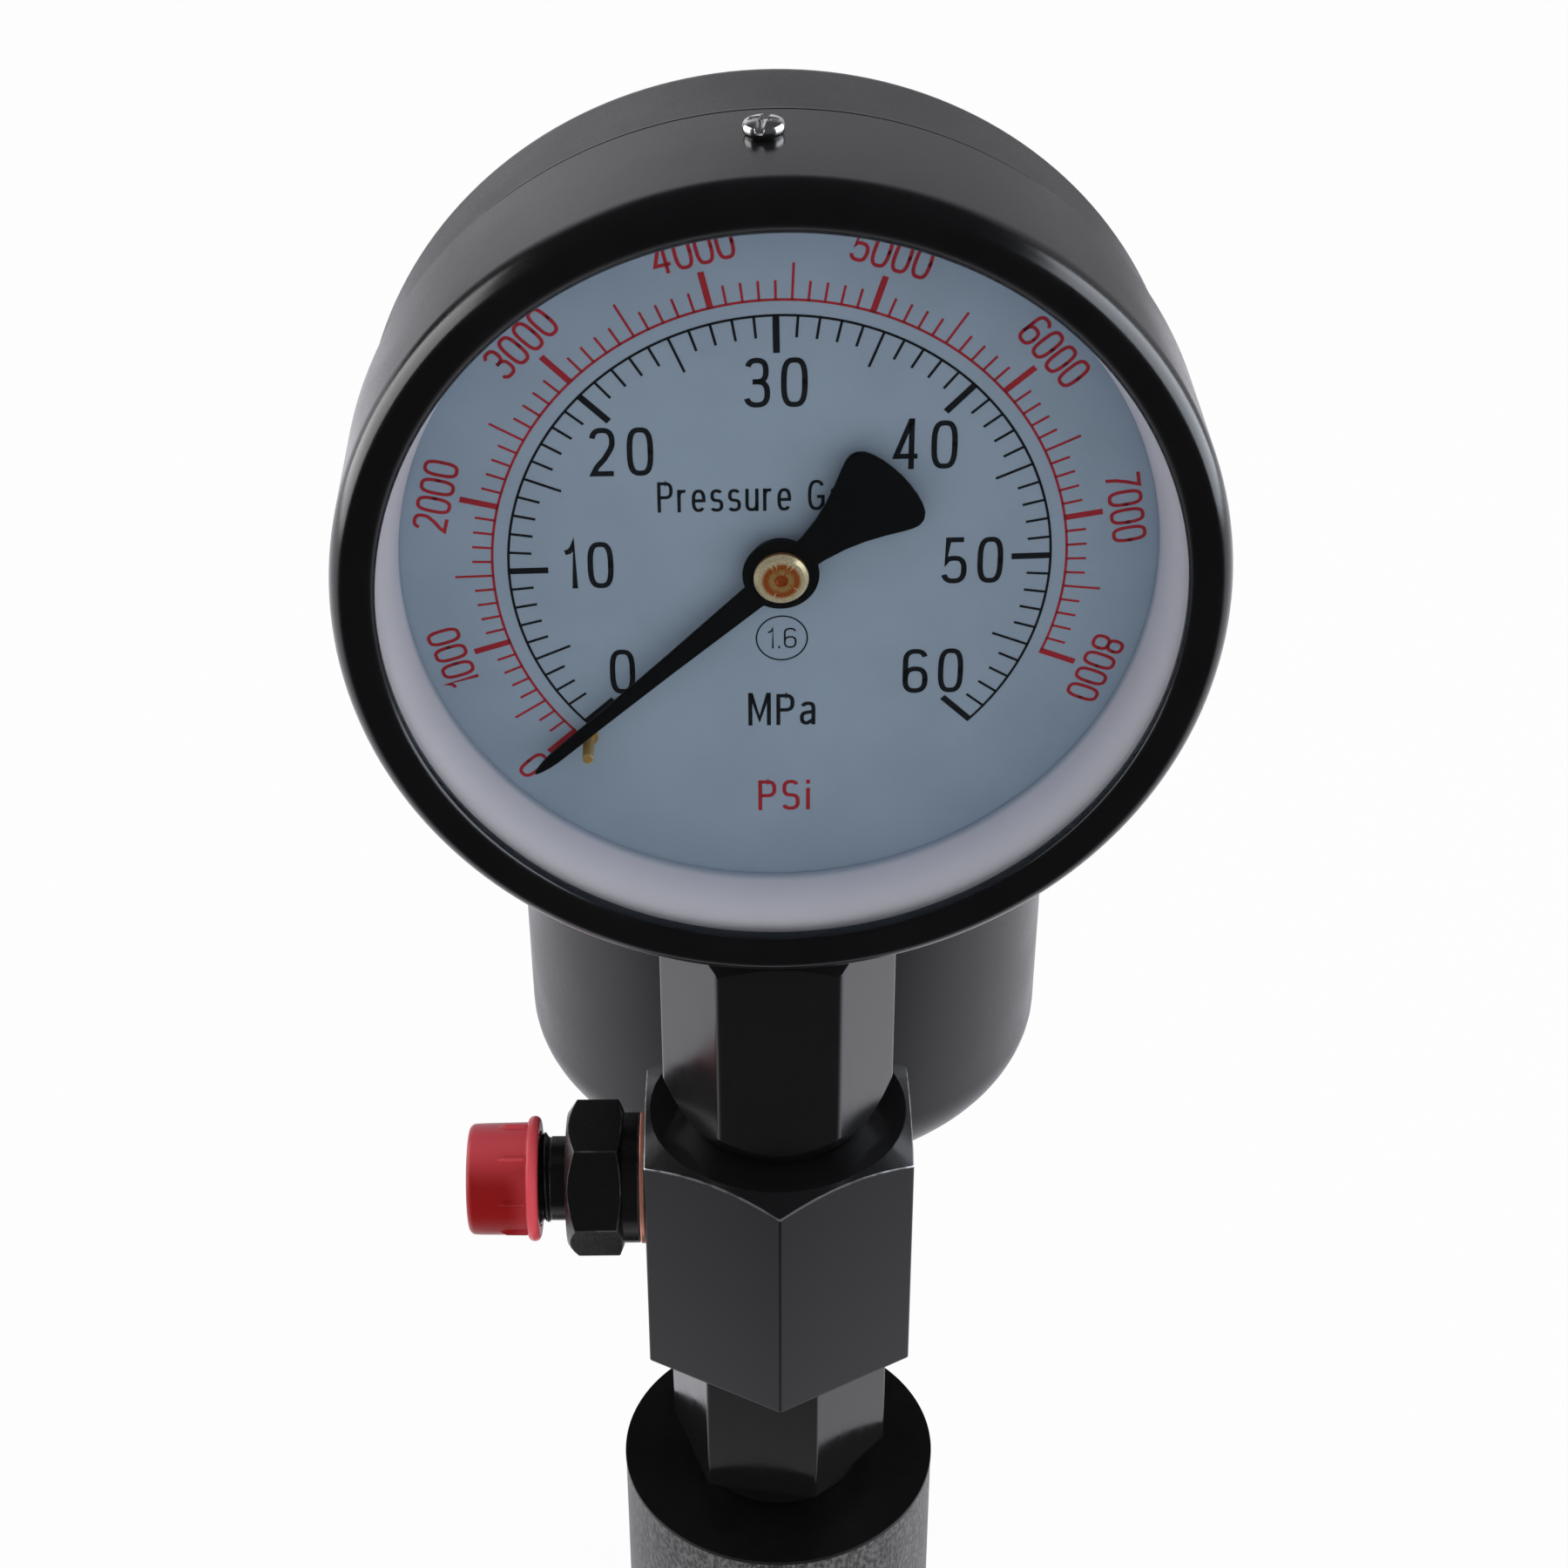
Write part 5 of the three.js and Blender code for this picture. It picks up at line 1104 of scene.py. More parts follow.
@dataclass
class Assembly:
    """A part of the tester that dresses its own pieces."""

    finishes: Finishes

    def ride(self, name: str, mesh: bpy.types.Mesh, finish: str, home: Home) -> None:
        """Dress a mesh whose piece moves with one body."""
        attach(house(name, mesh, home, self.finishes[finish]), home.body)

    def settle(self, name: str, shape: Surface, finish: str, home: Home, sharp: float = 38.0) -> None:
        """Turn a surface into a piece of the scene.

        Args:
            name: name of the piece.
            shape: the surface, in millimetres.
            finish: name of its finish.
            home: its body, slot and node.
            sharp: angle in degrees past which an edge stays sharp.
        """
        mesh = bpy.data.meshes.new(name)
        faces = shape.quads.tolist() + [sheet.tolist() for sheet in shape.sheets]
        mesh.from_pydata((shape.points * MM).tolist(), [], faces)
        layer = mesh.attributes.new("edge", "FLOAT", "POINT")
        layer.data.foreach_set("value", shape.edge.astype(np.float32))
        work = bmesh.new()
        work.from_mesh(mesh)
        bmesh.ops.remove_doubles(work, verts=work.verts, dist=2e-6)
        bmesh.ops.dissolve_degenerate(work, edges=work.edges, dist=1e-7)
        bmesh.ops.recalc_face_normals(work, faces=work.faces)
        work.to_mesh(mesh)
        work.free()
        smoothed(mesh, sharp)
        self.ride(name, mesh, finish, home)


# Gauge


@dataclass
class DialPrint:
    """The two scales of the dial, their numbers and the words between them."""

    zero: float = 222.3
    black_arc: float = 34.6
    red_arc: float = 36.66
    line: float = 0.33
    black_end: float = -43.8
    red_end: float = -21.7
    red_numbers: float = 44.5
    ringed: tuple[float, float] = (0.2, -11.0)

    def scale(self, turns: np.ndarray, radius: float, reach: np.ndarray, width: np.ndarray) -> Surface:
        """Draw the marks of a scale.

        Each mark runs from the arc to its own reach along its own angle.

        Args:
            turns: angle of each mark in degrees.
            radius: radius of the arc.
            reach: radius at the far end of each mark.
            width: width of each mark.

        Returns:
            The marks.
        """
        way = ways(np.radians(turns))
        return bars(way * radius, way * reach[:, None], width / 2.0, 0.0, PRINT_THICK)

    def ring(self, radius: float, width: float, start: float, stop: float) -> Surface:
        """Draw a line along an arc, on the dial."""
        return arc_line(radius, width, start, stop, 0.0, PRINT_THICK)

    def numbers(self, marks: dict, letters: Type) -> Surface:
        """Set words or numbers at their places.

        Args:
            marks: what is written, with its x, z and turn in degrees.
            letters: the size of letters.

        Returns:
            The words.
        """
        total = None
        for text, (x, z, turn) in marks.items():
            word = letters.set(text).placed((x, z, 0.0), spin(turn))
            total = word if total is None else total + word
        return total

    def black(self) -> Surface:
        """Draw everything that is printed in black.

        Returns:
            The scale up to 60, its numbers, the words and the ringed class.
        """
        value = np.arange(0, 61, 1.0)
        value = value[value != 1.0]
        turns = 90.85 - 4.4884 * (value - 30.0)
        turns[0] = self.zero
        reach = np.where(value % 5.0 == 0.0, 29.6, 31.7)
        width = np.where(value % 10.0 == 0.0, 0.85, 0.34)
        ink = self.scale(turns, self.black_arc + self.line / 2.0, reach, width)
        ink += self.ring(self.black_arc, self.line, self.black_end, self.zero)
        figures = {
            "0": (-20.6, -15.7, 0.0), "10": (-24.5, 0.3, 0.0), "20": (-19.8, 16.4, 0.0),
            "30": (-0.5, 25.6, 0.0), "40": (18.1, 16.7, 0.0), "50": (24.6, 0.1, 0.0),
            "60": (20.0, -16.4, 0.0),
        }
        ink += self.numbers(figures, Type(6.7, 0.84, 0.2))
        ink += self.numbers({"Pressure Gauge": (-0.4, 9.9, 0.0)}, Type(4.3, 0.8, 0.13, 0.1))
        ink += self.numbers({"1.6": (*self.ringed, 0.0)}, Type(3.1, 1.0, 0.16, 0.075))
        ink += self.numbers({"MPa": (0.2, -22.0, 0.0)}, Type(4.8, 0.88, 0.15, 0.11))
        return ink + self.ring(3.3, 0.2, 0.0, 360.0).placed((*self.ringed, 0.0))

    def red(self) -> Surface:
        """Draw everything that is printed in red.

        Returns:
            The scale up to 8000, its numbers round it and its unit.
        """
        value = np.concatenate([[0.0], np.arange(3, 88, 1.0)])
        turns = 197.16 - 3.127 * (value - 10.0)
        turns[0] = self.zero
        keep = turns > self.red_end - 0.5
        value, turns = value[keep], turns[keep]
        reach = np.where(value % 5.0 == 0.0, 41.5, 39.2)
        width = np.where(value % 10.0 == 0.0, 0.8, 0.32)
        ink = self.scale(turns, self.red_arc - self.line / 2.0, reach, width)
        ink += self.ring(self.red_arc, self.line, self.red_end, self.zero)
        figures = {}
        for number, turn in enumerate((222.4, 197.2, 166.2, 135.1, 103.7, 72.3, 40.9, 9.6, -21.7)):
            x, z = self.red_numbers * ways(np.radians(turn))
            figures[str(number * 1000)] = (x, z, turn - 90.0)
        ink += self.numbers(figures, Type(4.4, 0.9, 0.07))
        return ink + self.numbers({"PSi": (0.5, -35.6, 0.0)}, Type(4.8, 0.9, 0.15, 0.11))


@dataclass
class Gauge(Assembly):
    """The pressure gauge: case, bezel, glass, dial, print and pointer."""

    origin: Tone = (0.0, -12.87, 307.7)
    around: int = 192
    case_radius: float = 55.0
    case_back: float = 30.6
    case_wall: float = 1.2
    bezel_radius: float = 56.4
    bezel_rear: float = 12.5
    notch: float = 8.6
    notch_from: float = 4.27
    window_radius: float = 53.4
    window_front: float = -10.4
    window_rear: float = -8.4
    rest_turn: float = 222.3
    stop_turn: float = 225.2
    screwed_up: float = 2.6

    def put(self, shape: Surface, along: Along = Along.BACK) -> Surface:
        """Point a shape's length its way, move it to the gauge and turn it with the gauge."""
        return swung(shape.placed(self.origin, along.turn()), self.screwed_up)

    def slotted(self, shape: Surface, from_height: float) -> Surface:
        """Cut the notch at the bottom by drawing the rear rows forwards.

        Points within the notch's width at the bottom, and on its side columns, have
        their height held at the notch's front edge.

        Args:
            shape: the turned ring, its length along z.
            from_height: height of the notch's front edge.

        Returns:
            The ring with its notch.
        """
        points = shape.points.copy()
        inside = (np.abs(points[:, 0]) < self.notch - 0.01) & (points[:, 1] > 0.0)
        points[inside, 2] = np.minimum(points[inside, 2], from_height)
        return replace(shape, points=points)

    def notched_outline(self, radius: float) -> Outline:
        """Give a circle with doubled directions at both sides of the notch.

        Args:
            radius: radius at which the notch has its width.

        Returns:
            The outline.
        """
        side = math.asin(self.notch / radius)
        tiny = 1e-4
        extra = np.array([-side - tiny, -side + tiny, side - tiny, side + tiny]) + np.pi / 2.0
        base = np.arange(self.around) * FULL_TURN / self.around
        return round_at(np.sort(np.concatenate([base, extra])))

    def bezel(self) -> Surface:
        """Turn the rolled front ring and its skirt, a wall of one millimetre.

        The front is a quarter ellipse from the skirt to the crown and a flatter one
        from the crown down to the lip over the glass.

        Returns:
            The ring with its notch.
        """
        out, rear = self.bezel_radius, self.bezel_rear
        rows = [
            (out - 1.0, rear, 0.2), (out - 0.1, rear, 0.35), (out - 0.1, rear - 0.8, 0.2),
            (out - 0.3, rear - 1.0, 0.1), (out, rear - 1.3, 0.1), (out, self.notch_from, 0.0),
            *bow((out - 2.6, -9.0), (2.6, 4.5), 0.0, -90.0, 14),
            *bow((out - 3.0, -11.8), (3.0, 1.7), -90.0, -165.0, 14),
            (50.7, -10.45, 0.1), (out - 2.0, -9.0, 0.5), (out - 1.0, -6.0, 0.5),
            (out - 1.0, self.notch_from, 0.0),
        ]
        shape = column(self.notched_outline(out), rows, 0.2, 3, True)
        return self.put(self.slotted(shape, self.notch_from))

    def case(self) -> Surface:
        """Turn the deep pan behind the bezel, its back edge rounded.

        Returns:
            The pan, a closed shell.
        """
        out, back = self.case_radius, self.case_back
        inner, floor, step = out - self.case_wall, back - self.case_wall, back - 0.4
        rows = [
            (0.0, floor, 0.0), (inner - 1.0, floor, 1.0), (inner, floor - 1.0, 0.5), (inner, -2.0, 0.2),
            (out, -2.0, 0.2), (out, back, 3.0), (49.5, back, 0.6), (48.1, step, 0.6), (0.0, step, 0.0),
        ]
        return self.put(column(circle(self.around), rows, 0.3, 6))

    def glass(self) -> Surface:
        """Turn the flat pane.

        Returns:
            The pane.
        """
        out, front, rear = self.window_radius, self.window_front, self.window_rear
        rows = [(0.0, front), (out, front), (out, rear), (0.0, rear)]
        return self.put(column(circle(self.around), rows, 0.15))

    def band(self, inner: float, outer: float, low: float, high: float, soft: float) -> Surface:
        """Turn a flat ring of the gauge."""
        rows = [(inner, low), (outer, low), (outer, high), (inner, high)]
        return self.put(column(circle(self.around), rows, soft, 4, True))

    def spacer(self) -> Surface:
        """Turn the white ring round the dial, stepped in front to hold the seal.

        Its inner wall opens in a quarter ellipse from a thin foot on the dial; the
        share of edge here carries painted shade where the ring meets the dial: it
        falls from 1 at the foot to 0 a few millimetres in front of it.

        Returns:
            The ring.
        """
        wall = bow((51.9, -0.1), (3.5, 8.2), 270.0, 180.0, 16)
        rows = [(53.0, -0.1), (53.0, -7.0), (52.4, -7.0), (52.4, -8.3), *wall]
        shape = column(circle(self.around), rows, 0.1, 3, True)
        # painted shade at the ring's foot on the dial, carried as the share of edge
        foot = np.clip((shape.points[:, 2] + 2.0) / 1.8, 0.0, 1.0)
        return self.put(replace(shape, edge=foot))

    def needle(self) -> Surface:
        """Cut the pointer from sheet: needle, hub and fan tail.

        The outline is half the pointer's width against the distance from the hub's
        middle, drawn smoothly through the measured places and mirrored.

        Returns:
            The pointer with its boss.
        """
        tail = np.array([
            (-20.5, 0.0), (-20.42, 1.6), (-20.2, 3.2), (-19.8, 4.7), (-19.3, 5.75), (-18.5, 6.45),
            (-17.6, 6.65), (-16.7, 6.45), (-15.5, 5.9), (-13.5, 4.85), (-11.0, 3.7), (-8.5, 2.85),
            (-5.4, 2.15), (-4.4, 2.1),
        ])
        hub = 4.9 * ways(np.radians(np.linspace(152.0, 22.0, 27)))
        blade = np.array([
            (4.7, 1.75), (6.0, 1.7), (13.0, 1.45), (20.0, 1.2), (27.0, 1.02), (33.0, 0.89),
            (38.0, 0.85), (40.4, 0.8), (41.8, 0.66), (43.0, 0.42), (43.7, 0.2), (44.0, 0.0),
        ])
        upper = np.concatenate([tail, hub, blade])
        lower = upper[-2:0:-1] * (1.0, -1.0)
        shape = np.concatenate([upper, lower])[::-1]
        flat = plate(shape @ spin(self.rest_turn)[:2, :2].T, 2.4, 3.0, 0.12)
        rows = [(0.0, 0.6), (4.2, 0.6), (4.2, 1.4), (3.5, 1.6), (3.5, 2.45), (0.0, 2.45)]
        boss = column(circle(64), rows, 0.15)
        return self.put(flat + boss, Along.FRONT)

    def cap(self) -> Surface:
        """Turn the brass cap with its chamfered rim and its centre dimple.

        Its share of edge carries painted light: 1 on the chamfer for a painted highlight and 0.5 in the
        dimple for a painted warm reflection.

        Returns:
            The cap.
        """
        dimple = bow((0.0, 4.4), (0.85, 0.62), 270.0, 360.0, 8)
        rows = [(0.0, 3.2), (3.5, 3.2), (3.5, 3.85), (3.0, 4.4, 0.08), (0.95, 4.4, 0.12)]
        shape = column(circle(72), rows + dimple[::-1], 0.08)
        from_axis = np.hypot(shape.points[:, 0], shape.points[:, 1])
        # painted highlight on the bevel and painted warm reflection in the dimple, carried as the share of
        # edge
        bevel = (from_axis > 2.93) & (shape.points[:, 2] > 3.8)
        mark = np.where(bevel, 1.0, np.where(from_axis < 0.95, 0.5, 0.0))
        return self.put(replace(shape, edge=mark), Along.FRONT)

    def stop(self) -> Surface:
        """Turn the pin that the pointer rests against.

        Returns:
            The pin, in its place on the dial.
        """
        rows = [
            (0.0, 0.1), (1.3, 0.1), (1.3, 0.5, 0.1), (0.75, 0.6, 0.1), (0.75, 5.8, 0.25), (0.0, 5.8),
        ]
        place = 36.0 * ways(np.radians(self.stop_turn))
        return self.put(column(circle(32), rows, 0.1).placed((*place, 0.0)), Along.FRONT)

    def screw(self) -> Surface:
        """Turn a pan-head screw whose crossed slots fall into its dome.

        The head bulges at its side and closes in a low dome; its height is that form
        less the slots' depth, which comes in over a short wall wherever a point lies
        inside either slot. One of the slots runs out through the rim.

        Returns:
            The head, pointing up.
        """
        around, rings, sides = 120, 34, 8
        angle = np.arange(around)[:, None] * FULL_TURN / around
        radius = np.linspace(2.45, 0.0, rings)[None]
        dome = 1.15 + 0.8 * np.sqrt(np.clip(1.0 - (radius / 2.62) ** 2.2, 0.0, 1.0))
        lean = np.linspace(0.0, 1.0, sides)[None]
        side_radius = 2.1 + 0.5 * np.sin(np.pi * (0.12 + 0.66 * lean))
        side_height = lean * dome[:, :1]
        radius = np.concatenate([side_radius, radius[:, 1:]], axis=1)
        height = np.concatenate([side_height, dome[:, 1:]], axis=1) + np.zeros((around, 1))
        x, y = radius * np.cos(angle), radius * np.sin(angle)
        across = np.minimum(0.48 - np.abs(x), 1.75 - np.abs(y))
        along = 0.48 - np.abs(y)
        depth = np.clip(np.maximum(across, along) / 0.12 + 0.5, 0.0, 1.0)
        height = np.maximum(height - 0.95 * depth, np.minimum(height, 0.75))
        rows = sides + rings - 1
        points = np.empty((around, rows + 1, 3))
        points[:, 1:, 0], points[:, 1:, 1], points[:, 1:, 2] = x, y, height
        points[:, 0] = 0.0
        return woven(points, (True, False))

    def bezel_screw(self, turn: float) -> Surface:
        """Seat a screw on the bezel's skirt.

        Args:
            turn: its turn about the gauge's axis in degrees, 0 at the top.

        Returns:
            The screw, its head pointing away from the axis.
        """
        angle = math.radians(turn)
        out = np.array([math.sin(angle), 0.0, math.cos(angle)])
        back = np.array([0.0, 1.0, 0.0])
        side = np.cross(back, out)
        seat = np.array(self.origin) + out * (self.bezel_radius - 0.05) + back * 3.6
        tilt = math.radians(76.0)
        turned = math.cos(tilt) * side + math.sin(tilt) * back
        axes = np.stack([turned, np.cross(out, turned), out], axis=1)
        return swung(self.screw().placed(seat, axes), self.screwed_up)

    def case_screw(self, x: float) -> Surface:
        """Seat a screw on the back of the case, aside of its middle."""
        seat = np.array(self.origin) + (x, self.case_back, -43.9)
        return swung(self.screw().placed(seat, Along.REAR_SCREW.turn()), self.screwed_up)

    def build(self) -> None:
        """Build every piece of the gauge and dress it."""
        words = DialPrint()
        black, red = [self.put(ink, Along.FRONT) for ink in (words.black(), words.red())]
        window_seal = self.band(52.5, self.window_radius, -8.3, -7.1, 0.2)
        dial_plate = self.band(3.2, 52.6, 0.0, 0.8, 0.1)
        for name, shape, finish, home in (
            ("bezel", self.bezel(), "bezel_paint", Home("housing", "case_paint", "gauge_bezel")),
            ("case", self.case(), "case_paint", Home("housing", "case_paint", "gauge_case")),
            ("window", self.glass(), "glass", Home("housing", "glass", "gauge_glass")),
            ("window_seal", window_seal, "seal_rubber", Home("housing", "seal_rubber", "glass_seal")),
            ("spacer", self.spacer(), "spacer_white", Home("housing", "spacer_white", "spacer_ring")),
            ("dial_plate", dial_plate, "dial_paint", Home("housing", "dial_print", "dial")),
            ("print_black", black, "ink_black", Home("housing", "dial_print")),
            ("print_red", red, "ink_red", Home("housing", "dial_print")),
            ("needle", self.needle(), "pointer_black", Home("pointer_group", "pointer_black", "pointer")),
            ("needle_cap", self.cap(), "cap_brass", Home("pointer_group", "brass", "pointer_cap")),
            ("stop", self.stop(), "brass", Home("housing", "brass", "stop_pin")),
        ):
            self.settle(name, shape, finish, home)
        for number, turn in enumerate((-1.8, 118.2, 238.2), 1):
            home = Home("housing", "nickel", f"bezel_screw_{number}")
            self.settle(f"skirt_screw_{number}", self.bezel_screw(turn), "nickel", home)
        for number, x in enumerate((-6.6, 6.6), 1):
            home = Home("housing", "nickel", f"case_screw_{number}")
            self.settle(f"back_screw_{number}", self.case_screw(x), "nickel", home)


# Fittings and outlet


@dataclass
class Fittings(Assembly):
    """The hexagonal column from the pump to the gauge."""

    holder_across: float = 30.0
    holder_first: float = -9.0
    holder_foot: float = 114.8
    collar_low: float = 135.1
    collar_high: float = 139.8
    holder_top: float = 165.6
    nipple_top: float = 177.6
    block_across: float = 40.0
    block_low: float = 165.7
    block_top: float = 207.0
    adapter_across: float = 30.0
    adapter_corner: float = 17.3205
    adapter_low: float = 207.1
    adapter_top: float = 244.3
    stud: float = 9.0
    tightened: float = 1.5
    slope: float = math.tan(math.radians(30.0))

    def holder(self) -> Surface:
        """Draw the holder: threaded foot, round collar, hexagon and nipple.

        Returns:
            The holder.
        """
        outline = polygon(6, self.holder_across, self.holder_first, 0.5)
        rows = [
            (0.0, self.holder_foot), (12.0, self.holder_foot), (12.0, self.collar_low, 0.1),
            (13.0, self.collar_low), (13.0, self.collar_high, 0.2), (outline.reach, self.collar_high),
            *hexed(outline, 14.6, self.holder_top, self.slope, True),
            (self.stud, self.holder_top, 0.1), (self.stud, self.nipple_top), (0.0, self.nipple_top),
        ]
        return column(outline, rows, 0.3, 4)

    def block(self) -> Surface:
        """Draw the junction block with the cone that cuts its top corners.

        Only the rim of that cone has a share of edge.

        Returns:
            The block.
        """
        outline = polygon(6, self.block_across, 30.0, 0.4, 8)
        outline = replace(outline, edge=np.zeros(len(outline.edge)))
        top = hexed(outline, 19.3, self.block_top, self.slope, True)
        rows = [(0.0, self.block_low), (outline.reach, self.block_low), *top, (0.0, self.block_top)]
        shape = column(outline, rows, 0.35, 4)
        from_axis = np.hypot(shape.points[:, 0], shape.points[:, 1])
        rubbed = (shape.points[:, 2] > self.block_top - 7.0) & (from_axis > 19.7)
        return swung(replace(shape, edge=shape.edge * rubbed), self.tightened)

    def adapter(self) -> Surface:
        """Draw the gauge adapter with its coned foot and chamfered top.

        The foot's height grows evenly from the round seat to the corners.

        Returns:
            The adapter.
        """
        outline = polygon(6, self.adapter_across, 0.0, 1.1)
        start = self.adapter_low + 6.2 * (outline.reach - 13.0) / (self.adapter_corner - 13.0)
        rows = [
            (0.0, 197.1), (self.stud, 197.1), (self.stud, self.adapter_low, 0.1),
            (13.0, self.adapter_low, 0.2), (outline.reach, start, 0.3),
            *hexed(outline, 14.5, self.adapter_top, self.slope, True),
            (10.2, self.adapter_top, 0.1), (10.2, 232.0, 0.1), (0.0, 232.0),
        ]
        return swung(column(outline, rows, 0.3, 4), self.tightened)

    def build(self) -> None:
        """Build the fittings and dress them."""
        for name, shape, finish, node in (
            ("holder", self.holder(), "neck_black", "valve_holder"),
            ("junction", self.block(), "block_black", "junction_block"),
            ("adapter", self.adapter(), "adapter_black", "gauge_adapter"),
        ):
            self.settle(name, shape, finish, Home("housing", "black_steel", node), 30.0)


@dataclass
class Outlet(Assembly):
    """The side outlet: copper washer, union and ribbed red cap."""

    origin: Tone = (-20.0, 0.0, 193.1)
    tightened: float = 1.5
    washer_bore: float = 7.3
    washer_radius: float = 10.0
    nut_across: float = 21.0
    nut_from: float = 3.5
    nut_to: float = 12.0
    neck_radius: float = 6.4
    neck_to: float = 14.6
    thread_radius: float = 7.0
    thread_to: float = 25.3
    cap_radius: float = 8.5
    cap_bore: float = 7.3
    cap_from: float = 16.2
    cap_to: float = 27.0
    ribs: int = 8
    rib_high: float = 0.5

    def put(self, shape: Surface) -> Surface:
        """Point a shape's length out of the block's left face."""
        return swung(shape.placed(self.origin, Along.LEFT.turn()), self.tightened)

    def washer(self) -> Surface:
        """Turn the thin copper washer.

        Returns:
            The washer.
        """
        bore, out = self.washer_bore, self.washer_radius
        rows = [(bore, 0.1), (out, 0.1), (out, 0.9), (bore, 0.9)]
        return self.put(column(circle(96), rows, 0.2, 4, True))

    def union(self) -> Surface:
        """Draw the union: collar, hexagon, neck and threaded spigot.

        Returns:
            The union.
        """
        outline = polygon(6, self.nut_across, 0.0, 0.3)
        rows = [
            (0.0, 1.0), (9.9, 1.0), (9.9, self.nut_from, 0.1),
            *hexed(outline, 10.2, self.nut_from, 0.4, False), *hexed(outline, 10.0, self.nut_to, 0.7, True),
            (self.neck_radius, self.nut_to, 0.3), (self.neck_radius, self.neck_to, 0.2),
            (0.0, self.neck_to),
        ]
        thread = worm(self.thread_radius, 0.75, 1.5, self.neck_to - 0.2, self.thread_to)
        return self.put(column(outline, rows, 0.2, 4) + thread)

    def cap(self) -> Surface:
        """Draw the push-on cap, its short ribs standing on its skirt by the flange.

        The body's radius grows by the rib's height wherever the angle lies within a
        rib, and the ribs sink back into the body at their outer end. The share of edge
        carries painted light: a painted highlight on the flange and the rim of the end,
        and painted light from above on the upper side.

        Returns:
            The cap.
        """
        around = 288
        angle = np.arange(around) * FULL_TURN / around
        phase = (angle * self.ribs / FULL_TURN + 0.16) % 1.0 - 0.5
        aside = np.abs(phase) * FULL_TURN / self.ribs * self.cap_radius
        rib = self.rib_high * np.clip((0.42 - aside) / 0.25, 0.0, 1.0)
        bore, out, low, high = self.cap_bore, self.cap_radius, self.cap_from, self.cap_to
        rim = bow((out + 0.25, low + 0.9), (0.75, 0.9), -90.0, 90.0, 12)
        end = bow((out - 1.1, high - 1.0), (1.0, 1.0), 0.0, 90.0, 8)
        rows = [
            (0.0, high - 2.4, 0.0), (bore, high - 2.4, 0.4), (bore, low, 0.2), *rim,
            (out + 0.05 + rib, low + 1.85, 0.1), (out + rib, low + 5.0, 0.3), (out - 0.01, low + 6.0, 0.3),
            (out - 0.05, high - 2.0, 0.0), *end, (1.2, high, 0.2), (0.9, high - 0.3, 0.1),
            (0.0, high - 0.3, 0.0),
        ]
        shape = column(round_at(angle), rows, 0.3, 4)
        along = shape.points[:, 2]
        # painted highlight on the flange and the end rim, and painted light from above on the upper side,
        # carried as the share of edge
        flange = np.clip((low + 2.2 - along) / 0.6, 0.0, 1.0) * 0.7
        end_rim = np.clip((along - high + 1.0) / 0.6, 0.0, 1.0) * 0.35
        upper = np.clip(shape.points[:, 1] / out - 0.5, 0.0, 0.5) * 1.2
        mark = np.maximum(np.maximum(flange, end_rim), upper)
        return self.put(replace(shape, edge=mark))

    def build(self) -> None:
        """Build the outlet and dress it."""
        self.settle("washer", self.washer(), "copper", Home("housing", "copper", "outlet_washer"))
        self.settle("union", self.union(), "union_black",
                    Home("housing", "black_steel", "outlet_union"), 30.0)
        self.settle("red_cap", self.cap(), "red_cap", Home("cap", "red_cap", "outlet_cap"))


# Reservoir


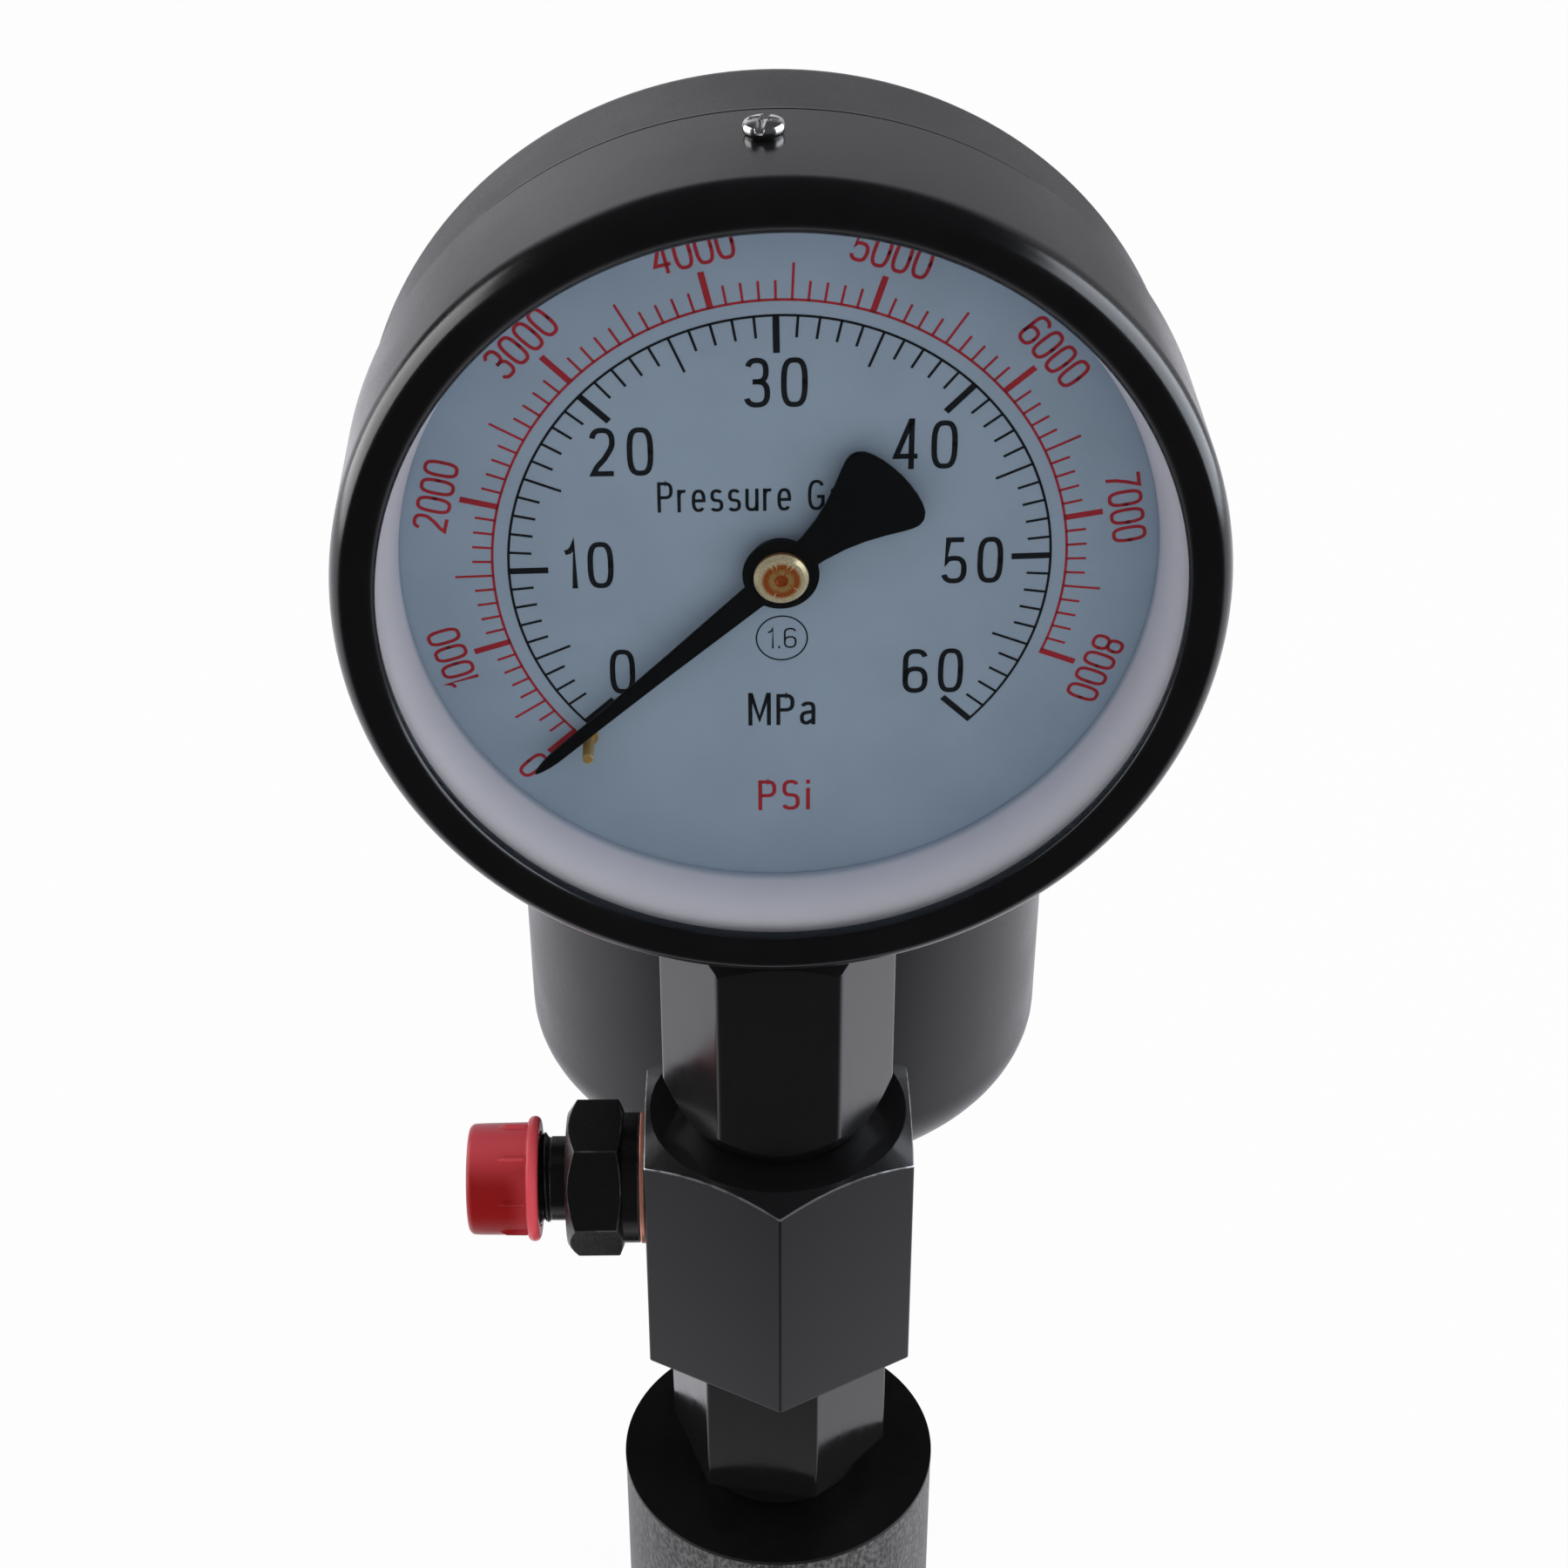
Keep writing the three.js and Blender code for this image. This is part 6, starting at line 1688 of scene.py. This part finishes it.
@dataclass
class Reservoir(Assembly):
    """The fuel reservoir: drawn cup, lid and turned knob."""

    origin: Tone = (0.0, 73.2, 158.0)
    around: int = 160
    cup_radius: float = 44.0
    cup_wall: float = 1.5
    shoulder_wide: float = 26.0
    shoulder_high: float = 17.0
    bead_at: float = 126.5
    bead: float = 1.5
    foot_bore: float = 6.3
    lid_radius: float = 48.3
    lid_low: float = 120.6
    lid_inside: float = 128.1
    lid_top: float = 134.95
    knob_radius: float = 9.0
    knob_low: float = 134.7
    knob_top: float = 148.7

    def put(self, rows: Sequence[Row], soft: float, ring: bool = False, count: int = 0) -> Surface:
        """Turn a profile on the reservoir's own axis."""
        shape = column(circle(count or self.around), rows, soft, 4, ring)
        return shape.placed(self.origin)

    def cup(self) -> Surface:
        """Turn the cup: flat foot, rounded shoulder, plain wall and rolled bead.

        Returns:
            The cup.
        """
        out, wall, foot = self.cup_radius, self.cup_wall, self.foot_bore
        wide, high, bead_out = self.shoulder_wide, self.shoulder_high, self.cup_radius + 1.0
        rows = [
            (foot, wall, 0.1), (foot, 0.0, 0.1), *bow((out - wide, high), (wide, high), -90.0, 0.0, 20),
            (bead_out, self.bead_at - 2.1, 0.4),
            *bow((bead_out, self.bead_at), (self.bead, self.bead), -80.0, 178.0, 12),
            (bead_out - self.bead, self.bead_at - 0.1, 0.0), (out - wall, high, 0.0),
            *bow((out - wide, high), (wide - wall, high - wall), 0.0, -90.0, 20)[1:],
        ]
        return self.put(rows, 0.3, True)

    def lid(self) -> Surface:
        """Turn the lid: rim over the bead, rounded shoulder and low crown.

        Returns:
            The lid.
        """
        out, inside, low, top = self.lid_radius, self.lid_inside, self.lid_low, self.lid_top
        inner = out - self.cup_wall
        rows = [
            (0.0, inside, 0.0), (inner, inside, 0.2), (inner, low, 0.2), (out, low, 0.3),
            (out, inside + self.cup_wall, 1.2), (out - 5.0, inside + 4.0, 2.0),
            (out / 2.0, top - 0.35, 6.0), (5.3, top, 0.3), (0.0, top, 0.0),
        ]
        return self.put(rows, 0.3)

    def knob(self) -> Surface:
        """Turn the knob: narrow waist and full round head.

        Returns:
            The knob.
        """
        out, low, top = self.knob_radius, self.knob_low, self.knob_top
        rows = [
            (0.0, low, 0.0), (out * 0.6, low, 0.3), (out * 0.5, low + 4.9, 2.2), (out, low + 8.4, 1.6),
            (out, top - 2.25, 1.4), (out * 0.75, top, 1.6), (0.0, top, 0.0),
        ]
        return self.put(rows, 0.4, count=72)

    def build(self) -> None:
        """Build the reservoir and dress it."""
        self.settle("cup", self.cup(), "cup_paint", Home("housing", "cup_paint", "reservoir_cup"))
        self.settle("lid", self.lid(), "cup_paint", Home("lid", "cup_paint", "reservoir_lid"))
        self.settle("knob", self.knob(), "knob_black", Home("lid", "knob_black", "lid_knob"))


# Pump housing


def reshape(mesh: bpy.types.Mesh, change: Callable[[np.ndarray], np.ndarray]) -> None:
    """Change the points of a mesh.

    Args:
        mesh: the mesh.
        change: function that turns the old points, in metres, into the new ones.
    """
    points = np.empty(len(mesh.vertices) * 3)
    mesh.vertices.foreach_get("co", points)
    mesh.vertices.foreach_set("co", change(points.reshape(-1, 3)).ravel())
    mesh.update()


def merged_copy(node: str, name: str) -> bpy.types.Mesh:
    """Copy a node's mesh, whose triangles are loose, and join them at their corners.

    The faces stay flat without the normals that came with the loose triangles, which
    would bend the light on a joined mesh.

    Args:
        node: name of the node.
        name: name of the copy.

    Returns:
        The new mesh.
    """
    work = bmesh.new()
    work.from_mesh(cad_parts[node].data)
    bmesh.ops.remove_doubles(work, verts=work.verts, dist=1e-6)
    mesh = bpy.data.meshes.new(name)
    work.to_mesh(mesh)
    work.free()
    mesh.attributes.remove(mesh.attributes["custom_normal"])
    mesh.polygons.foreach_set("use_smooth", np.zeros(len(mesh.polygons), bool))
    return mesh


def cast_copy(node: str, cell: float, change: Callable | None = None) -> bpy.types.Mesh:
    """Copy a node's mesh and draw it over again as a casting with soft corners.

    The copy is merged, remeshed to small even cells and smoothed a few times, which
    turns its inner corners into fillets.

    Args:
        node: name of the node.
        cell: size of the cells in millimetres.
        change: change made to the copy's points before that, or nothing.

    Returns:
        The new mesh.
    """
    mesh = merged_copy(node, node + "_cast")
    if change is not None:
        reshape(mesh, change)
    holder = linked(node + "_cast", mesh)
    remesh = holder.modifiers.new("cells", "REMESH")
    remesh.mode = "VOXEL"
    remesh.voxel_size = cell * MM
    remesh.use_smooth_shade = True
    relax = holder.modifiers.new("relax", "SMOOTH")
    relax.factor = 0.5
    relax.iterations = 3
    graph = bpy.context.evaluated_depsgraph_get()
    result = bpy.data.meshes.new_from_object(holder.evaluated_get(graph))
    bpy.data.objects.remove(holder)
    bpy.data.meshes.remove(mesh)
    return result


def keep_inside(mesh: bpy.types.Mesh, node: str) -> None:
    """Hold a mesh's points inside the box of the node that it stands for."""
    low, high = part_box(node)
    reshape(mesh, lambda points: np.clip(points, np.array(low), np.array(high)))


@dataclass
class Housing(Assembly):
    """The cast pump housing with its machined top, the lever's pivot pin and its clips."""

    column_radius: float = 25.0
    top: float = 135.0
    ring_high: float = 0.3
    ring_bore: float = 12.4
    cell: float = 1.1
    pivot: Tone = (0.0, 20.0, 34.0)
    pin_half: float = 25.0
    clip_low: float = 22.2
    clip_high: float = 23.2

    def raised(self, points: np.ndarray) -> np.ndarray:
        """Raise the column's top edge, so that the cut through it is crisp.

        Args:
            points: the points of the copy, in metres.

        Returns:
            The points, those near the top higher.
        """
        near = np.hypot(points[:, 0], points[:, 1]) < (self.column_radius + 1.0) * MM
        top = near & (points[:, 2] > (self.top - 15.0) * MM)
        points[top, 2] += 4.0 * MM
        return points

    def casting(self) -> None:
        """Build the casting and cut it level under the machined ring."""
        mesh = cast_copy("pump_housing", self.cell, self.raised)
        work = bmesh.new()
        work.from_mesh(mesh)
        near = [vert for vert in work.verts if vert.co.y < 0.045]
        chosen = set(near)
        edges = [edge for edge in work.edges if edge.verts[0] in chosen and edge.verts[1] in chosen]
        faces = [face for face in work.faces if all(vert in chosen for vert in face.verts)]
        bmesh.ops.bisect_plane(
            work,
            geom=near + edges + faces,
            plane_co=(0.0, 0.0, (self.top - self.ring_high) * MM),
            plane_no=(0.0, 0.0, 1.0),
            clear_outer=True,
        )
        rim = [edge for edge in work.edges if edge.is_boundary]
        bmesh.ops.holes_fill(work, edges=rim, sides=0)
        work.to_mesh(mesh)
        work.free()
        keep_inside(mesh, "pump_housing")
        smoothed(mesh, 50.0)
        self.ride("casting", mesh, "cast_paint", Home("housing", "cast_paint", "pump_housing"))

    def top_ring(self) -> Surface:
        """Turn the machined ring on the column's top.

        Returns:
            The ring.
        """
        out, bore, top, low = self.column_radius, self.ring_bore, self.top, self.top - 0.8
        rows = [(bore, low), (out, low), (out, top, 0.08), (bore, top, 0.3)]
        return column(circle(160), rows, 0.12, 3, True)

    def pin(self) -> Surface:
        """Turn the pivot pin with its grooves and chamfered ends.

        Returns:
            The pin.
        """
        half = [
            (5.0, 22.1), (4.6, 22.15), (4.6, 23.25), (5.0, 23.3), (5.0, self.pin_half - 0.4),
            (4.6, self.pin_half), (0.0, self.pin_half),
        ]
        low = [(radius, -height) for radius, height in half[::-1]]
        return column(circle(48), low + half, 0.1).placed(self.pivot, Along.RIGHT.turn())

    def clip(self, side: int) -> Surface:
        """Bend a retaining ring with a gap for the pliers.

        Args:
            side: 1 for the right end of the pin, -1 for the left.

        Returns:
            The ring, its gap upwards.
        """
        steps = 61
        angle = np.radians(np.linspace(115.0, 425.0, steps))
        low, high = (self.clip_low, self.clip_high) if side > 0 else (-self.clip_high, -self.clip_low)
        eye = 1.0 + 0.12 * np.cos(np.linspace(0.0, FULL_TURN, steps)) ** 8
        inner, outer = np.full(steps, 4.7), 6.2 * eye
        radius = np.stack([inner, inner, outer, outer], axis=1)
        points = np.empty((steps, 4, 3))
        points[..., 0] = np.array([high, low, low, high])
        points[..., 1:] = radius[..., None] * ways(angle)[:, None]
        return woven(points, (False, True), flip=True, capped=True).placed(self.pivot)

    def build(self) -> None:
        """Build the housing and what is fixed in it."""
        self.casting()
        self.settle("top_ring", self.top_ring(), "machined_black", Home("housing", "cast_paint"))
        self.settle("pin", self.pin(), "bright_steel", Home("housing", "bright_steel", "pivot_pin"))
        for name, side in (("right", 1), ("left", -1)):
            home = Home("housing", "spring_steel", f"pivot_clip_{name}")
            self.settle(f"clip_{name}", self.clip(side), "spring_steel", home)


# Lever


@dataclass
class Lever(Assembly):
    """The pump lever: cast arm, straight rod, rubber grip and nose roller."""

    pivot: Tone = (0.0, 20.0, 34.0)
    rod_radius: float = 7.0
    rod_from: float = 34.1
    rod_to: float = 276.0
    grip_from: float = 172.0
    grip_to: float = 288.0
    groove_deep: float = 0.7
    groove_pitch: float = 7.0

    def put(self, shape: Surface) -> Surface:
        """Point a shape's length along the rod, from the pivot."""
        return shape.placed(self.pivot, Along.ROD.turn())

    def rod(self) -> Surface:
        """Turn the straight rod with chamfered ends.

        Returns:
            The rod.
        """
        out, low, high = self.rod_radius, self.rod_from, self.rod_to
        rows = [
            (0.0, low), (out - 0.6, low), (out, low + 0.8), (out, high - 0.8), (out - 0.6, high),
            (0.0, high),
        ]
        return self.put(column(circle(64), rows, 0.2))

    def grip(self) -> Surface:
        """Draw the grip: swelling sleeve with shallow grooves all round.

        Its radius follows a slow swell and falls by a little in each of the evenly
        spaced grooves.

        Returns:
            The grip.
        """
        start, end = self.grip_from, self.grip_to
        height = np.linspace(start + 6.0, end - 7.0, 161)
        swell = 12.75 - 0.5 * np.cos((height - height[0]) / 103.0 * FULL_TURN) * 0.5
        wave = np.cos((height - start - 8.0) / self.groove_pitch * FULL_TURN)
        radius = swell - self.groove_deep * np.clip(wave * 3.0 - 2.0, 0.0, 1.0)
        body = [(float(r), float(h), 0.0) for r, h in zip(radius, height)]
        rows = [
            (7.3, end - 2.0, 0.0), (7.3, start, 0.2), (10.5, start, 0.8), (12.4, start + 5.2, 1.0), *body,
            *bow((7.9, end - 5.0), (5.0, 5.0), 0.0, 90.0, 10), (0.0, end, 0.0), (0.0, end - 2.0, 0.0),
        ]
        return self.put(column(circle(72), rows, 0.2, 2, True))

    def roller(self) -> Surface:
        """Turn the nose roller with crowned edges, in the middle of its node's box.

        Returns:
            The roller.
        """
        rows = [
            (2.8, -3.5), (5.3, -3.5, 0.2), (6.0, -2.7, 0.5), (6.0, 2.7, 0.5), (5.3, 3.5, 0.2), (2.8, 3.5),
        ]
        low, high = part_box("nose_roller")
        middle = (np.array(low) + np.array(high)) / 2.0 / MM
        return column(circle(64), rows, 0.2, 3, True).placed(middle, Along.RIGHT.turn())

    def arm(self) -> None:
        """Build the cast arm from a softened copy of its node."""
        mesh = cast_copy("lever_arm", 0.6)
        keep_inside(mesh, "lever_arm")
        smoothed(mesh)
        self.ride("arm", mesh, "cast_paint", Home("lever", "cast_paint", "lever_arm"))

    def build(self) -> None:
        """Build the lever and dress it."""
        self.arm()
        self.settle("rod", self.rod(), "ground_rod", Home("lever", "bright_steel", "lever_rod"))
        self.settle("grip", self.grip(), "grip_rubber", Home("lever", "grip_rubber", "lever_grip"))
        self.settle("roller", self.roller(), "bright_steel", Home("roller", "bright_steel", "nose_roller"))


# Stage


@dataclass
class Stage:
    """The pale floor, the white surroundings, the lamps and the camera."""

    floor_half: float = 6.0
    ambient: float = 0.62
    front: float = 0.06
    far_left: float = 0.64
    far_right: float = 0.3
    back: float = 0.64
    tint: Colour = (0.94, 0.94, 1.0, 1.0)
    lens: float = 67.73
    eye: Tone = (0.00463, -0.34146, 0.49419)
    eye_tilt: float = 56.163
    eye_turn: float = 0.622

    def floor(self) -> None:
        """Lay the floor, white to the camera but keeping the tester's shadow.

        Polished faces see it white beside and behind the tester, dimmer far away and
        dark in front, where the viewer stands.
        """
        half = self.floor_half
        mesh = bpy.data.meshes.new("floor")
        corners = [(-half, -half, 0.0), (half, -half, 0.0), (half, half, 0.0), (-half, half, 0.0)]
        mesh.from_pydata(corners, [], [(0, 1, 2, 3)])
        sheet = Sheet("floor_white")
        seen, mirrored = sheet.ray("Camera"), sheet.ray("Glossy")
        place = sheet.node("ShaderNodeTexCoord", out="Object")
        behind = sheet.part(place, 1).ramp(-0.24, 0.0)
        right = sheet.part(place, 0).ramp(-0.5, 0.5)
        far = right * (self.far_right - self.far_left) + self.far_left
        reach = sheet.node("ShaderNodeVectorMath", {"operation": "LENGTH"}, {0: place}, "Value")
        near = 1.0 - reach.ramp(0.5, 1.6) * (1.0 - far)
        level = (behind * near * (1.0 - self.front) + self.front).at_least(seen)
        matt = sheet.node("ShaderNodeBsdfDiffuse", None, {"Color": (0.88, 0.88, 0.88, 1.0)})
        colour = sheet.blend(seen, self.tint, WHITE)
        white = sheet.node("ShaderNodeEmission", None, {"Color": colour, "Strength": level})
        share = (seen * 0.95).at_least(mirrored)
        sheet.close(sheet.node("ShaderNodeMixShader", None, {0: share, 1: matt, 2: white}))
        mesh.materials.append(sheet.owner)
        linked("floor", mesh)

    def world(self) -> None:
        """Make the surroundings white to the camera.

        Polished faces see them softly lit behind the tester and dark towards the
        viewer's side.
        """
        world = bpy.data.worlds.new("studio")
        bpy.context.scene.world = world
        sheet = Sheet("studio", world)
        seen, through, mirrored = sheet.ray("Camera"), sheet.ray("Transmission"), sheet.ray("Glossy")
        way = sheet.node("ShaderNodeTexCoord", out="Generated")
        across = sheet.part(way, 0)
        behind = sheet.part(way, 1).ramp(0.0, 0.5)
        low = 1.0 - sheet.part(way, 2).ramp(0.36, 0.6)
        fade = (1.28 - across.ramp(-0.35, 0.6) * 0.78) * across.ramp(-0.62, -0.42)
        dim = behind * low * fade * (self.back - self.front) + self.front
        level = mirrored * dim + (1.0 - mirrored) * self.ambient
        level = level.at_least(seen.at_least(through))
        colour = sheet.blend(mirrored, WHITE, self.tint)
        back = sheet.node("ShaderNodeBackground", None, {"Color": colour, "Strength": level})
        sheet.close(back, "World")

    def lamp(
        self,
        name: str,
        place: Tone,
        target: Tone,
        side: float,
        power: float,
        mirrored: bool = False,
        colour: Tone = (1.0, 1.0, 1.0),
    ) -> None:
        """Hang a softbox.

        Args:
            name: name of the lamp.
            place: where it hangs, in metres.
            target: what it points at, in metres.
            side: length of its sides in metres.
            power: its power in watts.
            mirrored: whether it only shows in polished faces, or else only lights matt ones.
            colour: colour of its light.
        """
        light = bpy.data.lights.new(name, "AREA")
        light.shape = "SQUARE"
        light.size = side
        light.energy = power
        light.color = colour
        holder = linked(name, light)
        holder.location = place
        holder.visible_glossy = mirrored
        holder.visible_diffuse = not mirrored
        way = np.array(target) - np.array(place)
        flat = math.hypot(way[0], way[1])
        holder.rotation_euler = (math.atan2(flat, -way[2]), 0.0, math.atan2(-way[0], way[1]))

    def camera(self) -> None:
        """Set the camera where the photograph was taken from."""
        lens = bpy.data.cameras.new("camera")
        lens.lens = self.lens
        lens.sensor_width = 36.0
        lens.clip_start = 0.01
        holder = linked("camera", lens)
        holder.location = self.eye
        holder.rotation_euler = (math.radians(self.eye_tilt), 0.0, math.radians(self.eye_turn))
        bpy.context.scene.camera = holder

    def build(self) -> None:
        """Build the stage."""
        self.floor()
        self.world()
        middle = (0.0, 0.0, 0.25)
        self.lamp("overhead", (0.0, 0.25, 1.5), middle, 1.1, 4.0)
        self.lamp("front", (0.3, -1.3, 0.8), middle, 1.2, 2.9)
        self.lamp("side_left", (-1.1, -0.7, 0.45), middle, 0.8, 0.7)
        self.lamp("side_right", (1.1, -0.7, 0.45), middle, 0.8, 1.8)
        self.lamp("softbox_left", (-1.15, 0.28, 0.5), (0.0, 0.28, 0.5), 1.15, 13.0, True)
        self.lamp("softbox_right", (1.15, 0.22, 0.55), (0.0, 0.22, 0.55), 1.3, 21.0, True, (0.86, 0.92, 1.0))
        bpy.context.scene.view_settings.view_transform = "Standard"


NODE_FINISHES = {
    "bright_steel": (
        "barrel", "tappet", "spring_plate", "valve_seat", "delivery_valve", "roller_pin", "link", "spindle",
    ),
    "ground_rod": ("plunger",),
    "union_black": ("rod_screw",),
    "copper": ("valve_gasket", "gauge_washer"),
    "brass": (
        "gauge_socket", "bourdon_tube", "tube_tip", "movement_front_plate", "movement_back_plate",
        "movement_pillar_1", "movement_pillar_2", "movement_pillar_3", "sector_gear",
    ),
    "seal_rubber": ("reservoir_seal", "bolt_seal"),
    "nickel": ("reservoir_bolt", "strainer"),
}

SPRINGS = {"plunger_spring": "plunger_group", "valve_spring": "valve"}


def dress_springs(finishes: Finishes) -> None:
    """Swap each spring's node for a merged, flat-shaded copy of it in spring steel.

    Args:
        finishes: the finishes by name.
    """
    for node, moving in SPRINGS.items():
        name = f"coil_{node}"
        home = Home("housing", "spring_steel", node)
        piece = house(name, merged_copy(node, name), home, finishes["spring_steel"])
        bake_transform(piece)


def dress_nodes(finishes: Finishes) -> None:
    """Give the nodes that stay as they are their finishes.

    Args:
        finishes: the finishes by name.
    """
    for finish, nodes in NODE_FINISHES.items():
        for node in nodes:
            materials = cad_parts[node].data.materials
            materials.clear()
            materials.append(finishes[finish])
        LOG.info("%s: %s", finish, ", ".join(nodes))


def main() -> None:
    """Build the whole tester on its frame."""
    logging.basicConfig(level=logging.INFO, format="%(name)s: %(message)s")
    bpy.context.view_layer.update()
    finishes = Finishes()
    stage = Stage()
    stage.camera()
    Gauge(finishes).build()
    Fittings(finishes).build()
    Outlet(finishes).build()
    Reservoir(finishes).build()
    Housing(finishes).build()
    Lever(finishes).build()
    dress_springs(finishes)
    dress_nodes(finishes)
    stage.build()
    bpy.context.view_layer.update()


if __name__ == "__main__":
    main()
